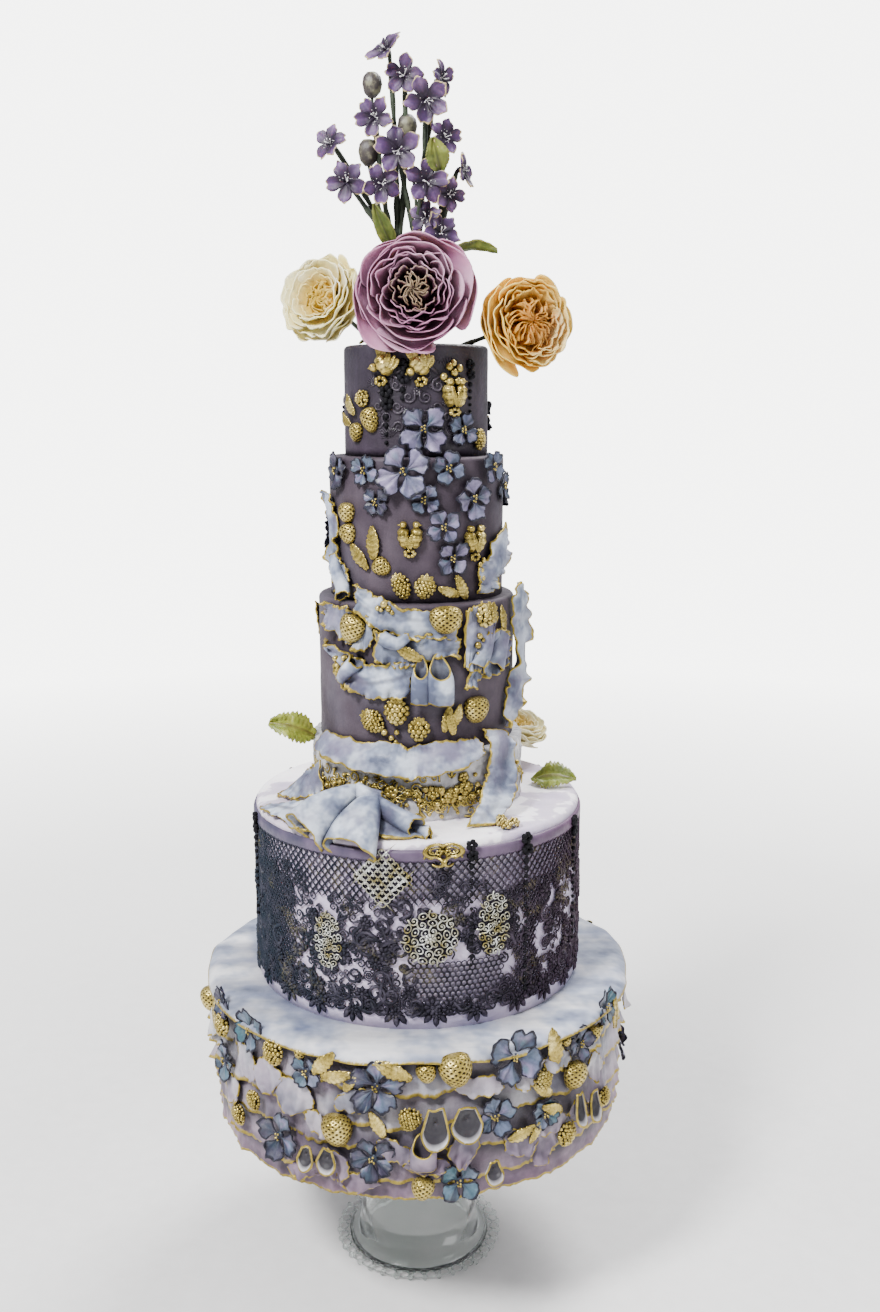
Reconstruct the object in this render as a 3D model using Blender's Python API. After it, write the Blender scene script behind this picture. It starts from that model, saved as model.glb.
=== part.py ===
# A six-tier wedding cake on a pressed glass stand, with sugar flowers, gold moulded fruit and fondant drapes.
# Metres, +Z up, origin at the centre of the stand's foot. Azimuth 0 is the front (-Y) and grows towards +X.
import math
import random

import bmesh
import bpy
from mathutils import Matrix, Vector

MM = 0.001
GAP = 0.3
TAU = 2 * math.pi

# Driving dimensions, in millimetres: each tier's radius, base height and top height.
STAND_TOP = 130.0
TIERS = {
    "tier_1_ruffled": (161.0, 130.0, 246.5),
    "tier_2_lace": (126.0, 246.5, 387.0),
    "tier_3_filigree": (82.0, 387.0, 437.0),
    "tier_4_swagged": (74.3, 437.0, 545.0),
    "tier_5_blossom": (65.3, 545.0, 648.0),
    "tier_6_damask": (53.3, 648.0, 727.0),
}
SHEET = 1.6

# Materials: base colour, roughness, metallic.
FINISHES = {
    "glass": ((0.85, 0.9, 0.88), 0.08, 0.0),
    "ivory_fondant": ((0.66, 0.64, 0.72), 0.55, 0.0),
    "lilac_fondant": ((0.72, 0.68, 0.76), 0.55, 0.0),
    "lace": ((0.09, 0.07, 0.12), 0.5, 0.0),
    "plum_fondant": ((0.17, 0.13, 0.19), 0.6, 0.0),
    "drape": ((0.42, 0.44, 0.56), 0.5, 0.0),
    "gold": ((0.48, 0.39, 0.16), 0.35, 0.8),
    "blossom": ((0.3, 0.34, 0.52), 0.5, 0.0),
    "mauve_petal": ((0.5, 0.25, 0.42), 0.5, 0.0),
    "cream_petal": ((0.85, 0.78, 0.55), 0.5, 0.0),
    "peach_petal": ((0.85, 0.55, 0.25), 0.5, 0.0),
    "violet_petal": ((0.24, 0.15, 0.36), 0.5, 0.0),
    "leaf": ((0.25, 0.33, 0.08), 0.5, 0.0),
}


def finish(name):
    """One Principled material for each finish."""
    made = bpy.data.materials.get(name)
    if made:
        return made
    color, roughness, metallic = FINISHES[name]
    made = bpy.data.materials.new(name)
    made.use_nodes = True
    shader = made.node_tree.nodes["Principled BSDF"]
    shader.inputs["Base Color"].default_value = (*color, 1.0)
    shader.inputs["Roughness"].default_value = roughness
    shader.inputs["Metallic"].default_value = metallic
    return made


def solid(name, vertices, faces, material):
    """A triangulated closed mesh object from vertices in millimetres, its faces pointing out."""
    bm = bmesh.new()
    made = [bm.verts.new(Vector(v) * MM) for v in vertices]
    for face in faces:
        bm.faces.new([made[i] for i in face])
    bmesh.ops.triangulate(bm, faces=bm.faces)
    bmesh.ops.recalc_face_normals(bm, faces=bm.faces)
    mesh = bpy.data.meshes.new(name)
    bm.to_mesh(mesh)
    bm.free()
    mesh.materials.append(finish(material))
    piece = bpy.data.objects.new(name, mesh)
    bpy.context.scene.collection.objects.link(piece)
    return piece


def fuse(base, extras):
    """Joins the extras to the base with one Boolean union, and removes them."""
    group = bpy.data.collections.new(base.name + "_extras")
    bpy.context.scene.collection.children.link(group)
    for extra in extras:
        bpy.context.scene.collection.objects.unlink(extra)
        group.objects.link(extra)
    union = base.modifiers.new("union", "BOOLEAN")
    union.operation = "UNION"
    union.operand_type = "COLLECTION"
    union.collection = group
    union.solver = "MANIFOLD"
    bpy.context.view_layer.update()
    evaluated = base.evaluated_get(bpy.context.evaluated_depsgraph_get())
    joined = bpy.data.meshes.new_from_object(evaluated)
    base.modifiers.clear()
    base.data = joined
    bm = bmesh.new()
    bm.from_mesh(joined)
    bmesh.ops.dissolve_limit(bm, angle_limit=0.002, verts=bm.verts, edges=bm.edges)
    bmesh.ops.triangulate(bm, faces=bm.faces)
    bm.to_mesh(joined)
    bm.free()
    for extra in list(group.objects):
        bpy.data.objects.remove(extra)
    bpy.data.collections.remove(group)
    return base


def around(azimuth, height, radius):
    """The point at an azimuth in degrees, a height and a distance from the cake's axis."""
    a = math.radians(azimuth)
    return Vector((radius * math.sin(a), -radius * math.cos(a), height))


def facing(azimuth, height, radius, spin=0.0, lean=0.0):
    """A frame on the cake's side: local X runs right, Y up and Z out; lean tips Z upwards."""
    a = math.radians(azimuth)
    out = Vector((math.sin(a), -math.cos(a), 0))
    up = Vector((0, 0, 1))
    right = up.cross(out)
    turn = Matrix((right, up, out)).transposed().to_4x4()
    tip = Matrix.Rotation(math.radians(-lean), 4, "X")
    roll = Matrix.Rotation(math.radians(spin), 4, "Z")
    return Matrix.Translation(around(azimuth, height, radius)) @ turn @ tip @ roll


def aimed(place, direction, spin=0.0):
    """A frame at a point whose local Z runs along a direction."""
    turn = Vector(direction).to_track_quat("Z", "Y").to_matrix().to_4x4()
    return Matrix.Translation(Vector(place)) @ turn @ Matrix.Rotation(math.radians(spin), 4, "Z")


def turned(name, profile, segments, material, frame=None, wave=None):
    """A solid of revolution from (radius, height) points, first and last on the axis."""
    frame = frame or Matrix.Identity(4)
    vertices, faces = [frame @ Vector((0, 0, profile[0][1]))], []
    rings = profile[1:-1]
    for number, (radius, height) in enumerate(rings):
        for step in range(segments):
            angle = TAU * step / segments
            r, h = wave(number, angle, radius, height) if wave else (radius, height)
            vertices.append(frame @ Vector((r * math.cos(angle), r * math.sin(angle), h)))
    vertices.append(frame @ Vector((0, 0, profile[-1][1])))
    last = len(vertices) - 1
    for step in range(segments):
        after = (step + 1) % segments
        faces.append((0, 1 + after, 1 + step))
        for ring in range(len(rings) - 1):
            low, high = 1 + ring * segments, 1 + (ring + 1) * segments
            faces.append((low + step, low + after, high + after, high + step))
        top = 1 + (len(rings) - 1) * segments
        faces.append((top + step, top + after, last))
    return solid(name, vertices, faces, material)


def petal_outline(petals, corners):
    """The (angle, reach) points round a blossom, a few corners for each petal."""
    outline = []
    for petal in range(petals):
        middle = TAU * petal / petals
        for share, reach in corners:
            outline.append((middle + share * TAU / petals, reach))
    return outline


def trumpet(name, frame, radius, petals, material, rise, depth):
    """A blossom that tapers behind its rim to a point, to be sunk in a tier or held on a stem."""
    corners = ((-0.5, 0.55), (0.0, 1.0)) if petals > 4 else ((-0.5, 0.42), (-0.2, 1.0), (0.2, 1.0))
    outline = petal_outline(petals, corners)
    vertices = [Vector((0, 0, rise)), Vector((0, 0, -depth))]
    for angle, reach in outline:
        r = radius * reach
        high = rise + radius * 0.2 * (reach - 0.4)
        vertices.append(Vector((r * math.cos(angle), r * math.sin(angle), high)))
    faces = []
    for step in range(len(outline)):
        after = (step + 1) % len(outline)
        faces.append((0, 2 + step, 2 + after))
        faces.append((1, 2 + after, 2 + step))
    return solid(name, [frame @ v for v in vertices], faces, material)


def blossom(name, frame, radius, petals=4, material="blossom", thick=1.5, cup=0.2):
    """A flat sugar blossom: four rounded petals round a low centre."""
    outline = petal_outline(petals, ((-0.5, 0.38), (-0.2, 1.0), (0.2, 1.0)))
    vertices, faces = [], []
    count = len(outline)
    for angle, reach in outline:
        r = radius * reach
        vertices.append(Vector((r * math.cos(angle), r * math.sin(angle), 0)))
    for angle, reach in outline:
        r = radius * reach
        high = thick + radius * cup * (reach - 0.38)
        vertices.append(Vector((r * math.cos(angle), r * math.sin(angle), high)))
    vertices.append(Vector((0, 0, thick + 1.0)))
    faces.append(tuple(range(count - 1, -1, -1)))
    for step in range(count):
        after = (step + 1) % count
        faces.append((step, after, count + after, count + step))
    inner = len(vertices)
    for angle, reach in outline:
        r = radius * (0.18 if reach < 0.5 else 0.5)
        vertices.append(Vector((r * math.cos(angle), r * math.sin(angle), thick * 0.9)))
    for step in range(count):
        after = (step + 1) % count
        faces.append((count + step, count + after, inner + after, inner + step))
        faces.append((inner + step, inner + after, 2 * count))
    return solid(name, [frame @ v for v in vertices], faces, material)


def berry(name, frame, width, height, depth, sides=8, rings=3, pointed=0.25, sink=0.0):
    """A moulded berry, flat behind, broad above and narrower at its lower tip."""
    vertices, faces = [], []
    for ring in range(rings):
        share = math.cos(0.5 * math.pi * ring / rings)
        rise = depth * math.sin(0.5 * math.pi * ring / rings)
        for step in range(sides):
            angle = TAU * step / sides
            taper = 1 + pointed * math.sin(angle)
            x = 0.5 * width * share * math.cos(angle) * taper
            y = 0.5 * height * share * math.sin(angle)
            vertices.append(frame @ Vector((x, y, rise)))
    vertices.append(frame @ Vector((0, 0, depth)))
    last = len(vertices) - 1
    if sink:
        vertices.append(frame @ Vector((0, 0, -sink)))
        faces += [(last + 1, (step + 1) % sides, step) for step in range(sides)]
    else:
        faces.append(tuple(range(sides - 1, -1, -1)))
    for step in range(sides):
        after = (step + 1) % sides
        for ring in range(rings - 1):
            low, high = ring * sides, (ring + 1) * sides
            faces.append((low + step, low + after, high + after, high + step))
        top = (rings - 1) * sides
        faces.append((top + step, top + after, last))
    return solid(name, vertices, faces, "gold")


def along(points, share):
    """A point on the smooth curve through control points, at a share of its span."""
    spans = len(points) - 1
    place = min(share * spans, spans - 1e-6)
    k = int(place)
    t = place - k
    p1, p2 = Vector(points[k]), Vector(points[k + 1])
    p0 = Vector(points[k - 1]) if k else 2 * p1 - p2
    p3 = Vector(points[k + 2]) if k + 2 <= spans else 2 * p2 - p1
    linear = 0.5 * (p2 - p0)
    square = 0.5 * (2 * p0 - 5 * p1 + 4 * p2 - p3)
    cube = 0.5 * (3 * p1 - p0 - 3 * p2 + p3)
    return p1 + linear * t + square * t * t + cube * t ** 3


def drape(name, upper, lower, columns, rows=3, bulge=2.0, ripple=0.7, closed=False, material="drape"):
    """A rolled fondant sheet between two edges, each a list of (azimuth, height, radius)."""
    vertices, faces = [], []
    stride = rows + 1
    steps = columns if closed else columns + 1
    for side in (0.0, SHEET):
        for column in range(steps):
            share = column / columns
            high, low = along(upper, share), along(lower, share)
            for row in range(stride):
                t = row / rows
                p = high.lerp(low, t)
                wave = ripple * (1 + math.sin(9.0 * share * TAU * 0.5 + 2.0 * t)) * abs(2 * t - 1)
                p.z += bulge * math.sin(math.pi * t) + wave
                vertices.append(around(p.x, p.y, p.z + side))
    shell = steps * stride
    for column in range(columns):
        a, b = column * stride, ((column + 1) % steps) * stride
        for row in range(rows):
            outer = (shell + a + row, shell + b + row, shell + b + row + 1, shell + a + row + 1)
            faces.append(outer[:3])
            faces.append((outer[0], outer[2], outer[3]))
            inner = [i - shell for i in outer]
            faces.append((inner[2], inner[1], inner[0]))
            faces.append((inner[3], inner[2], inner[0]))
        faces.append((a, b, shell + b, shell + a))
        faces.append((b + rows, a + rows, shell + a + rows, shell + b + rows))
    if not closed:
        for row in range(rows):
            faces.append((row + 1, row, shell + row, shell + row + 1))
            end = columns * stride + row
            faces.append((end, end + 1, shell + end + 1, shell + end))
    return solid(name, vertices, faces, material)


def pocket_loop(name, azimuth, height, radius, width, drop, depth, sink=0.0):
    """A hanging ribbon loop as a rounded pad, gathered at its top."""
    frame = facing(azimuth, height, radius)
    levels = [(0.0, 0.3, 0.4), (0.45, 0.9, 1.0), (1.0, 0.96, 0.75)]
    ring = [(-0.5, 0.0), (-0.3, 0.95), (0.3, 0.95), (0.5, 0.0)]
    vertices, faces = [], []
    for fall, wide, deep in levels:
        for x, z in ring:
            back = -sink if z == 0 else z * depth * deep
            vertices.append(frame @ Vector((x * width * wide, -drop * fall, back)))
    n = len(ring)
    for level in range(len(levels) - 1):
        a, b = level * n, (level + 1) * n
        for k in range(n):
            after = (k + 1) % n
            faces.append((a + k, a + after, b + after, b + k))
    faces.append(tuple(range(n)))
    faces.append(tuple(range(len(vertices) - 1, len(vertices) - n - 1, -1)))
    return solid(name, vertices, faces, "drape")


def tube(name, points, radius, material, sides=6):
    """A round wire or stem through points, thinner towards its end, with shut ends."""
    vertices, faces = [], []
    path = [Vector(p) for p in points]
    for k, p in enumerate(path):
        ahead = path[min(k + 1, len(path) - 1)] - path[max(k - 1, 0)]
        frame = aimed(p, ahead)
        r = radius * (1 - 0.35 * k / (len(path) - 1))
        for step in range(sides):
            angle = TAU * step / sides
            vertices.append(frame @ Vector((r * math.cos(angle), r * math.sin(angle), 0)))
    for k in range(len(path) - 1):
        a, b = k * sides, (k + 1) * sides
        for step in range(sides):
            after = (step + 1) % sides
            faces.append((a + step, a + after, b + after, b + step))
    faces.append(tuple(range(sides)))
    faces.append(tuple(range(len(vertices) - 1, len(vertices) - sides - 1, -1)))
    return solid(name, vertices, faces, material)


def leaf(name, base, tip, width, up, material="leaf", thick=1.2, waves=1.0):
    """A thin pointed leaf from base to tip, folded a little along its midrib, with a wavy rim."""
    base, tip = Vector(base), Vector(tip)
    length = (tip - base).length
    forward = (tip - base).normalized()
    normal = (Vector(up) - forward * forward.dot(Vector(up))).normalized()
    side = forward.cross(normal)
    spread = [0.12, 0.75, 1.0, 0.72, 0.1]
    vertices, faces = [], []
    for level in (0.0, thick):
        for k, share in enumerate(spread):
            place = base + forward * length * k / (len(spread) - 1)
            arch = normal * (length * 0.12 * math.sin(math.pi * k / (len(spread) - 1)) + level)
            for lane in (-1, 0, 1):
                lift = normal * (width * 0.16 * abs(lane) + waves * lane * (-1) ** k)
                vertices.append(place + arch + lift + side * lane * 0.5 * width * share)
    shell = 3 * len(spread)
    for k in range(len(spread) - 1):
        for lane in range(2):
            a = 3 * k + lane
            outer = [shell + a, shell + a + 1, shell + a + 4, shell + a + 3]
            faces.append((outer[0], outer[1], outer[2]))
            faces.append((outer[0], outer[2], outer[3]))
            inner = [i - shell for i in outer]
            faces.append((inner[2], inner[1], inner[0]))
            faces.append((inner[3], inner[2], inner[0]))
        for a, b in ((3 * k, 3 * k + 3), (3 * k + 5, 3 * k + 2)):
            faces.append((a, b, shell + b, shell + a))
    for lane in range(2):
        faces.append((lane + 1, lane, shell + lane, shell + lane + 1))
        end = shell - 3 + lane
        faces.append((end, end + 1, shell + end + 1, shell + end))
    return solid(name, vertices, faces, material)


def rose(name, place, direction, radius, material, stem=None, segments=15):
    """A cabbage rose: ringed petal ridges inside wide outer petals, with a wired stem behind."""
    ridges = [(0.0, -0.34), (0.16, -0.3), (0.8, 0.06), (1.0, 0.36), (0.86, 0.5), (0.74, 0.38),
              (0.58, 0.58), (0.44, 0.42), (0.26, 0.56), (0.12, 0.42), (0.0, 0.46)]
    profile = [(r * radius, h * radius) for r, h in ridges]

    def petals(number, angle, r, h):
        share = r / radius
        frill = 0.07 * math.sin(5 * angle + 1.7 * number) + 0.04 * math.sin(9 * angle + number)
        return r * (1 + frill * share), h + radius * share * 0.05 * math.sin(7 * angle + 2 * number)

    bloom = turned(name, profile, segments, material, aimed(place, direction), petals)
    if stem:
        start = Vector(place) - Vector(direction).normalized() * radius * 0.2
        bend = (start + Vector(stem)) / 2 - Vector(direction).normalized() * radius * 0.25
        foot = Vector(stem)
        wire = [start, bend, foot + Vector((0, 0, 5)), foot]
        fuse(bloom, [tube(name + "_stem", wire, 2.2, "leaf")])
    return bloom


def bird(name, frame, size):
    """A small moulded bird in low relief: a long body and a round head."""
    body = berry(name, frame, size * 0.6, size * 0.9, size * 0.25, 7, 2, 0.1, 6)
    head = berry(name + "_head", frame @ Matrix.Translation((-size * 0.14, size * 0.4, 0)),
                 size * 0.34, size * 0.32, size * 0.26, 5, 2, 0.0, 6)
    return [body, head]


# The pressed glass stand: a beaded foot, a waisted pedestal and a plain plate under the cake.
FOOT_RADIUS = 67.0
PLATE_RADIUS = 128.0
FOOT_BEADS = 24


def make_stand():
    profile = [(0, 0), (62, 0), (FOOT_RADIUS, 3.0), (62, 6.0), (51, 7.0), (45, 34), (42, 72),
               (48, 100), (72, 114), (PLATE_RADIUS, 119), (126, 130 - GAP), (0, 130 - GAP)]

    def beads(number, angle, r, h):
        swell = 2.2 * math.cos(FOOT_BEADS * angle) if number <= 2 else 0.0
        return r + swell * (1.0 if number == 1 else 0.5), h

    turned("cake_stand", profile, 2 * FOOT_BEADS, "glass", wave=beads)


# The lowest tier's frills: each lip's height, how far it stands out and its waviness.
FRILLS = ((243.0, 6.5, 1.5), (219.0, 6.0, 2.5), (196.0, 5.0, 2.5), (173.0, 4.5, 2.0), (151.0, 3.5, 1.5))
FRILL_SIDES = 36

# Blossoms pressed on the lowest tier: azimuth, height, diameter, turn.
LOW_BLOSSOMS = ((-46, 241, 33, 20), (-27, 226, 26, 50), (-9, 224, 40, 10), (25, 239, 42, 60),
                (46, 231, 28, 0), (58, 246, 30, 30), (-36, 169, 37, 75), (-10, 169, 34, 40),
                (11, 151, 30, 45), (20, 197, 28, 20), (34, 188, 26, 50), (-60, 200, 32, 15),
                (-61, 246, 28, 65))
# Gold fruit on it: azimuth, height, size.
LOW_FRUIT = ((-37, 233, 18), (3, 235, 15), (10, 236, 25), (33, 216, 16), (44, 208, 21),
             (52, 231, 13), (-60, 229, 18), (-45, 187, 14), (-52, 167, 15),
             (-19, 187, 24), (-1, 201, 16), (2, 147, 17), (41, 165, 17), (58, 173, 14))
# Hanging ribbon loops on it: azimuth, top height, width, drop.
LOW_LOOPS = ((5, 211, 14, 28), (12, 210, 15, 26), (-26, 172, 10, 16), (-21, 174, 11, 16),
             (44, 196, 9, 24), (50, 190, 10, 22), (2, 192, 12, 24), (19, 166, 11, 15))
BACK_START = 74
BACK_END = 286


def back_places(seed, count, low, high):
    """Evenly spaced azimuths over the hidden side, with seeded heights and sizes."""
    draw = random.Random(seed)
    places = []
    for k in range(count):
        azimuth = BACK_START + (BACK_END - BACK_START) * (k + 0.5) / count + draw.uniform(-3, 3)
        places.append((azimuth, draw.uniform(low, high), draw.random()))
    return places


def make_ruffled_tier():
    radius, base, top = TIERS["tier_1_ruffled"]
    profile = [(0, base), (radius - 16, base), (radius - 5, base + 5)]
    waves = {}
    for height, reach, waviness in reversed(FRILLS):
        waves[len(profile)] = waviness
        profile.append((radius + reach, height - 4))
        profile.append((radius - 1, height + 3 if height < 240 else top))
    profile[-1] = (radius + 1, top)
    profile.append((radius - 8, top))
    profile.append((0, top))

    def frills(number, angle, r, h):
        waviness = waves.get(number + 1)
        if waviness is None:
            return r, h
        phase = 1.7 * number
        lift = waviness * (math.sin(7 * angle + phase) + 0.6 * math.sin(11 * angle + 2 * phase))
        return r + 1.2 * math.sin(13 * angle + phase), h + lift

    body = turned("tier_1_ruffled", profile, FRILL_SIDES, "ivory_fondant", wave=frills)
    extras = []
    for azimuth, height, size, turn in LOW_BLOSSOMS:
        frame = facing(azimuth, height, radius + 2, turn, 6)
        extras.append(trumpet("bloom", frame, size / 2, 4, "blossom", 3.5, 10))
    for azimuth, height, size in LOW_FRUIT:
        frame = facing(azimuth, height, radius + 2)
        extras.append(berry("fruit", frame, size * 0.9, size, size * 0.5, 7, 2, 0.15, 8))
    for azimuth, height, width, drop in LOW_LOOPS:
        extras.append(pocket_loop("loop", azimuth, height, radius + 2, width, drop, 7, 5))
    for azimuth, height, share in back_places(7, 5, 158, 243):
        frame = facing(azimuth, height, radius + 2, 90 * share, 6)
        extras.append(trumpet("bloom", frame, 13 + 8 * share, 4, "blossom", 3.5, 10))
    for azimuth, height, share in back_places(11, 5, 150, 245):
        size = 11 + 13 * share
        frame = facing(azimuth + 20, height, radius + 2)
        extras.append(berry("fruit", frame, size * 0.9, size, size * 0.5, 7, 2, 0.15, 8))
    fuse(body, extras)


def tier_profile(name, soften=3.0):
    radius, base, top = TIERS[name]
    low = base + GAP
    return [(0, low), (radius, low), (radius, top - soften), (radius - soften, top), (0, top)]


# Gold medallions on the lace: azimuth, height, half width, half height, corners, turn.
MEDALLIONS = ((-10, 361, 23, 24, 4, 0), (5, 317, 20, 20, 8, 22.5), (-29, 309, 12, 22, 6, 90),
              (26, 323, 13, 25, 6, 90), (9, 373, 10, 10, 6, 0))
LACE_STEPS = 36
LACE_SCALLOPS = 18


def medallion(azimuth, height, half_width, half_height, corners, turn, radius):
    """A thin gold plaque that follows the lace tier's curve."""
    vertices, faces = [], []
    for side in (-0.5, 1.6):
        vertices.append(around(azimuth, height, radius + side))
        for step in range(corners):
            angle = TAU * step / corners + math.radians(turn)
            x, y = half_width * math.cos(angle), half_height * math.sin(angle)
            place = around(azimuth + math.degrees(x / radius), height + y, radius + side)
            vertices.append(place)
    for step in range(corners):
        after = (step + 1) % corners
        low, high = 0, corners + 1
        faces.append((low, 1 + after, 1 + step))
        faces.append((high, high + 1 + step, high + 1 + after))
        faces.append((1 + step, 1 + after, high + 1 + after, high + 1 + step))
    return solid("medallion", vertices, faces, "gold")


def make_lace_tier():
    radius, base, top = TIERS["tier_2_lace"]
    turned("tier_2_lace", tier_profile("tier_2_lace", 5.0), LACE_STEPS, "lilac_fondant")
    inner = radius + GAP
    upper, lower = [], []
    for step in range(LACE_STEPS + 1):
        azimuth = 360 * step / LACE_STEPS
        scallop = abs(math.sin(LACE_SCALLOPS * math.radians(azimuth) / 2))
        upper.append((azimuth, top - 6.0, inner))
        lower.append((azimuth, base + 7.0 - 4.0 * scallop, inner))
    jacket = drape("lace_jacket", upper, lower, LACE_STEPS, 1, 0.0, 0.0, True, "lace")
    fuse(jacket, [medallion(*row, inner + SHEET) for row in MEDALLIONS])


# Gold moulded relief fused to the plain tiers: azimuth, height, size, turn.
RELIEF = {
    "tier_6_damask": ((-23, 713, 20, 0), (3, 712, 18, 20), (31, 691, 20, 0)),
    "tier_5_blossom": ((-3, 592, 21, 0), (40, 588, 21, 0)),
    "tier_4_swagged": ((-51, 482, 17, 0), (19, 459, 19, 200)),
}
# Gold leaves lying on them: azimuth, height, length, turn.
GOLD_LEAVES = {
    "tier_5_blossom": ((-27, 588, 21, 95), (-37, 577, 20, 125), (21, 553, 15, 150), (30, 556, 17, 110)),
    "tier_4_swagged": ((57, 531, 17, 105),),
    "tier_6_damask": (),
}
# Sugar blossoms and fruit on the hidden side of each plain tier: count, lowest and highest place.
BACK_BLOOMS = {
    "tier_6_damask": (3, 662, 690),
    "tier_5_blossom": (5, 570, 634),
    "tier_4_swagged": (2, 455, 470),
}


def make_plain_tier(name):
    radius, base, top = TIERS[name]
    body = turned(name, tier_profile(name), 36, "plum_fondant")
    extras = []
    for azimuth, height, size, turn in RELIEF[name]:
        extras += bird("bird", facing(azimuth, height, radius + 0.6, turn), size)
    for azimuth, height, length, turn in GOLD_LEAVES[name]:
        frame = facing(azimuth, height, radius + 0.4, turn - 90)
        extras.append(berry("leaf", frame, length * 0.4, length, 2.6, 6, 2, 0.0, 6))
    count, low, high = BACK_BLOOMS[name]
    for azimuth, height, share in back_places(len(name) + count, count, low, high):
        frame = facing(azimuth, height, radius, 90 * share)
        extras.append(trumpet("bloom", frame, 12 + 4 * share, 4, "blossom", 2.5, 6))
    fuse(body, extras)


def make_filigree_tier():
    radius, base, top = TIERS["tier_3_filigree"]
    body = turned("tier_3_filigree", tier_profile("tier_3_filigree"), 36, "gold")
    extras = []
    for azimuth, height in ((-38, 407), (-24, 406), (-8, 404), (6, 405), (18, 404), (30, 407)):
        extras.append(berry("boss", facing(azimuth, height, radius + 0.4), 15, 13, 2.6, 6, 2, 0.0, 6))
    fuse(body, extras)


# The blossoms that spill down the two upper tiers: name, azimuth, height, radius, turn, layer, tier.
CASCADE = (
    ("blossom_01", 7, 668, 16.5, 40, 0, "tier_6_damask"),
    ("blossom_02", 39, 667, 12.5, 60, 0, "tier_6_damask"),
    ("blossom_03", -6, 639, 18.0, 30, 1, "tier_5_blossom"),
    ("blossom_04", -32, 639, 12.0, 60, 0, "tier_5_blossom"),
    ("blossom_05", -59, 638, 14.0, 20, 0, "tier_5_blossom"),
    ("blossom_06", -24, 617, 11.2, 45, 0, "tier_5_blossom"),
    ("blossom_07", 6, 619, 12.5, 50, 0, "tier_5_blossom"),
    ("blossom_08", 21, 641, 12.6, 70, 0, "tier_5_blossom"),
    ("blossom_09", 54, 641, 13.0, 55, 0.6, "tier_5_blossom"),
    ("blossom_10", 39, 619, 16.0, 10, 0, "tier_5_blossom"),
    ("blossom_11", 75, 626, 13.0, 35, 0, "tier_5_blossom"),
    ("blossom_12", 17, 600, 13.0, 30, 1, "tier_5_blossom"),
    ("blossom_13", 24, 577, 13.5, 40, 0, "tier_5_blossom"),
)
LAYER_STEP = 4.4

# Gold fruit on the upper tiers: name, azimuth, height, width, length, base radius, turn.
FRUIT = (
    ("fruit_strawberry_1", -48, 608, 11, 12, 65.6, 0),
    ("fruit_strawberry_2", -47, 594, 11, 12, 65.6, 20),
    ("fruit_strawberry_3", -21, 571, 13, 14, 65.6, 60),
    ("fruit_strawberry_4", 16, 535, 23, 20, 79.9, 0),
    ("fruit_strawberry_5", -35, 527, 20, 22, 78.2, -20),
    ("fruit_strawberry_6", 36, 466, 20, 20, 74.6, 0),
    ("fruit_strawberry_7", -45, 674, 17, 18, 53.6, 20),
    ("fruit_bramble_1", -8, 557, 12, 17, 65.6, 20),
    ("fruit_bramble_2", 6, 556, 14, 14, 65.6, -10),
    ("fruit_bramble_3", 37, 536, 16, 14, 82.6, -30),
    ("fruit_bramble_4", -23, 459, 15, 16, 74.6, 50),
    ("fruit_bramble_5", -10, 467, 16, 17, 74.6, 0),
    ("fruit_bramble_6", 2, 454, 14, 14, 74.6, 0),
)

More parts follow.
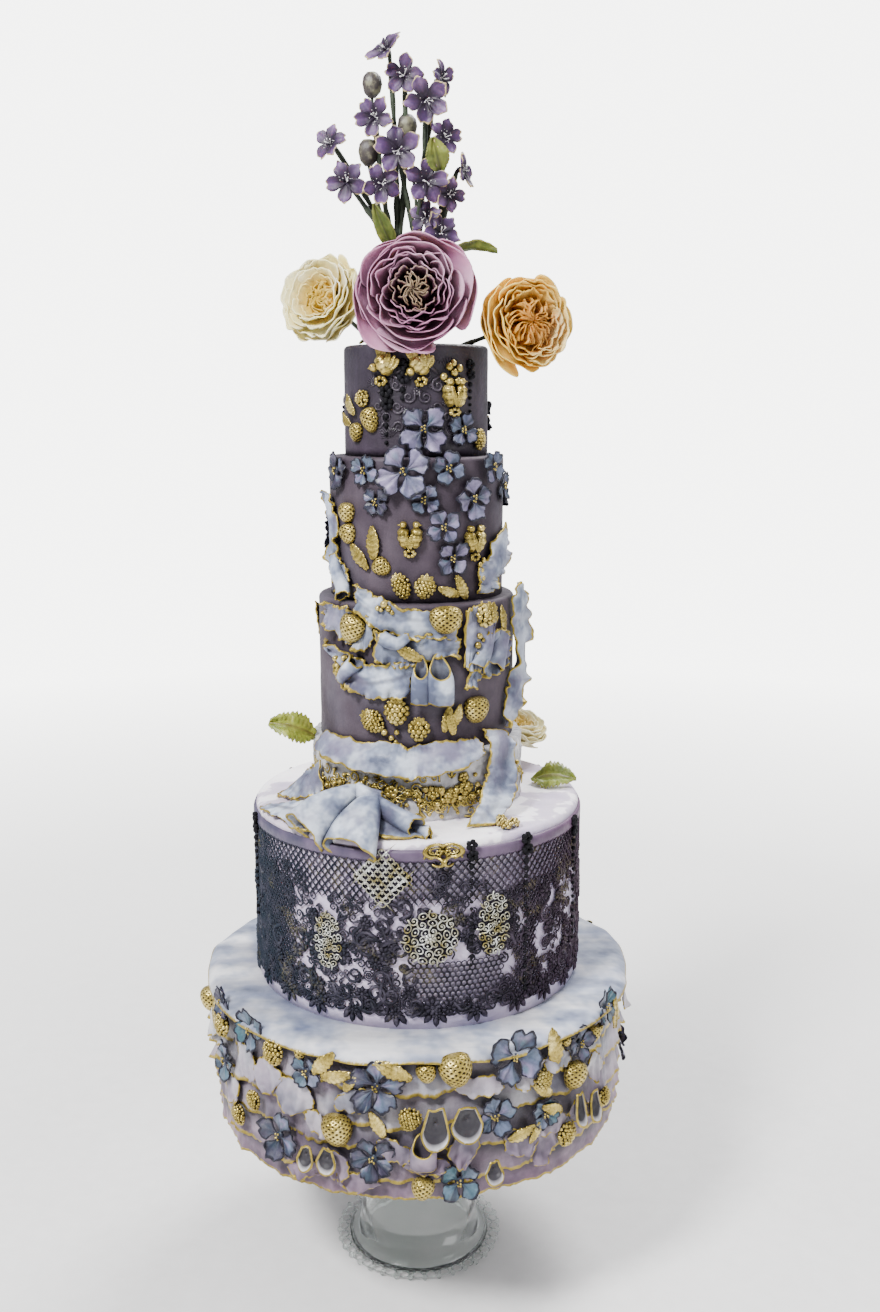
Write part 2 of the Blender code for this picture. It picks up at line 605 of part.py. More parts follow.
# The fondant sheets: name, upper edge, lower edge, columns, rows, bulge, ripple.
# Each edge runs left to right as (azimuth, height, radius).
DRAPES = (
    ("drape_fall_left",
     ((-84, 622, 67), (-78, 612, 66.3), (-72, 594, 66), (-70, 572, 66), (-66, 560, 66), (-58, 549.5, 68)),
     ((-64, 620, 66), (-60, 609, 66), (-56, 594, 66), (-56, 580, 66), (-50, 570, 66), (-41, 560, 66.4)),
     8, 2, 1.0, 0.5),
    ("drape_fall_right",
     ((80, 598, 67), (56, 587, 66), (50, 576, 66), (42, 567, 66), (43, 557, 66), (41, 549.5, 66.5)),
     ((88, 589, 68), (86, 578, 68), (79, 569, 67), (68, 560, 67), (60, 555, 67), (56, 549.5, 67.5)),
     8, 2, 0.8, 0.5),
    ("drape_swag_upper",
     ((-38, 557, 66.4), (-30, 554, 67), (-22, 550.5, 70), (-14, 548, 73.6), (-4, 543, 76.6),
      (6, 540, 77.2), (16, 537.5, 77.2), (24, 534, 77.2)),
     ((-33, 548, 75), (-29, 543, 76.6), (-21, 537, 77.2), (-14, 533, 77.2), (-6, 523, 77.2),
      (4, 521, 77.2), (14, 521, 77.2), (22, 519, 77.2)),
     10, 2, 0.5, 0.3),
    ("drape_flap_left",
     ((-62, 540, 75.2), (-55, 542, 75.2), (-46, 541.5, 75.2), (-37, 539, 75.2), (-30, 534, 75.2),
      (-23, 529, 75.2)),
     ((-62, 534, 75.2), (-56, 526, 75.2), (-47, 519, 75.2), (-38, 514, 75.2), (-30, 511, 75.2),
      (-24, 515, 75.2)),
     7, 2, 0.6, 0.3),
    ("drape_swag_lower",
     ((-19, 522, 75.2), (-12, 519.5, 75.2), (-4, 517, 75.2), (6, 517, 75.2), (15, 517, 75.2), (24, 515, 75.2)),
     ((-22, 505, 75.2), (-14, 501, 75.2), (-6, 501, 75.2), (2, 503, 75.2), (12, 507, 75.2), (24, 507, 75.2)),
     8, 2, 0.6, 0.2),
    ("drape_swag_third",
     ((-62, 515, 75.2), (-50, 512, 75.2), (-38, 508, 75.2), (-25, 500, 75.2), (-12, 497, 75.2),
      (0, 499, 75.2)),
     ((-60, 508, 75.2), (-47, 497, 75.2), (-38, 483, 75.2), (-29, 478, 75.2), (-17, 476, 75.2),
      (-4, 481, 75.2)),
     9, 2, 0.6, 0.3),
    ("drape_knot_right",
     ((26, 541, 79.6), (32, 544, 79.6), (40, 545, 79.6), (46, 541, 79.6), (46, 534, 79.6)),
     ((26, 500, 79.6), (29, 497, 79.6), (34, 496, 79.6), (38, 500, 79.6), (42, 512, 79.6)),
     6, 3, 0.6, 0.3),
    ("drape_fold_right",
     ((35, 520, 75.2), (43, 524, 75.2), (53, 522, 75.2), (62, 516, 75.2), (65, 508, 75.2)),
     ((27, 482, 75.2), (34, 486, 75.2), (43, 490, 75.2), (53, 493, 75.2), (61, 497, 75.2)),
     6, 3, 1.0, 0.3),
    ("drape_ruffle_right",
     ((70, 556, 76), (68, 540, 75.3), (69, 518, 75.3), (66, 488, 75.3), (60, 470, 75.3), (57, 448, 75.3)),
     ((80, 552, 81), (84, 536, 82), (86, 510, 83), (84, 488, 82), (74, 466, 80), (66, 447, 77)),
     9, 2, 0.8, 0.6),
    ("drape_collar",
     ((-62, 443, 75.4), (-44, 444, 75.4), (-25, 445, 75.4), (-11, 445, 75.4), (-4, 442, 76),
      (3, 444, 75.4), (16, 446, 75.4), (28, 446, 75.4), (36, 445, 75.4)),
     ((-64, 429, 85), (-46, 428, 86), (-31, 426, 87), (-16, 423, 88), (-4, 421, 88.5), (3, 424, 88),
      (16, 424, 88), (27, 430, 87), (35, 436, 86)),
     14, 2, 3.5, 0.3),
    ("drape_wrap_right",
     ((38, 452, 75.4), (40, 441, 83), (38, 425, 83.2), (34, 412, 87), (28, 401, 94), (20, 389, 102)),
     ((56, 446, 75.4), (60, 438, 82), (60, 424, 84), (54, 408, 89), (45, 397, 97), (32, 388.4, 107)),
     9, 2, 1.5, 0.3),
    ("drape_wrap_left",
     ((-60, 422, 83), (-66, 416, 83.4), (-74, 410, 84), (-82, 402, 85)),
     ((-52, 402, 84), (-58, 396, 92), (-68, 391, 101), (-80, 388.6, 107)),
     6, 2, 1.0, 0.3),
    ("drape_lower_bow",
     ((-64, 389.5, 112), (-50, 398, 103), (-36, 407, 97), (-24, 415, 93), (-15, 411, 93), (-8, 402, 97),
      (0, 394, 102)),
     ((-66, 388.6, 121), (-52, 388.8, 125), (-38, 384, 130.4), (-25, 378, 130.8), (-15, 376, 130.8),
      (-8, 384, 130.4), (1, 388.8, 123)),
     12, 3, 12.5, 0.5),
    ("drape_swag_back",
     ((98, 538, 75.4), (125, 522, 75.4), (160, 508, 75.4), (195, 506, 75.4), (235, 518, 75.4),
      (270, 536, 75.4)),
     ((99, 522, 75.6), (126, 500, 76), (160, 482, 76), (195, 480, 76), (234, 496, 76), (269, 520, 75.6)),
     14, 2, 1.0, 0.4),
)


def make_decorations():
    for name, azimuth, height, radius, turn, layer, tier in CASCADE:
        base = TIERS[tier][0] + GAP + LAYER_STEP * layer
        blossom(name, facing(azimuth, height, base, turn), radius)
    for name, azimuth, height, width, length, base, turn in FRUIT:
        depth = 0.42 * min(width, length)
        berry(name, facing(azimuth, height, base, turn), width, length, depth)
    for name, upper, lower, columns, rows, bulge, ripple in DRAPES:
        drape(name, upper, lower, columns, rows, bulge, ripple)
    bow = pocket_loop("drape_bow", 4, 507, 78.3, 13, 34, 8)
    fuse(bow, [pocket_loop("right_loop", 11.5, 508, 78.3, 19, 37, 8)])


# The flowers on top. The roses: name, centre, facing, radius, finish, foot of the wired stem.
TOP = TIERS["tier_6_damask"][2]
ROSES = (
    ("rose_mauve", (0, -50, 763), (0, -1, 0.08), 43, "mauve_petal", (0, -16, TOP + GAP)),
    ("rose_cream", (-67, 6, 760), (-0.5, -0.8, 0.3), 33, "cream_petal", (-28, 14, TOP + GAP)),
    ("rose_peach", (85, -28, 741), (0.45, -0.88, 0.08), 34, "peach_petal", (34, 2, TOP + GAP)),
    ("rose_rear", (82, 88, 413), (0.3, -0.2, 0.9), 27, "peach_petal", (80, 84, 387 + GAP)),
)
# The violet spray: each flower's place, which way it faces and its radius.
SPRAY_ROOT = (2, 14, TOP + GAP)
SPRAY_FORKS = ((-14, 12, 790), (2, 12, 800), (16, 14, 790))
SPRAY = (
    ((-21, 4, 934), (-0.5, -0.6, 0.5), 15, 0), ((-8, 0, 915), (-0.1, -1, 0.2), 14, 0),
    ((8, -2, 898), (0.1, -1, -0.1), 16, 1), ((20, 6, 914), (0.9, -0.4, 0.1), 13, 1),
    ((-29, 0, 887), (-0.2, -1, 0.0), 14, 0), ((-12, -4, 864), (-0.1, -1, 0.1), 17, 1),
    ((22, 2, 874), (0.5, -0.8, 0.2), 13, 2), ((-62, 8, 871), (-0.5, -0.8, 0.3), 13, 0),
    ((-50, 2, 843), (-0.2, -1, 0.0), 15, 0), ((-24, -2, 841), (0, -1, -0.1), 14, 0),
    ((8, -4, 843), (0.1, -1, 0.1), 16, 1), ((35, 4, 852), (0.9, -0.3, 0.1), 13, 2),
    ((25, 2, 834), (0.4, -0.9, -0.1), 12, 2), ((7, 2, 819), (-0.3, -0.9, 0.1), 12, 2),
    ((19, 0, 808), (0.2, -0.9, 0.3), 14, 2),
)
SPRAY_BUDS = (((-31, 8, 910), 7, 0), ((-38, 8, 861), 8, 0), ((-6, 10, 882), 8, 1))
LEAVES = (
    ("leaf_spray", (-16.5, 10, 796), (-30, 0, 828), 13, (0, -1, 0.2)),
    ("leaf_top_right", (21.4, 12.4, 790), (60, 2, 793), 12, (0, -0.4, 1)),
    ("leaf_under_cream", (-22, -2, 728), (-40, -20, 728.4), 12, (0, 0, 1)),
    ("leaf_side_left", (-78, -22, 436), (-112, -30, 448), 26, (-0.1, -0.8, 0.8)),
    ("leaf_side_right", (92, 18, 388.9), (126, 8, 392), 28, (0.1, -0.5, 1)),
)


def make_spray():
    stems, blooms = [], []
    root = Vector(SPRAY_ROOT)
    for k, fork in enumerate(SPRAY_FORKS):
        stems.append(tube("stem", [root + Vector((4.5 * (k - 1), 0, 2)), fork], 2.6, "leaf"))
        knot = [(0, -5), (4.4, -2.5), (4.8, 2.5), (0, 5)]
        stems.append(turned("knot", knot, 7, "leaf", aimed(fork, (0, 0, 1))))
    foot = [(0, 0), (8, 0), (7, 3), (0, 4)]
    stems.append(turned("foot", foot, 8, "leaf", aimed(root, (0, 0, 1))))
    for place, direction, radius, fork in SPRAY:
        away = Vector(direction).normalized()
        back = Vector(place) - away * 3.5
        stems.append(stem_from(SPRAY_FORKS[fork], back))
        frame = aimed(Vector(place) - away * 3.0, direction, 10 * radius)
        blooms.append(trumpet("bloom", frame, radius, 5, "violet_petal", 2.2, 2.5))
    for place, radius, fork in SPRAY_BUDS:
        stems.append(stem_from(SPRAY_FORKS[fork], Vector(place)))
        wide = radius * 0.8
        bud = [(0, -radius), (wide, -radius * 0.3), (wide * 0.9, radius * 0.5), (0, radius)]
        blooms.append(turned("bud", bud, 6, "violet_petal", aimed(place, (0, 0, 1))))
    spray = fuse(stems[0], stems[1:] + blooms)
    spray.name = "blossom_spray"


def stem_from(fork, end):
    """A thin stem from just inside a fork's knot to a flower's back."""
    start = Vector(fork)
    return tube("stem", [start + (end - start).normalized() * 3.4, end], 1.25, "leaf", 4)


def make_topper():
    for name, place, direction, radius, material, stem in ROSES:
        rose(name, place, direction, radius, material, stem)
    make_spray()
    for name, base, tip, width, up in LEAVES:
        leaf(name, base, tip, width, up)


def main():
    for leftover in list(bpy.data.objects):
        bpy.data.objects.remove(leftover)
    make_stand()
    make_ruffled_tier()
    make_lace_tier()
    make_filigree_tier()
    for name in RELIEF:
        make_plain_tier(name)
    make_decorations()
    make_topper()


main()
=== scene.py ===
import math
import random
from functools import partial

import bmesh
import bpy
import numpy as np
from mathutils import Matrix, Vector


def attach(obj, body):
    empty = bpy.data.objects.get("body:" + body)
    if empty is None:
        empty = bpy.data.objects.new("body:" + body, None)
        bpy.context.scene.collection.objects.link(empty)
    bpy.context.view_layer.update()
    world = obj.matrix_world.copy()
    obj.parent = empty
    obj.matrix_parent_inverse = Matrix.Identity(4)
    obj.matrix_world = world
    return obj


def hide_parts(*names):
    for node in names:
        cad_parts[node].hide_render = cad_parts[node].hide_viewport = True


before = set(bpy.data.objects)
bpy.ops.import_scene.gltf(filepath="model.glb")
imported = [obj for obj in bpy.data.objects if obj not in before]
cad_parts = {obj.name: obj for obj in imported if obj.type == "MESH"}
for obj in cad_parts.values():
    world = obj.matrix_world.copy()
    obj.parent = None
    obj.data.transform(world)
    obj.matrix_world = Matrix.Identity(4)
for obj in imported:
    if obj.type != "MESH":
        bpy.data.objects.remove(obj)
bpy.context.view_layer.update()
mm = 0.001
fullTurn = 2 * math.pi

# Radius, base and top of each tier, in millimetres, as in the frame
tierSizes = {
    "ruffled": (161.0, 130.0, 246.5), "lace": (126.0, 246.5, 387.0), "filigree": (82.0, 387.0, 437.0),
    "swagged": (74.3, 437.0, 545.0), "blossom": (65.3, 545.0, 648.0), "damask": (53.3, 648.0, 727.0),
}

# Node helpers


def fill(tree, node, inputs):
    # Each input gets a link from a node or socket, or else a plain value
    for key, value in inputs.items():
        if isinstance(value, bpy.types.Node):
            value = value.outputs[0]
        if isinstance(value, bpy.types.NodeSocket):
            tree.links.new(value, node.inputs[key])
        else:
            node.inputs[key].default_value = value


def wire(tree, kind, settings=None, inputs=None):
    made = tree.nodes.new(kind)
    for key, value in (settings or {}).items():
        setattr(made, key, value)
    fill(tree, made, inputs or {})
    return made


def calc(tree, operation, *values):
    return wire(tree, "ShaderNodeMath", {"operation": operation}, dict(enumerate(values))).outputs[0]


def newTree(name, inputs):
    tree = bpy.data.node_groups.new(name, "GeometryNodeTree")
    tree.interface.new_socket("Geometry", in_out="INPUT", socket_type="NodeSocketGeometry")
    for label, kind in inputs:
        tree.interface.new_socket(label, in_out="INPUT", socket_type="NodeSocket" + kind)
    tree.interface.new_socket("Geometry", in_out="OUTPUT", socket_type="NodeSocketGeometry")
    start = tree.nodes.new("NodeGroupInput")
    end = tree.nodes.new("NodeGroupOutput")
    return tree, start, end


def grow(name, mesh, tree, values):
    # Runs a node tree on a mesh and keeps the result as a plain mesh
    host = bpy.data.objects.new(name, mesh)
    bpy.context.scene.collection.objects.link(host)
    modifier = host.modifiers.new("tree", "NODES")
    modifier.node_group = tree
    for item in tree.interface.items_tree:
        if item.item_type == "SOCKET" and item.in_out == "INPUT" and item.name in values:
            modifier[item.identifier] = values[item.name]
    bpy.context.view_layer.update()
    made = bpy.data.meshes.new_from_object(host.evaluated_get(bpy.context.evaluated_depsgraph_get()))
    host.modifiers.clear()
    host.data = made
    return host


# Materials


def mixColour(tree, factor, first, second, mode="MIX"):
    made = wire(tree, "ShaderNodeMix", {"data_type": "RGBA", "blend_type": mode},
                {0: factor, 6: first, 7: second})
    return made.outputs[2]


def noiseOf(tree, place, scale, detail=3.0, roughness=0.55, stretch=None):
    if stretch:
        place = wire(tree, "ShaderNodeMapping", None, {"Vector": place, "Scale": stretch})
    return wire(tree, "ShaderNodeTexNoise", None,
                {"Vector": place, "Scale": scale, "Detail": detail, "Roughness": roughness}).outputs[0]


def rampOf(tree, factor, stops):
    made = wire(tree, "ShaderNodeValToRGB", None, {"Fac": factor})
    ramp = made.color_ramp
    while len(ramp.elements) < len(stops):
        ramp.elements.new(0.5)
    for element, (place, colour) in zip(ramp.elements, stops):
        element.position = place
        element.color = (*colour, 1.0) if len(colour) == 3 else colour
    return made.outputs[0]


def grey(value):
    return (value, value, value)


def markOf(tree, name):
    return wire(tree, "ShaderNodeAttribute", {"attribute_name": name}).outputs["Fac"]


def newFinish(name):
    material = bpy.data.materials.new(name)
    material.use_nodes = True
    tree = material.node_tree
    place = wire(tree, "ShaderNodeTexCoord").outputs["Object"]
    return material, tree, tree.nodes["Principled BSDF"], place


def roughOf(tree, place, scale, ends):
    return rampOf(tree, noiseOf(tree, place, scale, 2.0), [(0.3, grey(ends[0])), (0.7, grey(ends[1]))])


def bumpOf(tree, strength, distance, height):
    return wire(tree, "ShaderNodeBump", None,
                {"Strength": strength, "Distance": distance, "Height": height})


def sugarFinish(name, look):
    # Brushed and dusted sugar paste, with an optional gilt or dark rim that the piece's own marks say
    material, tree, shader, place = newFinish(name)
    cloud = noiseOf(tree, place, look.get("cloud", 25.0), 3.0, 0.6)
    colour = rampOf(tree, cloud, look["tones"])
    if "tints" in look:                     # a tone of its own for each blossom
        own = rampOf(tree, markOf(tree, "tint"), look["tints"])
        colour = mixColour(tree, look.get("tintShare", 0.7), colour, own)
    if "deep" in look:                      # the tone the pieces mark as deep: the colour near the base or centre of a petal, and painted shade at frill roots, inside loops and in drape valleys
        stops, share = look["deep"], look.get("deepShare", 1.0)
        inner = rampOf(tree, markOf(tree, "deep"), [(p, grey(v)) for p, v in stops])
        colour = mixColour(tree, calc(tree, "MULTIPLY", inner, share), colour, (*look["deepTone"], 1))
    strokes = noiseOf(tree, place, look.get("stroke", 60.0), 4.0, 0.6, look.get("stretch", (1, 1, 0.12)))
    shade = rampOf(tree, strokes,
                   [(0.3, grey(look.get("strokeDark", 0.8))), (0.7, grey(look.get("strokeLight", 1.05)))])
    colour = mixColour(tree, look.get("strokeShare", 0.8), colour, shade, "MULTIPLY")
    if "wash" in look:                      # a second colour brushed on in patches
        washScale, washTone, washShare = look["wash"]
        patch = noiseOf(tree, place, washScale, 3.0, 0.65, look.get("washStretch"))
        patch = rampOf(tree, patch, [(0.48, grey(0)), (0.68, grey(washShare))])
        colour = mixColour(tree, patch, colour, (*washTone, 1))
    if "sides" in look:                     # other tints towards the left and right
        left, right = look["sides"]
        x = wire(tree, "ShaderNodeSeparateXYZ", None, {0: place}).outputs[0]
        spread = look.get("spread", 0.1)
        wobble = calc(tree, "ADD", x, calc(tree, "MULTIPLY", calc(tree, "SUBTRACT", cloud, 0.5), spread))
        onLeft = calc(tree, "MULTIPLY_ADD", wobble, -0.7 / spread, -0.15)
        onRight = calc(tree, "MULTIPLY_ADD", wobble, 0.7 / spread, -0.25)
        for amount, tone in ((onLeft, left), (onRight, right)):
            amount = wire(tree, "ShaderNodeClamp", None, {0: amount, 1: 0.0, 2: 0.75}).outputs[0]
            colour = mixColour(tree, amount, colour, (*tone, 1))
    if "heights" in look:                   # tones that change with the height: painted shade on the low frills, a painted highlight on the lace tier's top, and the damask tier darker towards its top
        z = wire(tree, "ShaderNodeSeparateXYZ", None, {0: place}).outputs[2]
        low, high, stops = look["heights"]
        z = calc(tree, "ADD", z, calc(tree, "MULTIPLY", calc(tree, "SUBTRACT", cloud, 0.5),
                                      (high - low) * 0.5))
        share = wire(tree, "ShaderNodeMapRange", None, {0: z, 1: low, 2: high}).outputs[0]
        colour = mixColour(tree, 1.0, colour, rampOf(tree, share, stops), "MULTIPLY")
    if "crease" in look:                    # painted shade: ambient occlusion darkens the folds and hollows with this tone
        foldShadeReach, foldShadeTone, foldShadeShare = look["crease"]
        fold = wire(tree, "ShaderNodeAmbientOcclusion", {"samples": 3}, {"Distance": foldShadeReach})
        fold = rampOf(tree, fold.outputs["AO"], [(0.3, grey(foldShadeShare)), (0.95, grey(0))])
        colour = mixColour(tree, fold, colour, (*foldShadeTone, 1))
    metal = 0.0
    rough = roughOf(tree, place, 140.0, look["rough"])
    if "rim" in look:                       # gilt or dark paint along the torn edges
        rimTone, rimMetal, rimShare = look["rim"]
        breakup = rampOf(tree, noiseOf(tree, place, 420.0, 2.0, 0.6),
                         [(0.3, grey(0.45)), (0.55, grey(1.0))])
        edge = calc(tree, "MULTIPLY", markOf(tree, "rim"), breakup)
        edge = rampOf(tree, edge, [(0.25, grey(0)), (0.5, grey(rimShare))])
        rimLight = rampOf(tree, noiseOf(tree, place, 260.0, 2.0),
                          [(0.3, tuple(0.55 * c for c in rimTone)), (0.65, rimTone)])
        colour = mixColour(tree, edge, colour, rimLight)
        if rimMetal:
            metal = calc(tree, "MULTIPLY", edge, rimMetal)
    if "dust" in look:                      # gold dust caught here and there
        dustTone, dustShare = look["dust"]
        dusted = rampOf(tree, noiseOf(tree, place, 38.0, 4.0, 0.7),
                        [(0.56, grey(0)), (0.68, grey(dustShare))])
        fine = rampOf(tree, noiseOf(tree, place, 900.0, 1.0), [(0.45, grey(0)), (0.6, grey(1))])
        dusted = calc(tree, "MULTIPLY", dusted, fine)
        colour = mixColour(tree, dusted, colour, (*dustTone, 1))
        metal = calc(tree, "MULTIPLY", dusted, 0.7)
    height = calc(tree, "ADD", noiseOf(tree, place, look.get("grain", 350.0), 3.0, 0.6), strokes)
    fill(tree, shader, {
        "Base Color": colour, "Roughness": rough, "Metallic": metal,
        "Specular IOR Level": look.get("specular", 0.4), "Sheen Weight": look.get("sheen", 0.0),
        "Normal": bumpOf(tree, look.get("bump", 0.3), 0.0012, height)})
    if "soft" in look:
        fill(tree, shader, {
            "Subsurface Weight": look["soft"], "Subsurface Radius": (0.006, 0.004, 0.003),
            "Subsurface Scale": 1.0})
    return material


def goldFinish(name, look):
    # Lustre paint over moulded sugar: pale on the high parts, with painted shade darkening the crevices,
    # pits and grooves
    material, tree, shader, place = newFinish(name)
    cloud = noiseOf(tree, place, 110.0, 3.0, 0.6)
    colour = rampOf(tree, cloud, look["tones"])
    # painted shade from ambient occlusion in the crevices
    hollowShade = wire(tree, "ShaderNodeAmbientOcclusion", {"samples": 4},
                  {"Distance": look.get("reach", 0.0035)})
    hollowShade = rampOf(tree, hollowShade.outputs["AO"], [(0.25, look["creviceShade"]), (0.85, grey(1.0))])
    colour = mixColour(tree, 1.0, colour, hollowShade, "MULTIPLY")
    speck = rampOf(tree, noiseOf(tree, place, 1400.0, 1.0), [(0.4, grey(0.8)), (0.62, grey(1.15))])
    colour = mixColour(tree, 0.6, colour, speck, "MULTIPLY")
    # painted shade in the pits, grooves and gaps that the pieces mark as deep
    grooveShade = rampOf(tree, markOf(tree, "deep"), [(0.25, grey(1.0)), (0.8, look["creviceShade"])])
    colour = mixColour(tree, 1.0, colour, grooveShade, "MULTIPLY")
    fill(tree, shader, {
        "Base Color": colour, "Roughness": roughOf(tree, place, 500.0, look["rough"]),
        "Metallic": look["metal"],
        "Specular IOR Level": look.get("specular", 0.5),
        "Normal": bumpOf(tree, 0.35, 0.0005, noiseOf(tree, place, 900.0, 3.0, 0.6))})
    return material


def glassFinish():
    material, tree, shader, place = newFinish("pressedGlass")
    tint = rampOf(tree, noiseOf(tree, place, 20.0),
                  [(0.3, (0.86, 0.92, 0.89)), (0.7, (0.97, 0.99, 0.98))])
    rough = rampOf(tree, noiseOf(tree, place, 60.0), [(0.3, grey(0.02)), (0.7, grey(0.07))])
    height = noiseOf(tree, place, 45.0, 2.0, 0.5, (1, 1, 0.2))
    fill(tree, shader, {
        "Base Color": tint, "Roughness": rough, "Transmission Weight": 0.97, "IOR": 1.5,
        "Normal": bumpOf(tree, 0.4, 0.002, height)})
    return material


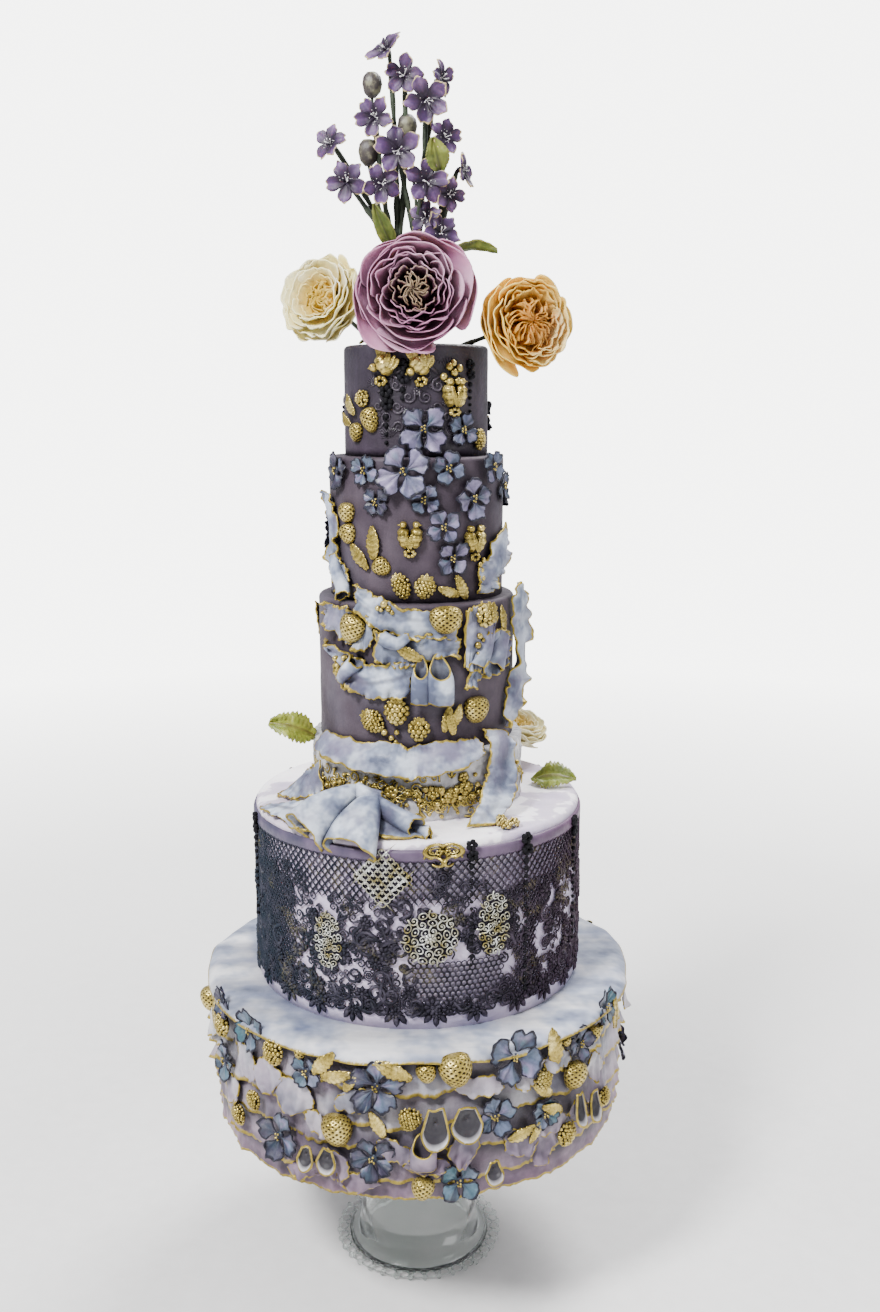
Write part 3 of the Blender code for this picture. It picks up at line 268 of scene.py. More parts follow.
giltTone = (0.5, 0.375, 0.075)
# Every crease entry below is painted shade that ambient occlusion lays into folds and hollows
finishes = {
    "glass": glassFinish(),
    "gold": goldFinish("goldLustre", {
        "tones": [(0.3, (0.26, 0.19, 0.04)), (0.5, (0.5, 0.38, 0.09)), (0.7, (0.82, 0.67, 0.25))],
        "creviceShade": (0.05, 0.03, 0.01), "rough": (0.22, 0.4), "metal": 0.75, "reach": 0.0042}),
    "silverGold": goldFinish("silverGoldLustre", {
        "tones": [(0.36, (0.34, 0.28, 0.1)), (0.5, (0.58, 0.56, 0.44)), (0.62, (0.88, 0.89, 0.86))],
        "creviceShade": (0.04, 0.035, 0.03), "rough": (0.25, 0.42), "metal": 0.75}),
    "jet": goldFinish("jetDrops", {
        "tones": [(0.3, (0.002, 0.002, 0.003)), (0.7, (0.009, 0.008, 0.012))],
        "creviceShade": (0.3, 0.3, 0.3), "rough": (0.6, 0.8), "metal": 0.0, "specular": 0.15}),
    "ruffle": sugarFinish("ruffledFondant", {
        "tones": [(0.3, (0.2, 0.21, 0.27)), (0.46, (0.42, 0.42, 0.48)), (0.62, (0.74, 0.73, 0.77))],
        "cloud": 34.0, "stroke": 45.0, "stretch": (1, 1, 0.5), "strokeDark": 0.62,
        "wash": (17.0, (0.26, 0.17, 0.28), 0.7), "rough": (0.4, 0.6), "soft": 0.05,
        # heights: darker towards the bottom, partly a pinker tone and partly painted shade on the low
        # frills; deep: painted shade at each frill's root
        "heights": (0.135, 0.235, [(0.0, (0.4, 0.26, 0.34)), (0.35, (0.62, 0.5, 0.58)),
                                   (0.75, (1, 1, 0.98))]),
        "deep": [(0.4, 0.0), (0.85, 1.0)], "deepTone": (0.014, 0.012, 0.018), "deepShare": 0.96,
        "crease": (0.022, (0.07, 0.06, 0.08), 0.85), "rim": (giltTone, 0.75, 1.0)}),
    "loop": sugarFinish("loopPaste", {
        "tones": [(0.3, (0.34, 0.32, 0.36)), (0.5, (0.58, 0.56, 0.59)), (0.7, (0.84, 0.82, 0.83))],
        "cloud": 50.0, "strokeDark": 0.65, "rough": (0.4, 0.6), "soft": 0.05,
        # deep: painted shade inside each loop, darkest near the tier
        "deep": [(0.45, 0.0), (0.95, 1.0)], "deepTone": (0.016, 0.014, 0.02), "deepShare": 0.97,
        "crease": (0.012, (0.04, 0.035, 0.045), 0.9), "rim": (giltTone, 0.75, 1.0)}),
    "ruffleTop": sugarFinish("brushedTop", {
        "tones": [(0.3, (0.15, 0.18, 0.29)), (0.46, (0.42, 0.46, 0.58)), (0.6, (0.84, 0.83, 0.86))],
        "cloud": 26.0, "stroke": 38.0, "stretch": (0.2, 1, 1), "strokeDark": 0.42,
        "wash": (30.0, (0.2, 0.23, 0.36), 0.6), "washStretch": (0.3, 1, 1),
        "rough": (0.4, 0.6), "soft": 0.05, "crease": (0.02, (0.12, 0.12, 0.16), 0.5),
        "rim": (giltTone, 0.75, 1.0)}),
    "lilac": sugarFinish("lilacFondant", {
        "tones": [(0.3, (0.6, 0.53, 0.64)), (0.7, (0.82, 0.76, 0.82))], "cloud": 30.0,
        "strokeDark": 0.85, "rough": (0.45, 0.6), "soft": 0.08,
        # heights: lifted far above white at the very top, a painted highlight on the tier's top face
        "heights": (0.26, 0.387, [(0.0, (0.92, 0.88, 1.0)), (0.8, (0.85, 0.8, 0.95)),
                                  (0.98, (0.95, 0.93, 0.98)), (1.0, (1.45, 1.5, 1.42))])}),
    "lace": sugarFinish("sugarLace", {
        "tones": [(0.32, (0.009, 0.008, 0.014)), (0.5, (0.026, 0.022, 0.036)),
                  (0.68, (0.085, 0.075, 0.105))],
        "cloud": 110.0, "sides": ((0.012, 0.03, 0.05), (0.06, 0.014, 0.04)), "spread": 0.13,
        "crease": (0.0022, (0.004, 0.003, 0.006), 0.95),
        "strokeShare": 0.5, "rough": (0.45, 0.65), "specular": 0.2, "grain": 700.0, "bump": 0.5,
        "dust": ((0.3, 0.26, 0.12), 0.55)}),
    "laceBand": sugarFinish("laceBorder", {
        "tones": [(0.3, (0.07, 0.045, 0.09)), (0.7, (0.17, 0.12, 0.2))], "cloud": 40.0,
        "sides": ((0.03, 0.05, 0.085), (0.16, 0.06, 0.13)), "spread": 0.13,
        "strokeDark": 0.6, "rough": (0.35, 0.55)}),
    "plum": sugarFinish("plumFondant", {
        "tones": [(0.3, (0.044, 0.031, 0.046)), (0.5, (0.068, 0.05, 0.068)), (0.7, (0.1, 0.078, 0.1))],
        "cloud": 24.0, "stroke": 75.0, "stretch": (1, 1, 0.1), "strokeDark": 0.74,
        "wash": (14.0, (0.12, 0.115, 0.15), 0.45), "rough": (0.5, 0.7), "sheen": 0.03, "specular": 0.25,
        "crease": (0.012, (0.012, 0.008, 0.014), 0.6),
        "bump": 0.3}),
    "damask": sugarFinish("damaskFondant", {
        "tones": [(0.3, (0.02, 0.014, 0.024)), (0.5, (0.034, 0.025, 0.04)), (0.7, (0.058, 0.043, 0.066))],
        "cloud": 30.0, "stroke": 80.0, "stretch": (1, 1, 0.08), "strokeDark": 0.55,
        "heights": (0.65, 0.727, [(0.0, (1.15, 1.05, 1.1)), (0.6, (1, 1, 1)), (1.0, (0.6, 0.6, 0.65))]),
        "crease": (0.004, (0.004, 0.003, 0.006), 0.9), "rough": (0.4, 0.6), "specular": 0.4,
        "bump": 0.4}),
    "relief": sugarFinish("damaskRelief", {
        "tones": [(0.3, (0.032, 0.024, 0.038)), (0.5, (0.06, 0.046, 0.066)), (0.7, (0.1, 0.08, 0.11))],
        "cloud": 60.0, "stroke": 80.0, "strokeDark": 0.55, "crease": (0.003, (0.006, 0.004, 0.008), 0.85),
        "rough": (0.3, 0.5), "specular": 0.5, "bump": 0.4}),
    "drape": sugarFinish("drapedFondant", {
        "tones": [(0.36, (0.1, 0.12, 0.2)), (0.49, (0.3, 0.35, 0.48)), (0.6, (0.7, 0.77, 0.89))],
        # deep: painted shade in the valleys between pleats and inside the bow loops
        "deep": [(0.3, 0.0), (1.0, 1.0)], "deepTone": (0.09, 0.09, 0.13), "deepShare": 0.7,
        "cloud": 42.0, "stroke": 55.0, "stretch": (0.3, 0.3, 1), "strokeDark": 0.5,
        "wash": (22.0, (0.2, 0.165, 0.26), 0.65), "rough": (0.4, 0.58), "soft": 0.04,
        "crease": (0.03, (0.035, 0.035, 0.055), 0.95), "rim": (giltTone, 0.75, 1.0)}),
    "blossom": sugarFinish("sugarBlossom", {
        "tones": [(0.34, (0.04, 0.04, 0.07)), (0.5, (0.15, 0.15, 0.22)), (0.64, (0.45, 0.46, 0.54))],
        "cloud": 110.0,
        "tints": [(0.0, (0.01, 0.009, 0.018)), (0.18, (0.05, 0.036, 0.07)), (0.4, (0.08, 0.12, 0.18)),
                  (0.55, (0.14, 0.155, 0.27)), (0.75, (0.25, 0.2, 0.34)), (1.0, (0.035, 0.13, 0.16))],
                  "tintShare": 0.84,
        "deep": [(0.12, 0.0), (0.5, 0.4), (0.95, 1.0)], "deepTone": (0.014, 0.018, 0.04),
        "deepShare": 0.82,
        "stroke": 130.0, "stretch": (1, 1, 1), "strokeDark": 0.5, "strokeLight": 1.45,
        "strokeShare": 0.85,
        "wash": (70.0, (0.035, 0.085, 0.11), 0.35), "rough": (0.35, 0.55),
        "crease": (0.006, (0.012, 0.012, 0.024), 0.75), "rim": ((0.012, 0.011, 0.024), 0.0, 0.97)}),
    "mauve": sugarFinish("mauvePetal", {
        "tones": [(0.3, (0.42, 0.15, 0.3)), (0.5, (0.56, 0.25, 0.41)), (0.7, (0.68, 0.4, 0.54))],
        "crease": (0.007, (0.06, 0.02, 0.03), 0.8),
        "cloud": 25.0, "strokeDark": 0.9, "rough": (0.5, 0.7), "soft": 0.12,
        "deep": [(0.28, 1.0), (0.97, 0.0)], "deepTone": (0.04, 0.01, 0.016), "deepShare": 0.96,
        "rim": ((0.4, 0.29, 0.16), 0.0, 0.8)}),
    "cream": sugarFinish("creamPetal", {
        "tones": [(0.3, (0.93, 0.81, 0.33)), (0.5, (0.99, 0.92, 0.5)), (0.7, (1.0, 0.98, 0.77))],
        "cloud": 25.0, "strokeDark": 0.9, "rough": (0.5, 0.7), "soft": 0.15,
        "crease": (0.005, (0.6, 0.44, 0.1), 0.5),
        "deep": [(0.25, 1.0), (0.9, 0.0)], "deepTone": (0.62, 0.38, 0.006), "deepShare": 1.0,
        "rim": ((0.62, 0.4, 0.05), 0.0, 0.6)}),
    "peach": sugarFinish("peachPetal", {
        "tones": [(0.3, (0.96, 0.52, 0.06)), (0.5, (1.0, 0.7, 0.15)), (0.7, (1.0, 0.84, 0.42))],
        "cloud": 25.0, "strokeDark": 0.88, "rough": (0.5, 0.7), "soft": 0.15,
        "crease": (0.005, (0.6, 0.22, 0.01), 0.6),
        "deep": [(0.18, 1.0), (0.95, 0.0)], "deepTone": (0.3, 0.075, 0.002), "deepShare": 1.0,
        "rim": ((0.72, 0.32, 0.03), 0.0, 0.6)}),
    "violet": sugarFinish("violetPetal", {
        "tones": [(0.3, (0.05, 0.022, 0.085)), (0.5, (0.11, 0.052, 0.17)), (0.7, (0.28, 0.16, 0.36))],
        "cloud": 90.0, "strokeDark": 0.75, "rough": (0.45, 0.65), "soft": 0.06,
        "deep": [(0.3, 1.0), (0.85, 0.0)], "deepTone": (0.012, 0.004, 0.018), "deepShare": 1.0,
        "rim": ((0.66, 0.52, 0.25), 0.0, 0.9)}),
    "bud": sugarFinish("budSkin", {
        "tones": [(0.36, (0.035, 0.026, 0.028)), (0.5, (0.06, 0.05, 0.045)), (0.62, (0.2, 0.19, 0.12))],
        "cloud": 120.0, "strokeDark": 0.75, "rough": (0.4, 0.6)}),
    "leaf": sugarFinish("greenLeaf", {
        "tones": [(0.3, (0.09, 0.13, 0.014)), (0.5, (0.24, 0.29, 0.03)), (0.7, (0.48, 0.52, 0.08))],
        "cloud": 55.0, "strokeDark": 0.75, "wash": (40.0, (0.09, 0.035, 0.02), 0.45),
        "rough": (0.35, 0.55),
        "deep": [(0.0, 1.0), (0.2, 0.0)], "deepTone": (0.1, 0.05, 0.02), "deepShare": 0.6,
        "specular": 0.5, "soft": 0.05, "rim": ((0.42, 0.4, 0.1), 0.0, 0.5)}),
    "topLeaf": sugarFinish("darkGreenLeaf", {
        "tones": [(0.3, (0.035, 0.06, 0.008)), (0.5, (0.095, 0.13, 0.016)), (0.7, (0.25, 0.28, 0.045))],
        "cloud": 55.0, "strokeDark": 0.6, "wash": (40.0, (0.06, 0.03, 0.02), 0.5), "rough": (0.35, 0.55),
        "deep": [(0.0, 1.0), (0.2, 0.0)], "deepTone": (0.03, 0.03, 0.01), "deepShare": 0.7,
        "specular": 0.4, "soft": 0.03, "rim": ((0.3, 0.3, 0.08), 0.0, 0.5)}),
    "stem": sugarFinish("darkStem", {
        "tones": [(0.3, (0.018, 0.026, 0.016)), (0.7, (0.05, 0.07, 0.04))], "cloud": 150.0,
        "strokeDark": 0.6, "rough": (0.45, 0.65), "bump": 0.5}),
    "crumple": sugarFinish("silverCrumple", {
        "tones": [(0.3, (0.4, 0.4, 0.43)), (0.7, (0.75, 0.74, 0.76))], "cloud": 80.0,
        "strokeDark": 0.55, "rough": (0.2, 0.4), "specular": 0.7, "bump": 0.5, "grain": 240.0,
        "dust": ((0.5, 0.42, 0.2), 0.6)}),
    "white": sugarFinish("whitePearl", {
        "tones": [(0.3, (0.75, 0.73, 0.75)), (0.7, (0.88, 0.87, 0.87))], "rough": (0.4, 0.5)}),
}
print("finishes mixed:", len(finishes))

# Shapes in millimetres: every part is points, quads, triangles and its marks

markNames = ("rim", "deep", "tint")


def part(points, quads=None, triangles=None, **marks):
    points = np.asarray(points, float).reshape(-1, 3)
    made = {"points": points,
            "quads": np.asarray(quads if quads is not None else [], int).reshape(-1, 4),
            "triangles": np.asarray(triangles if triangles is not None else [], int).reshape(-1, 3)}
    for name in markNames:
        value = marks.get(name, 0.0)
        made[name] = np.broadcast_to(np.asarray(value, float).reshape(-1), (len(points),)).copy()
    return made


def moved(piece, change):
    made = dict(piece)
    made["points"] = change(piece["points"])
    return made


def around(azimuth, height, radius):
    a = np.radians(azimuth)
    return np.stack([radius * np.sin(a), -radius * np.cos(a), height + 0 * a], -1)


def spun(points, spin=0.0, lean=0.0, swing=0.0):
    s, c = math.sin(math.radians(spin)), math.cos(math.radians(spin))
    roll = np.array([[c, -s, 0], [s, c, 0], [0, 0, 1]])
    s, c = math.sin(math.radians(-lean)), math.cos(math.radians(-lean))
    tip = np.array([[1, 0, 0], [0, c, -s], [0, s, c]])
    s, c = math.sin(math.radians(swing)), math.cos(math.radians(swing))
    yaw = np.array([[c, 0, s], [0, 1, 0], [-s, 0, c]])
    return points @ (yaw @ tip @ roll).T


def onTier(piece, azimuth, height, radius, spin=0.0, lean=0.0, swing=0.0):
    # Local x runs right, y up and z out, wrapped on the tier's side
    def change(points):
        p = spun(points, spin, lean, swing)
        return around(azimuth + np.degrees(p[:, 0] / radius), height + p[:, 1], radius + p[:, 2])
    return moved(piece, change)


def aimed(piece, place, direction, spin=0.0):
    turn = np.array(Vector(direction).to_track_quat("Z", "Y").to_matrix())
    return moved(piece, lambda points: spun(points, spin) @ turn.T + np.asarray(place, float))


def waves(x, seed, counts, drop=0.6):
    # A smooth made-up wobble of the given counts a turn, seamless where x runs over a full turn
    draw = random.Random(seed)
    total, size = 0.0, 1.0
    for count in counts:
        total = total + size * np.sin(count * x + draw.uniform(0, fullTurn))
        size *= drop
    return total


def sheetPart(grid, thick, ring=False, **marks):
    # A sheet of points (rows, columns, 3) as a closed thin solid
    rows, columns = grid.shape[:2]
    if ring:
        across = np.roll(grid, -1, 1) - np.roll(grid, 1, 1)
    else:
        across = np.gradient(grid, axis=1)
    along = np.gradient(grid, axis=0)
    normal = np.cross(across, along)
    normal /= np.maximum(np.linalg.norm(normal, axis=2, keepdims=True), 1e-9)
    half = 0.5 * np.asarray(thick, float)
    if half.ndim:
        half = half[..., None]
    points = np.concatenate([(grid + normal * half).reshape(-1, 3),
                             (grid - normal * half).reshape(-1, 3)])
    count = rows * columns
    index = np.arange(count).reshape(rows, columns)
    if ring:
        index = np.concatenate([index, index[:, :1]], 1)
    a, b, c, d = index[:-1, :-1], index[:-1, 1:], index[1:, 1:], index[1:, :-1]
    front = np.stack([a, d, c, b], -1).reshape(-1, 4)
    quads = [front, front[:, ::-1] + count]
    rims = [index[0], index[-1][::-1]]
    if not ring:
        rims += [index[::-1, 0], index[:, -1]]
    for rim in rims:
        quads.append(np.stack([rim[:-1], rim[1:], rim[1:] + count, rim[:-1] + count], -1))
    doubled = {k: np.concatenate([np.asarray(v).reshape(-1)] * 2) for k, v in marks.items() if np.ndim(v)}
    doubled.update({k: v for k, v in marks.items() if not np.ndim(v)})
    return part(points, np.concatenate(quads), **doubled)


def lathePart(profile, sides, **marks):
    # Turned from (radius, height) points; an end on the axis is closed to one point
    profile = [(float(r), float(h)) for r, h in profile]
    angle = np.arange(sides) * fullTurn / sides
    points, quads, triangles, previous = [], [], [], None
    step = np.arange(sides)
    after = (step + 1) % sides
    count = 0
    for r, h in profile:
        if r < 1e-6:
            points.append(np.array([[0, 0, h]]))
            ring = np.full(sides, count)
            count += 1
        else:
            points.append(np.stack([r * np.cos(angle), r * np.sin(angle), 0 * angle + h], -1))
            ring = count + step
            count += sides
        if previous is not None:
            flatLow, flatHigh = previous[0] == previous[-1], ring[0] == ring[-1]
            if flatLow:
                triangles.append(np.stack([previous, ring[after], ring[step]], -1))
            elif flatHigh:
                triangles.append(np.stack([previous[step], previous[after], ring], -1))
            else:
                quads.append(np.stack([previous[step], previous[after], ring[after], ring[step]], -1))
        previous = ring
    return part(np.concatenate(points), np.concatenate(quads) if quads else None,
                np.concatenate(triangles) if triangles else None, **marks)


def tubePart(path, radius, sides=6, **marks):
    path = np.asarray(path, float)
    count = len(path)
    radius = np.broadcast_to(np.asarray(radius, float), (count,))
    ahead = np.gradient(path, axis=0)
    ahead /= np.maximum(np.linalg.norm(ahead, axis=1, keepdims=True), 1e-9)
    side = np.cross(ahead, np.array([0.13, 0.21, 0.97]))
    side /= np.maximum(np.linalg.norm(side, axis=1, keepdims=True), 1e-9)
    up = np.cross(side, ahead)
    angle = np.arange(sides) * fullTurn / sides
    points = (path[:, None] + radius[:, None, None] * (side[:, None] * np.cos(angle)[None, :, None]
              + up[:, None] * np.sin(angle)[None, :, None])).reshape(-1, 3)
    points = np.concatenate([points, path[:1] - ahead[:1] * radius[0] * 0.5,
                             path[-1:] + ahead[-1:] * radius[-1] * 0.5])
    step = np.arange(sides)
    after = (step + 1) % sides
    quads = [np.stack([k * sides + step, k * sides + after, (k + 1) * sides + after,
                       (k + 1) * sides + step], -1)
             for k in range(count - 1)]
    tip = count * sides
    last = (count - 1) * sides
    triangles = [np.stack([after, step, 0 * step + tip], -1),
                 np.stack([last + step, last + after, 0 * step + tip + 1], -1)]
    return part(points, np.concatenate(quads), np.concatenate(triangles), **marks)


def joined(parts):
    points, quads, triangles, offset = [], [], [], 0
    for piece in parts:
        points.append(piece["points"])
        quads.append(piece["quads"] + offset)
        triangles.append(piece["triangles"] + offset)
        offset += len(piece["points"])
    made = part(np.concatenate(points), np.concatenate(quads), np.concatenate(triangles))
    for name in markNames:
        made[name] = np.concatenate([piece[name] for piece in parts])
    return made


def meshFrom(name, parts, material=None):
    whole = joined(parts)
    mesh = bpy.data.meshes.new(name)
    mesh.from_pydata((whole["points"] * mm).tolist(), [],
                     whole["quads"].tolist() + whole["triangles"].tolist())
    for mark in markNames:
        mesh.attributes.new(mark, "FLOAT", "POINT").data.foreach_set("value",
            whole[mark].astype(np.float32))
    if material:
        mesh.materials.append(finishes[material])
    bm = bmesh.new()
    bm.from_mesh(mesh)
    bmesh.ops.recalc_face_normals(bm, faces=bm.faces)
    for face in bm.faces:
        face.smooth = True
    bm.to_mesh(mesh)
    bm.free()
    return mesh


def addToCake(piece, slot, *nodes):
    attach(piece, "root")
    if nodes:
        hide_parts(*nodes)
    return piece


def makePiece(name, parts, material, slot, *nodes):
    piece = bpy.data.objects.new(name, meshFrom(name, parts, material))
    bpy.context.scene.collection.objects.link(piece)
    return addToCake(piece, slot, *nodes)


# Node trees

# Sets a motif on every point, turned and sized by the points' own values, then wraps it on a tier
wrapTree, start, end = newTree("motifsOnTier", [
    ("Motif", "Object"), ("Motif size", "Float"), ("Wrap radius", "Float"), ("Material", "Material")])
wrapNode = partial(wire, wrapTree)
wrapCalc = partial(calc, wrapTree)
turnValue = wrapNode("GeometryNodeInputNamedAttribute", {"data_type": "FLOAT_VECTOR"}, {"Name": "turn"})
sizeValue = wrapNode("GeometryNodeInputNamedAttribute", {"data_type": "FLOAT_VECTOR"}, {"Name": "size"})
turnValue = wrapNode("FunctionNodeEulerToRotation", None, {0: turnValue})
sizeValue = wrapNode("ShaderNodeVectorMath", {"operation": "SCALE"},
                     {0: sizeValue, "Scale": start.outputs["Motif size"]})
motif = wrapNode("GeometryNodeObjectInfo", None, {"Object": start.outputs["Motif"]})
placed = wrapNode("GeometryNodeInstanceOnPoints", None, {
    "Points": start.outputs["Geometry"], "Instance": motif.outputs["Geometry"],
    "Rotation": turnValue, "Scale": sizeValue})
placed = wrapNode("GeometryNodeRealizeInstances", None, {0: placed})
flat = wrapNode("ShaderNodeSeparateXYZ", None, {0: wrapNode("GeometryNodeInputPosition")})
radius = start.outputs["Wrap radius"]
angle = wrapCalc("DIVIDE", flat.outputs[0], wrapCalc("MAXIMUM", radius, 0.001))
reach = wrapCalc("ADD", radius, flat.outputs[2])
bent = wrapNode("ShaderNodeCombineXYZ", None, {
    0: wrapCalc("MULTIPLY", reach, wrapCalc("SINE", angle)),
    1: wrapCalc("MULTIPLY", reach, wrapCalc("MULTIPLY", wrapCalc("COSINE", angle), -1.0)),
    2: flat.outputs[1]})
wraps = wrapNode("FunctionNodeCompare", {"operation": "GREATER_THAN"}, {0: radius, 1: 0.0})
placed = wrapNode("GeometryNodeSetPosition", None,
                  {"Geometry": placed, "Selection": wraps, "Position": bent})
placed = wrapNode("GeometryNodeSetShadeSmooth", None, {0: placed})
placed = wrapNode("GeometryNodeSetMaterial", None,
                  {"Geometry": placed, "Material": start.outputs["Material"]})
wrapTree.links.new(placed.outputs[0], end.inputs[0])

# A frill round a tier: a sheet that hangs from a ring and waves away from it, torn along its lower edge
frillTree, start, end = newTree("frillRow", [
    ("Radius", "Float"), ("Height", "Float"), ("Drop", "Float"), ("Stand out", "Float"),
    ("Waviness", "Float"),
    ("Tear", "Float"), ("Thickness", "Float"), ("Columns", "Int"), ("Seed", "Float"),
    ("Material", "Material")])
frillNode = partial(wire, frillTree)
frillCalc = partial(calc, frillTree)
sheet = frillNode("GeometryNodeMeshGrid", None, {
    "Size X": 1.0, "Size Y": 1.0, "Vertices X": start.outputs["Columns"], "Vertices Y": 9})
spots = frillNode("ShaderNodeSeparateXYZ", None, {0: frillNode("GeometryNodeInputPosition")})
down = frillCalc("ADD", spots.outputs[1], 0.5)
turn = frillCalc("MULTIPLY", spots.outputs[0], fullTurn)


def frillNoise(scale, lift, detail=2.0):
    spot = frillNode("ShaderNodeCombineXYZ", None, {
        0: frillCalc("MULTIPLY", frillCalc("SINE", turn), scale),
        1: frillCalc("MULTIPLY", frillCalc("COSINE", turn), scale),
        2: frillCalc("ADD", start.outputs["Seed"], lift)})
    fac = frillNode("ShaderNodeTexNoise", None,
                    {"Vector": spot, "Scale": 1.0, "Detail": detail}).outputs[0]
    return frillCalc("MULTIPLY", frillCalc("SUBTRACT", fac, 0.5), 2.0)


fall = frillCalc("MULTIPLY", start.outputs["Waviness"], frillNoise(3.5, 0.0))
torn = frillCalc("MULTIPLY", start.outputs["Tear"], frillNoise(30.0, 3.0, 4.0))
edgeShare = frillCalc("POWER", down, 3.0)
low = frillCalc("MULTIPLY", down, frillCalc("ADD", start.outputs["Drop"], fall))
level = frillCalc("SUBTRACT", start.outputs["Height"],
                  frillCalc("ADD", low, frillCalc("MULTIPLY", torn, edgeShare)))
flare = frillCalc("ADD", 0.45, frillCalc("MULTIPLY", frillNoise(6.0, 7.0), 2.0))
flare = frillCalc("ADD", flare, frillCalc("MULTIPLY", frillNoise(15.0, 9.0), 1.1))
flare = frillCalc("MAXIMUM", flare, 0.02)
reach = frillCalc("MULTIPLY", frillCalc("POWER", down, 1.7),
                  frillCalc("MULTIPLY", flare, start.outputs["Stand out"]))
reach = frillCalc("ADD", start.outputs["Radius"], reach)
bent = frillNode("ShaderNodeCombineXYZ", None, {
    0: frillCalc("MULTIPLY", reach, frillCalc("SINE", turn)),
    1: frillCalc("MULTIPLY", reach, frillCalc("MULTIPLY", frillCalc("COSINE", turn), -1.0)),
    2: level})
gilt = frillNode("ShaderNodeMapRange", None, {0: down, 1: 0.86, 2: 0.98}).outputs[0]
sheet = frillNode("GeometryNodeStoreNamedAttribute", {"data_type": "FLOAT", "domain": "POINT"}, {
    "Geometry": sheet, "Name": "rim", "Value": gilt})
# deep is painted shade, darkest at the frill's root, under the frill above
sheet = frillNode("GeometryNodeStoreNamedAttribute", {"data_type": "FLOAT", "domain": "POINT"}, {
    "Geometry": sheet, "Name": "deep", "Value": frillCalc("SUBTRACT", 1.0, down)})
sheet = frillNode("GeometryNodeSetPosition", None, {"Geometry": sheet, "Position": bent})
sheet = frillNode("GeometryNodeMergeByDistance", None, {"Geometry": sheet, "Distance": 0.00001})
outer = frillNode("GeometryNodeExtrudeMesh", None,
                  {"Mesh": sheet, "Offset Scale": start.outputs["Thickness"], "Individual": False})
inner = frillNode("GeometryNodeFlipFaces", None, {0: sheet})
both = frillNode("GeometryNodeJoinGeometry")
frillTree.links.new(inner.outputs[0], both.inputs[0])
frillTree.links.new(outer.outputs[0], both.inputs[0])
both = frillNode("GeometryNodeMergeByDistance", None, {"Geometry": both, "Distance": 0.00001})
both = frillNode("GeometryNodeSetShadeSmooth", None, {0: both})
both = frillNode("GeometryNodeRealizeInstances", None, {0: both})
both = frillNode("GeometryNodeSetMaterial", None,
                 {"Geometry": both, "Material": start.outputs["Material"]})
frillTree.links.new(both.outputs[0], end.inputs[0])

motifObjects = {}


def keepMotif(name, parts):
    # A small shape in millimetres about its own origin, kept out of the picture
    piece = bpy.data.objects.new("motif_" + name, meshFrom("motif_" + name, parts))
    motifObjects[name] = piece


def scatter(name, motifName, rows, material, slot, wrapRadius=0.0, *nodes):
    # rows: (x, y, z, turn about x, y, z in degrees, size or three sizes), in millimetres
    mesh = bpy.data.meshes.new(name)
    mesh.from_pydata([(r[0] * mm, r[1] * mm, r[2] * mm) for r in rows], [], [])
    turns = np.radians(np.array([r[3] for r in rows], float))
    sizes = np.array([r[4] if hasattr(r[4], "__len__") else (r[4],) * 3 for r in rows], float)
    mesh.attributes.new("turn", "FLOAT_VECTOR", "POINT").data.foreach_set("vector", turns.reshape(-1))
    mesh.attributes.new("size", "FLOAT_VECTOR", "POINT").data.foreach_set("vector", sizes.reshape(-1))
    piece = grow(name, mesh, wrapTree, {
        "Motif": motifObjects[motifName], "Motif size": 1.0, "Wrap radius": wrapRadius * mm,
        "Material": finishes[material]})
    return addToCake(piece, slot, *nodes) if slot else piece


# Camera, floor and lights

view = {"place": (0.0179, -0.972, 0.683), "tip": 79.0, "lens": 35.12}
camera = bpy.data.objects.new("camera", bpy.data.cameras.new("camera"))
camera.data.sensor_width = 36.0
camera.data.lens = view["lens"]
camera.data.clip_start = 0.02
camera.location = view["place"]
camera.rotation_euler = (math.radians(view["tip"]), 0, 0)
bpy.context.scene.collection.objects.link(camera)
bpy.context.scene.camera = camera

floorMaterial = sugarFinish("paleFloor", {
    "tones": [(0.3, (0.84, 0.83, 0.82)), (0.7, (0.88, 0.87, 0.86))], "cloud": 3.0, "strokeDark": 0.98,
    "rough": (0.55, 0.65), "bump": 0.05})
floorMesh = bpy.data.meshes.new("floor")
floorSteps = 64
floorMesh.from_pydata([(30 * math.cos(fullTurn * k / floorSteps),
                        30 * math.sin(fullTurn * k / floorSteps), 0)
                       for k in range(floorSteps)], [], [list(range(floorSteps))])
floorTree = floorMaterial.node_tree        # far from the cake the floor fades into the backdrop
floorPlace = wire(floorTree, "ShaderNodeTexCoord").outputs["Object"]
away = wire(floorTree, "ShaderNodeVectorMath", {"operation": "LENGTH"}, {0: floorPlace}).outputs["Value"]
away = rampOf(floorTree, calc(floorTree, "MULTIPLY", away, 0.25),
              [(0.1, grey(0)), (0.25, grey(0.2)), (0.6, grey(1))])
away = calc(floorTree, "MULTIPLY", away, wire(floorTree, "ShaderNodeLightPath").outputs["Is Camera Ray"])
glow = wire(floorTree, "ShaderNodeEmission", None, {"Color": (1.0, 1.0, 0.985, 1), "Strength": 6.0})
faded = wire(floorTree, "ShaderNodeMixShader", None,
             {0: away, 1: floorTree.nodes["Principled BSDF"].outputs[0], 2: glow.outputs[0]})
floorTree.links.new(faded.outputs[0], floorTree.nodes["Material Output"].inputs["Surface"])
floorMesh.materials.append(floorMaterial)
floor = bpy.data.objects.new("floor", floorMesh)
bpy.context.scene.collection.objects.link(floor)

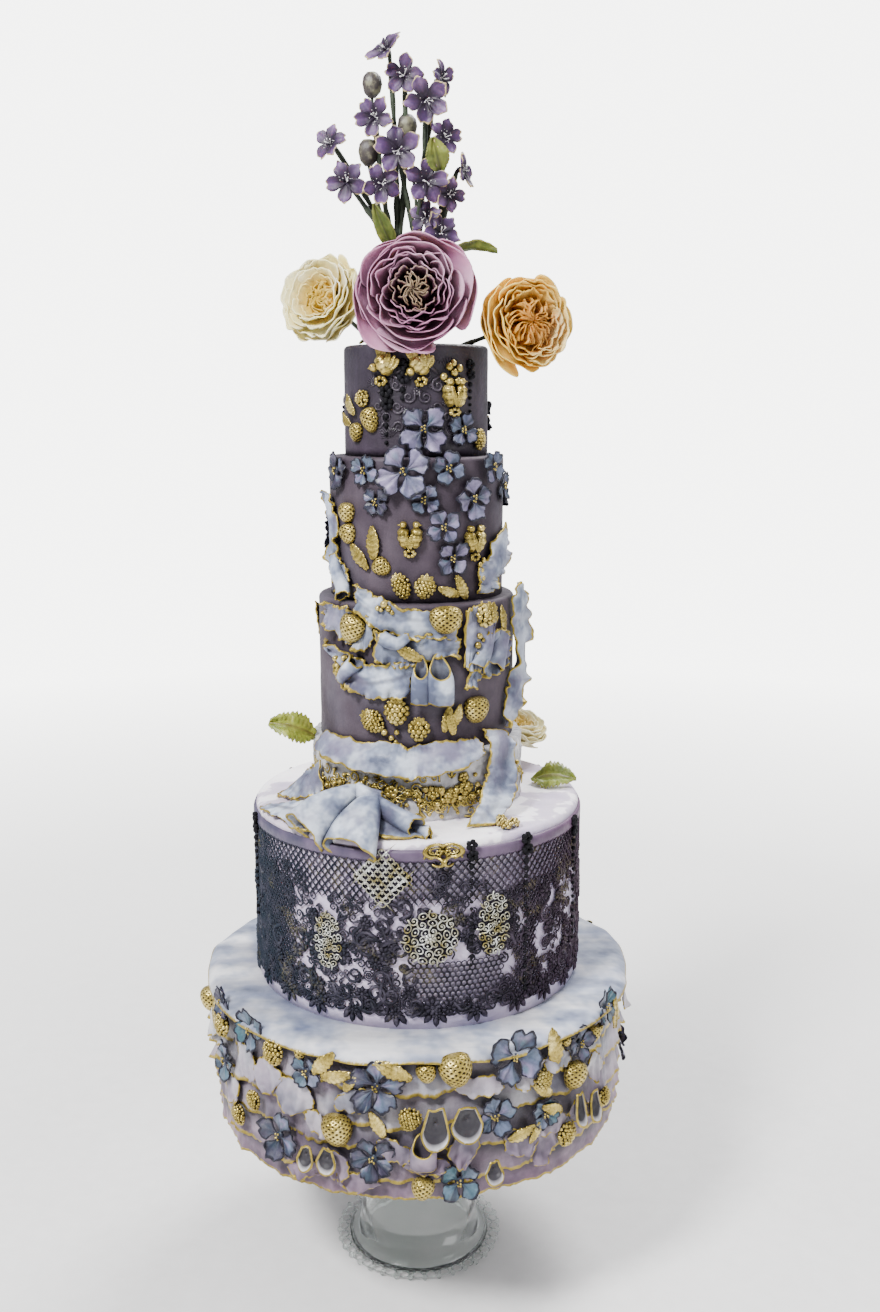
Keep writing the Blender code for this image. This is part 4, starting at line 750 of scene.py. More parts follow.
world = bpy.data.worlds.new("studio")
world.use_nodes = True
sky = world.node_tree
skyNode = partial(wire, sky)
plainSky = sky.nodes["Background"]
plainSky.inputs["Color"].default_value = (0.95, 0.96, 1.0, 1)
upward = skyNode("ShaderNodeSeparateXYZ", None, {0: skyNode("ShaderNodeTexCoord").outputs["Generated"]})
upward = calc(sky, "MULTIPLY_ADD", upward.outputs[1], 0.45,
              calc(sky, "MULTIPLY_ADD", upward.outputs[2], 0.65, 0.3))
upward = skyNode("ShaderNodeClamp", None, {0: upward, 1: 0.12, 2: 1.1}).outputs[0]
sky.links.new(upward, plainSky.inputs["Strength"])
backdrop = skyNode("ShaderNodeBackground", None, {"Color": (1.0, 1.0, 0.985, 1), "Strength": 6.0})
seen = skyNode("ShaderNodeLightPath").outputs["Is Camera Ray"]
sky.links.new(skyNode("ShaderNodeMixShader", None,
                      {0: seen, 1: plainSky.outputs[0], 2: backdrop.outputs[0]}).outputs[0],
              sky.nodes["World Output"].inputs["Surface"])
bpy.context.scene.world = world
lamps = {                                   # place, aim, size, watts
    "key": ((-1.0, -1.3, 2.1), (0, 0, 0.45), 0.45, 105.0),
    "fill": ((1.9, -1.0, 1.2), (0, 0, 0.5), 1.0, 14.0),
    "back": ((0.8, 1.1, 2.3), (0, 0, 0.5), 0.9, 70.0),
}
for name, (spot, aim, size, watts) in lamps.items():
    lamp = bpy.data.lights.new(name, "AREA")
    lamp.energy, lamp.size = watts, size
    holder = bpy.data.objects.new(name, lamp)
    holder.location = spot
    holder.rotation_euler = (Vector(aim) - Vector(spot)).to_track_quat("-Z", "Y").to_euler()
    bpy.context.scene.collection.objects.link(holder)
print("camera and lights set")

# Small motifs


def pearlPart(radius=1.0, sides=8, rings=5):
    profile = [(radius * math.sin(math.pi * k / rings), -radius * math.cos(math.pi * k / rings))
               for k in range(rings + 1)]
    profile[0], profile[-1] = (0, -radius), (0, radius)
    return lathePart(profile, sides)


def ringPart(radius, wireRadius, sides=5, steps=12, squeeze=1.0):
    spin = np.arange(steps) * fullTurn / steps
    bead = np.arange(sides) * fullTurn / sides
    reach = radius + wireRadius * np.cos(bead)[None, :]
    points = np.stack([reach * np.cos(spin)[:, None], reach * np.sin(spin)[:, None] * squeeze,
                       np.broadcast_to(wireRadius * np.sin(bead)[None, :], (steps, sides))], -1)
    index = np.arange(steps * sides).reshape(steps, sides)
    a, b = index, np.roll(index, -1, 0)
    quads = np.stack([a, b, np.roll(b, -1, 1), np.roll(a, -1, 1)], -1).reshape(-1, 4)
    return part(points, quads)


def scrollPart(size, turns=1.35, steps=15, thick=0.09, sides=4):
    s = np.linspace(0, 1, steps)
    angle = fullTurn * turns * s
    reach = size * (1 - 0.85 * s ** 0.8) * 0.5
    path = np.stack([reach * np.cos(angle), reach * np.sin(angle), 0 * s], -1)
    path[0] += (0.05 * size, -0.25 * size, 0)
    return tubePart(path, size * thick * (1.15 - 0.55 * s), sides)


def rosettePart(petals=6, lift=0.35, width=0.5):
    # Flat leaf-like petals with a raised middle line, about 1 across the radius
    parts = []
    for k in range(petals):
        a = fullTurn * k / petals
        along = np.array([math.cos(a), math.sin(a), 0])
        side = np.array([-math.sin(a), math.cos(a), 0]) * width * math.sin(math.pi / petals) * 1.6
        up = np.array([0, 0, lift])
        points = [along * 0.15, along * 0.6 + side, along * 1.0, along * 0.6 - side, along * 0.6 + up,
                  along * 0.15 + up * 0.6]
        parts.append(part(points, None,
                          [(0, 1, 5), (5, 1, 4), (1, 2, 4), (2, 3, 4), (3, 5, 4), (3, 0, 5), (0, 3, 1),
                           (1, 3, 2)]))
    parts.append(moved(pearlPart(0.26, 6, 4), lambda p: p * (1, 1, lift * 2.4) + (0, 0, 0.12)))
    return parts


def sprigPart(length=1.0, width=0.34, leaves=3, spread=38):
    parts = []
    for k in range(leaves):
        a = math.radians(-90 + spread * (k - (leaves - 1) / 2))
        size = length * (1.0 if k == leaves // 2 else 0.82)
        along = np.array([math.cos(a), math.sin(a), 0]) * size
        side = np.array([-math.sin(a), math.cos(a), 0]) * size * width * 0.5
        up = np.array([0, 0, 0.16 * size])
        points = [along * 0.02, along * 0.4 + side, along * 0.75 + side * 0.8, along,
                  along * 0.75 - side * 0.8,
                  along * 0.4 - side, along * 0.4 + up, along * 0.75 + up * 0.8]
        parts.append(part(points, [(1, 2, 7, 6), (4, 5, 6, 7), (5, 4, 2, 1)],
                          [(0, 1, 6), (5, 0, 6), (2, 3, 7), (3, 4, 7), (4, 3, 2), (1, 0, 5)]))
    return parts


def roseMotif():
    parts = [ringPart(r, 0.085, 4, 9) for r in (0.3, 0.52)]
    parts += [moved(scrollPart(0.55, 0.7, 7, 0.16), lambda p,
                    a=a: spun(p, a) + 0.62 * np.array([math.cos(math.radians(a)),
                                                       math.sin(math.radians(a)), 0]))
              for a in range(0, 360, 72)]
    parts.append(pearlPart(0.17, 6, 4))
    return parts


keepMotif("pearl", [pearlPart(1.0)])
keepMotif("ring", [ringPart(1.0, 0.2, 4, 10)])
keepMotif("eyelet", [ringPart(0.82, 0.22, 4, 12)])
keepMotif("scroll", [scrollPart(1.0)])
keepMotif("rosette", rosettePart(8))
keepMotif("blossomlet", rosettePart(5, 0.3, 0.75))
keepMotif("sprig", sprigPart())
keepMotif("fringe", sprigPart(1.0, 0.5, 1, 0))
keepMotif("laceRose", roseMotif())
keepMotif("strand", [tubePart([(0, -0.5, 0), (0, 0.5, 0)], 1.0, 4)])
keepMotif("jet", [lathePart([(0, -1), (0.75, -0.75), (1, 0), (0.75, 0.75), (0, 1)], 6)])
keepMotif("fan", [tubePart([(0.1 * math.sin(a), 0.1 * math.cos(a), 0),
                            (0.95 * math.sin(a), 0.95 * math.cos(a), 0)], [0.05, 0.035], 4)
                  for a in np.radians(np.arange(-70, 71, 14))])
print("motifs made:", len(motifObjects))

# The pressed glass stand

standLook = {"loops": 36, "outerLoop": 3.6, "innerLoop": 2.5, "beadRing": 66.8}
glassWall = [(0, 104), (30, 103), (41, 99), (38.5, 72), (41, 36), (46, 10), (48, 1.2), (53, 0.2),
             (57.5, 1.0),
             (58, 3.5), (54.5, 6.3), (52.5, 7.2), (50.5, 6.6), (46.5, 33), (43, 70), (45.5, 88),
             (52, 101), (66, 110),
             (96, 115), (126, 118.6), (128, 121), (127.4, 127), (125.8, 129.7), (0, 129.7)]
makePiece("glassStand", [lathePart(glassWall, 128)], "glass", "glass", "cake_stand")
rows = []
for k in range(standLook["loops"]):
    a = 360 * k / standLook["loops"]
    for reach, size, shift in ((63.2, standLook["outerLoop"], 0.0), (59.4, standLook["innerLoop"], 0.5)):
        b = math.radians(a + shift * 360 / standLook["loops"])
        rows.append((reach * math.cos(b), reach * math.sin(b), 3.2, (0, 0, math.degrees(b)),
                     (size, size * 1.25, size * 0.8)))
scatter("glassLoops", "ring", rows, "glass", "glass")
rows = [(standLook["beadRing"] * math.cos(a), standLook["beadRing"] * math.sin(a), 3.2, (0, 0, 0),
         (2.1, 2.1, 2.4))
        for a in np.arange(standLook["loops"]) * fullTurn / standLook["loops"]
        + math.pi / standLook["loops"]]
scatter("glassBeads", "pearl", rows, "glass", "glass")
print("stand done")

# Tier bodies


def tierBody(radius, base, top, soften, uneven=0.0, columns=180):
    # Rolled paste over cake: a soft upper edge, and a hand-smoothed side that is never quite true
    arc = np.linspace(0, math.pi / 2, 7)
    side = [(radius, z) for z in np.linspace(base, top - soften, 14)]
    edge = [(radius - soften + soften * math.cos(a), top - soften + soften * math.sin(a))
            for a in arc[1:]]
    inward = [(r, top) for r in np.linspace(radius - soften, 2, 10)[1:]]
    whole = lathePart([(0, base), (radius * 0.5, base)] + side + edge + inward + [(0, top)], columns)
    p = whole["points"]
    angle = np.arctan2(p[:, 0], -p[:, 1])
    share = np.clip((p[:, 2] - base) / (top - base), 0, 1)
    push = uneven * (waves(angle, int(radius), (3, 5, 8)) * 0.4
                     + waves(angle * 2 + 9 * share, int(top), (2, 5)) * 0.25)
    reach = np.hypot(p[:, 0], p[:, 1])
    scale = np.where(reach > radius * 0.6, 1 + push / radius, 1.0)
    p[:, 0] *= scale
    p[:, 1] *= scale
    return whole


for tier, node, finishName, slot, soften, uneven in (
        ("lace", "tier_2_lace", "lilac", "lilac_fondant", 5.0, 0.15),
        ("swagged", "tier_4_swagged", "plum", "plum_fondant", 3.5, 0.4),
        ("blossom", "tier_5_blossom", "plum", "plum_fondant", 3.0, 0.4),
        ("damask", "tier_6_damask", "damask", "plum_fondant", 3.0, 0.25)):
    coreRadius, coreBase, coreTop = tierSizes[tier]
    makePiece(tier + "Tier", [tierBody(coreRadius, coreBase + 0.3, coreTop, soften, uneven)], finishName,
              slot, node)

# The lowest tier: its drum, brushed top and five frills
ruffleLook = {
    "frills": ((245.5, 30, 7.5, 9.0), (222.0, 28, 7.0, 10.0), (199.0, 27, 6.5, 10.0),
               (177.0, 26, 6.0, 8.0), (155.0, 20, 3.0, 4.0)),
    "thickness": 1.4, "tear": 3.2, "columns": 480}
coreRadius, coreBase, coreTop = tierSizes["ruffled"]
drum = [(0, coreBase), (coreRadius - 22, coreBase), (coreRadius - 12, coreBase + 1),
        (coreRadius - 5, coreBase + 5), (coreRadius - 2, coreBase + 12)]
drum += [(coreRadius - 2, z) for z in np.linspace(coreBase + 20, coreTop - 4, 10)]
drum += [(coreRadius - 3, coreTop - 1.2), (coreRadius - 6, coreTop - 0.6)]
drum += [(r, coreTop - 0.6) for r in np.linspace(coreRadius - 12, 2, 12)] + [(0, coreTop - 0.6)]
makePiece("ruffledTier", [lathePart(drum, 180)], "ruffle", "ruffled_fondant", "tier_1_ruffled")
lid = np.stack([np.stack([np.full(240, r), np.full(240, h)], -1) for r, h in
                ((60, coreTop + 0.1), (100, coreTop + 0.1), (135, coreTop + 0.1), (150, coreTop + 0.1),
                 (158, coreTop + 0.1),
                 (162, coreTop - 0.4), (165.8, coreTop - 2.4), (167.6, coreTop - 4.2),
                 (168.2, coreTop - 5.4))])
lidAngle = np.arange(240) * fullTurn / 240
lidWave = waves(lidAngle, 4, (7, 11, 19, 33)) * np.array([0, 0, 0, 0, 0.15, 0.4, 0.9, 1.4, 1.6])[:, None]
lidGrid = np.stack([(lid[..., 0] + 0.5 * lidWave) * np.sin(lidAngle),
                    -(lid[..., 0] + 0.5 * lidWave) * np.cos(lidAngle),
                    lid[..., 1] + lidWave], -1)
lidRim = np.repeat(np.array([0, 0, 0, 0, 0, 0.0, 0.0, 0.45, 1.0])[:, None], 240, 1)
makePiece("brushedLid", [sheetPart(lidGrid, 1.0, True, rim=lidRim)], "ruffleTop", "ruffled_fondant")
for number, (height, drop, stand, waviness) in enumerate(ruffleLook["frills"]):
    frill = grow("frill%d" % (number + 1), bpy.data.meshes.new("frillSeed"), frillTree, {
        "Radius": (coreRadius - 1.5) * mm, "Height": height * mm, "Drop": drop * mm,
        "Stand out": stand * mm,
        "Waviness": waviness * mm, "Tear": ruffleLook["tear"] * mm,
        "Thickness": ruffleLook["thickness"] * mm,
        "Columns": ruffleLook["columns"], "Seed": 3.0 + 5.3 * number, "Material": finishes["ruffle"]})
    addToCake(frill, "ruffled_fondant")
print("tiers turned")

# Blossoms


def petalPart(middle, radius, half, seed, cup=0.14, frill=0.05, thick=0.9, tint=0.5, lift=0.6):
    # One fan-shaped petal in polar form, creased from its base and wavy at its end
    rows, columns = 12, 19
    t = np.linspace(0.07, 1, rows)[:, None]
    s = np.linspace(-1, 1, columns)[None, :]
    draw = random.Random(seed)
    edge = (1 - 0.3 * np.abs(s) ** 2.5 + 0.045 * waves(s * 2.6, seed, (1, 2.6, 5), 0.8)
            - 0.09 * np.exp(-((s - draw.uniform(-0.3, 0.3)) / 0.14) ** 2))
    spread = half * draw.uniform(0.86, 1.08) * np.interp(t, (0.07, 0.25, 0.5, 0.7, 0.86, 1),
                                                         (0.36, 0.46, 0.74, 0.92, 0.95, 0.8))
    a = middle + spread * s + 0.05 * t
    r = radius * t * (1 + (edge - 1) * t ** 2) * draw.uniform(0.92, 1.05)
    crease = 0.03 * radius * np.sin(9 * s + draw.uniform(0, 6)) * t ** 0.7
    wave = frill * radius * t ** 2 * waves(s * 2.4, seed + 1, (1, 2, 4), 0.75)
    curl = draw.uniform(-0.5, 1.0) * cup * radius * np.clip(t - 0.6, 0, 1) ** 1.5 * 2.2
    z = lift + radius * cup * t ** 1.3 + crease + wave + curl - 0.07 * radius * s ** 2 * t
    grid = np.stack([r * np.cos(a), r * np.sin(a), z + 0 * a], -1)
    fromEdge = np.minimum((1 - t) * radius + 0 * s,
                          (1 - np.abs(s)) * spread * np.maximum(r, 1.0) * (1 + 2.5 * (1 - t)))
    rim = np.clip(1.3 - fromEdge / (0.085 * radius + 0.55), 0, 1)
    streak = (0.8 * np.clip(np.sin(9 * s + seed), 0, 1) ** 3 * (1.1 - t)
              + 0.85 * np.exp(-fromEdge / (0.075 * radius)))
    dark = draw.choice((0, 0, 0.8)) * np.exp(-((s - draw.uniform(-0.8, 0.8)) / 0.4) ** 2)
    teal = draw.choice((0, 0.75, 0.95)) * np.exp(-((s - draw.uniform(-0.9, 0.9)) / 0.55) ** 2
                                                 - ((t - draw.uniform(0.25, 0.7)) / 0.32) ** 2)
    return sheetPart(grid, thick, rim=rim, tint=tint + (0.98 - tint) * teal,
                     deep=np.clip(np.maximum(1.1 - t * 1.6, streak) + dark, 0, 1))


def blossomParts(radius, petals, seed, tint, cup=0.14):
    core = lathePart([(0, 0.1), (3.4, 0.3), (2.6, 1.9), (1.0, 2.4), (0, 2.4)], 12, deep=1.0, tint=0.0)
    parts, step = [core], fullTurn / petals
    for k in range(petals):
        lift = 0.7 + 0.7 * (k % 2)
        half = step * (0.53 if petals == 4 else 0.56)
        parts.append(petalPart(step * k, radius, half, 31 * seed + k, cup=cup,
                               tint=tint + 0.06 * math.sin(2.3 * k + seed), lift=lift))
    return parts


blossomLook = {     # azimuth, height, radius, turn, layer, tone and tier of each
    "blossom_01": (7, 668, 18.5, 40, 0, 0.7, "damask"),
    "blossom_02": (39, 667, 12.5, 60, 0, 0.5, "damask"),
    "blossom_03": (-6, 639, 20.0, 30, 1, 0.66, "blossom"),
    "blossom_04": (-32, 639, 12.0, 60, 0, 0.4, "blossom"),
    "blossom_05": (-59, 638, 14.0, 20, 0, 0.06, "blossom"),
    "blossom_06": (-24, 617, 11.2, 45, 0, 0.08, "blossom"),
    "blossom_07": (6, 619, 12.5, 50, 0, 0.46, "blossom"),
    "blossom_08": (21, 641, 12.6, 70, 0, 0.45, "blossom"),
    "blossom_09": (54, 641, 13.0, 55, 0.6, 0.5, "blossom"),
    "blossom_10": (39, 619, 17.0, 10, 0, 0.72, "blossom"),
    "blossom_11": (75, 626, 13.0, 35, 0, 0.28, "blossom"),
    "blossom_12": (17, 600, 13.0, 30, 1, 0.66, "blossom"),
    "blossom_13": (24, 577, 13.5, 40, 0, 0.7, "blossom"),
}
pearlRows = []


def addPearls(azimuth, height, reach, seed, size=0.85):
    draw = random.Random(seed)
    for k in range(5):
        a = fullTurn * k / 5 + draw.uniform(-0.3, 0.3)
        far = 0.0 if k == 0 else 2.2
        spot = around(azimuth + math.degrees(far * math.cos(a) / reach), height + far * math.sin(a),
                      reach + (0.8 if k == 0 else 0))
        pearlRows.append((*spot, (0, 0, 0), size))


for seed, (node, (azimuth, height, size, spin, layer, tint, tier)) in enumerate(blossomLook.items()):
    reach = tierSizes[tier][0] + 0.6 + 4.4 * layer
    parts = [onTier(p, azimuth, height, reach, spin) for p in blossomParts(size, 4, seed + 1, tint)]
    makePiece(node.replace("_", ""), parts, "blossom", "sugar_blossom", node)
    addPearls(azimuth, height, reach + 2.9, seed)

backStart, backEnd = 74, 286


def backPlaces(seed, count, low, high):
    draw = random.Random(seed)
    return [(backStart + (backEnd - backStart) * (k + 0.5) / count + draw.uniform(-3, 3),
             draw.uniform(low, high), draw.random())
            for k in range(count)]


lowBlossoms = (     # azimuth, height, width, turn, petals, tone
    (-46, 241, 33, 20, 4, 0.95), (-27, 226, 26, 50, 4, 0.9), (-9, 224, 42, 10, 5, 0.22),
    (25, 239, 43, 60, 4, 0.4), (46, 231, 28, 0, 4, 0.12), (58, 246, 30, 30, 4, 0.95),
    (-36, 169, 37, 75, 4, 0.16), (-10, 169, 34, 40, 5, 0.14), (11, 151, 32, 45, 4, 0.97),
    (20, 197, 30, 20, 4, 0.42), (34, 188, 26, 50, 4, 0.92), (-60, 200, 32, 15, 4, 0.9),
    (-61, 246, 28, 65, 4, 0.2))
lowParts = []
frillReach, pearlReach = 164.5, 168.3
for number, (azimuth, height, width, spin, petals, tint) in enumerate(lowBlossoms):
    lowParts += [onTier(p, azimuth, height, frillReach, spin, 6)
                 for p in blossomParts(width / 2, petals, 60 + number, tint, 0.2)]
    addPearls(azimuth, height, pearlReach, 60 + number)
for number, (azimuth, height, share) in enumerate(backPlaces(7, 5, 158, 243)):
    lowParts += [onTier(p, azimuth, height, frillReach, 90 * share, 6)
                 for p in blossomParts(13 + 8 * share, 4, 90 + number, 0.1 + 0.85 * share, 0.2)]
    addPearls(azimuth, height, pearlReach, 90 + number)
makePiece("lowBlossoms", lowParts, "blossom", "sugar_blossom")
backParts = []
for tier, node, count, low, high in (("damask", "tier_6_damask", 3, 662, 690),
                                     ("blossom", "tier_5_blossom", 5, 570, 634),
                                     ("swagged", "tier_4_swagged", 2, 455, 470)):
    for number, (azimuth, height, share) in enumerate(backPlaces(len(node) + count, count, low, high)):
        reach = tierSizes[tier][0] + 0.8
        backParts += [onTier(p, azimuth, height, reach, 90 * share)
                      for p in blossomParts(12 + 4 * share, 4, 120 + number, 0.2 + 0.5 * share)]
        addPearls(azimuth, height, reach + 2.6, 120 + number)
makePiece("backBlossoms", backParts, "blossom", "sugar_blossom")
scatter("blossomPearls", "pearl", pearlRows, "gold", "gold_lustre")
print("blossoms pressed on")

# Gold strawberries, brambles, birds and leaves


def berrySurface(u, v, width, length, depth, pointed=0.22):
    # u runs round from 0, the front half first, and v from the top to the tip
    wide = np.sin(v) ** 0.75 * (1 + pointed * np.cos(v))
    rise = np.where(np.sin(u) > 0, np.sin(u), 0.14 * np.sin(u))
    return np.stack([0.5 * width * wide * np.cos(u), 0.5 * length * np.cos(v) + 0 * u,
                     depth * wide * rise], -1)


def closedBody(grid, deep):
    # Rings of points from the top to the tip, with a point in the middle of each end
    index = np.arange(grid.shape[0] * grid.shape[1]).reshape(grid.shape[:2])
    following = np.roll(index, -1, 1)
    last = index.size
    points = np.concatenate([grid.reshape(-1, 3), grid[:1].mean(1), grid[-1:].mean(1)])
    quads = np.stack([index[:-1], index[1:], following[1:], following[:-1]], -1).reshape(-1, 4)
    caps = [np.stack([index[0], following[0], 0 * index[0] + last], -1),
            np.stack([following[-1], index[-1], 0 * index[-1] + last + 1], -1)]
    return part(points, quads, np.concatenate(caps), deep=np.concatenate([deep.reshape(-1), (0, 0)]))


def strawberryPart(width, length, depth, pitch=2.5, samples=5):
    # A dome covered with a net of staggered pits
    across = max(5, round(0.75 * math.pi * 0.5 * width / pitch))
    down = max(5, round(0.5 * math.pi * length / pitch))
    front = np.linspace(0, math.pi, across * samples + 1)
    back = np.linspace(math.pi, fullTurn, 11)[1:-1]
    u = np.concatenate([front, back])[None, :]
    v = np.linspace(0.04, math.pi - 0.03, down * samples)[:, None]
    p, q = u / math.pi * across, v / math.pi * down
    knob = (np.abs(np.sin((p + q) * math.pi / 2 + math.pi / 4))
            * np.abs(np.sin((p - q) * math.pi / 2 + math.pi / 4))) ** 0.75
    knob = knob * (u < math.pi) * np.sin(v) ** 0.12
    pit = np.clip((knob - 0.38) * 1.7, 0, 1)
    push = -pitch * 0.26 * pit + 0.1 * pitch
    grid = berrySurface(u + 0 * v, v + 0 * u, width + 2 * push, length, depth + 1.6 * push)
    # the pits are marked deep: painted shade in each pit
    return closedBody(grid, np.clip(pit * (u < math.pi) * (np.sin(v) > 0.2), 0, 1))


def goldLeafPart(length, width, seed=1, curl=1.2, thick=0.9):
    t = np.linspace(0, 1, 31)[:, None]
    s = np.linspace(-1, 1, 11)[None, :]
    teeth = np.abs(((t * 6.5 - 0.6 * np.abs(s)) % 1) - 0.5) * 2
    swell = np.sin(math.pi * np.clip(t * 0.93 + 0.05, 0, 1)) ** 0.7
    half = 0.5 * width * swell * (1 + 0.2 * (teeth - 0.6) * np.abs(s) ** 2)
    veins = 0.07 * width * (teeth - 0.5) * np.abs(s) ** 0.4
    z = (1.0 + curl * np.sin(math.pi * t) * 0.7 - 0.09 * width * np.abs(np.abs(s) - 0.45) + veins
         + 0.1 * width * np.maximum(1 - np.abs(s) * 5, 0))
    z = z + 0.05 * width * waves(t * 4, seed, (1, 3)) * s
    grid = np.stack([half * s + 0.12 * width * np.sin(2.2 * t + seed), (t - 0.5) * length + 0 * s,
                     z + 0 * s], -1)
    # deep marks the grooves between the teeth: painted shade
    return sheetPart(grid, thick, deep=np.clip(1.3 * (0.45 - teeth) + 0 * s, 0, 1))


def feathered(width, length, depth, rowCount=16, columnCount=22, scales=0.09):
    # A plump closed body with rows of little overlapping feathers
    u = (np.arange(columnCount) * fullTurn / columnCount)[None, :]
    v = np.linspace(0.06, math.pi - 0.06, rowCount)[:, None]
    stagger = np.cos(columnCount / 3 * u + math.pi * np.floor(9 * v / fullTurn))
    bump = 1 + scales * np.maximum(np.sin(9 * v), 0) * (0.6 + 0.4 * stagger)
    grid = berrySurface(u + 0 * v, v + 0 * u, width * bump, length, depth * bump, 0.12)
    gaps = 0 * (u + v)
    if scales > 0.1:
        # painted shade in the gaps between the feather rows
        gaps = 0.75 * np.clip(-np.sin(9 * v) + 0.25 * np.cos(columnCount / 3 * u), 0, 1) * np.sin(v)
    return closedBody(grid, gaps)


def shifted(piece, x=0.0, y=0.0, z=0.0, spin=0.0, lean=0.0, swing=0.0):
    return moved(piece, lambda p: spun(p, spin, lean, swing) + np.array([x, y, z]))


def birdParts(size, pair=True):
    # Plump birds on a twig of round leaves: a pair sits upright, a single one faces left with its tail up
    parts, s = [], size
    if pair:
        for x, flip in ((-0.19, 1), (0.2, -1)):
            parts.append(shifted(feathered(0.42 * s, 0.74 * s, 0.3 * s, 26, 30, 0.14), x * s, 0.0, 0,
                                 8 * flip))
            parts.append(shifted(feathered(0.24 * s, 0.25 * s, 0.22 * s, 12, 16, 0.05),
                                 (x - 0.02 * flip) * s, 0.44 * s, 0.05 * s))
            parts.append(shifted(lathePart([(0, -0.08 * s), (0.05 * s, -0.04 * s), (0, 0.09 * s)], 6),
                                 (x - 0.15 * flip) * s, 0.45 * s, 0.14 * s, 0, 0, -80 * flip))
            parts.append(shifted(goldLeafPart(0.5 * s, 0.17 * s, 3, 0.4, 1.0), (x + 0.13 * flip) * s,
                                 -0.1 * s, 0.2 * s, 12 * flip))
    else:
        parts.append(shifted(feathered(0.5 * s, 0.7 * s, 0.32 * s, 26, 30, 0.14), 0.02 * s, -0.04 * s, 0,
                             28))
        parts.append(shifted(feathered(0.25 * s, 0.27 * s, 0.24 * s, 12, 16, 0.05), -0.3 * s, -0.12 * s,
                             0.07 * s))
        parts.append(shifted(lathePart([(0, -0.08 * s), (0.055 * s, -0.04 * s), (0, 0.12 * s)], 6),
                             -0.45 * s, -0.14 * s, 0.12 * s, 80))
        for j in range(3):                  # the tail, then the lifted wing
            parts.append(shifted(goldLeafPart(0.5 * s, 0.16 * s, j, 0.3, 1.0), (-0.17 + 0.1 * j) * s,
                                 0.4 * s, 0.08 * s, 14 - 12 * j))
            parts.append(shifted(goldLeafPart((0.52 - 0.07 * j) * s, 0.17 * s, 5 + j, 0.6, 1.1),
                                 (0.18 + 0.09 * j) * s, (0.1 - 0.06 * j) * s, (0.2 - 0.03 * j) * s,
                                 -12 - 14 * j))
    for k in range(7):
        a = fullTurn * k / 7
        parts.append(shifted(pearlPart(0.075 * size), (0.15 * math.cos(a) - (0 if pair else 0.1)) * size,
                             (0.1 * math.sin(a) - 0.52) * size, 0.08 * size))
    return parts


fruitLook = {       # azimuth, height, width, length, base radius, turn
    "fruit_strawberry_1": (-48, 608, 14.5, 15, 65.6, 0),
    "fruit_strawberry_2": (-47, 593, 14.5, 15, 65.6, 20),
    "fruit_strawberry_3": (-21, 571, 13, 14, 65.6, 60), "fruit_strawberry_4": (16, 535, 23, 20, 79.9, 0),
    "fruit_strawberry_5": (-35, 527, 20, 22, 78.2, -20), "fruit_strawberry_6": (36, 466, 20, 20, 74.6, 0),
    "fruit_strawberry_7": (-36, 674, 14, 18, 53.6, 18),
    "fruit_bramble_1": (-8, 557, 12, 17, 65.6, 20), "fruit_bramble_2": (6, 556, 14, 14, 65.6, -10),
    "fruit_bramble_3": (37, 536, 16, 14, 82.6, -30), "fruit_bramble_4": (-23, 459, 15, 16, 74.6, 50),
    "fruit_bramble_5": (-10, 467, 16, 17, 74.6, 0), "fruit_bramble_6": (2, 454, 14, 14, 74.6, 0),
}
ballRows = []


def addBalls(azimuth, height, radius, width, length, spin, size, seed, lean=0.0):
    # Round drupelets heaped over a bramble
    draw = random.Random(seed)
    step, spots = 1.7 * size, []
    wide, tall = 0.5 * width - 0.5 * size, 0.5 * length - 0.5 * size
    for row in range(-9, 10):
        for column in range(-9, 10):
            x = (column + 0.5 * (row % 2)) * step + draw.uniform(-0.2, 0.2) * size
            y = row * 0.87 * step + draw.uniform(-0.2, 0.2) * size
            away = math.hypot(x / wide * (1 - 0.25 * y / tall), y / tall)
            if away <= 1.0:
                spots.append((x, y, 0.42 * min(width, length) * math.sqrt(1 - 0.7 * away ** 2)))
    count = int(math.pi * (wide + tall) / (1.9 * size))
    for k in range(count):                  # the lowest ring, against the tier
        a = fullTurn * k / count
        spots.append((1.04 * wide * math.cos(a) * (1 + 0.25 * math.sin(a)), 1.04 * tall * math.sin(a),
                      0.16 * min(width, length)))
    for spot in spots:
        spot = spun(np.array(spot)[None], spin, lean)[0]
        position = around(azimuth + math.degrees(spot[0] / radius), height + spot[1], radius + spot[2])
        ballRows.append((*position, (0, 0, 0), size * draw.uniform(0.86, 1.18)))


def capParts(width, seed):
    return [shifted(goldLeafPart(width * 0.6, width * 0.34, seed + k, 0.8, 0.8),
                    width * 0.22 * math.sin(a), width * 0.2 * math.cos(a), 0.2 * width,
                    -math.degrees(a), 0, 0) for k, a in enumerate(np.radians((-75, -35, 0, 40, 80)))]


for seed, (node, (azimuth, height, width, length, baseRadius, spin)) in enumerate(fruitLook.items()):
    depth = 0.42 * min(width, length)
    if "bramble" in node:
        body = feathered(width * 0.74, length * 0.78, depth * 0.75, 10, 14, 0.0)
        # the whole body under the drupelets is marked deep: painted shade between the balls
        body["deep"][:] = 1.0
        parts = [onTier(body, azimuth, height, baseRadius, spin)]
        parts += [onTier(shifted(p, 0, length * 0.36, 0), azimuth, height, baseRadius, spin)
                  for p in capParts(width * 0.8, seed)]
        addBalls(azimuth, height, baseRadius, width, length, spin,
                 1.45 if width < 15.5 and node[-1] != "6" else 1.95, seed)
    else:
        parts = [onTier(strawberryPart(width, length, depth, 1.3 + 0.025 * width), azimuth, height,
                        baseRadius, spin)]
    makePiece(node.replace("_", ""), parts, "gold", "gold_lustre", node)

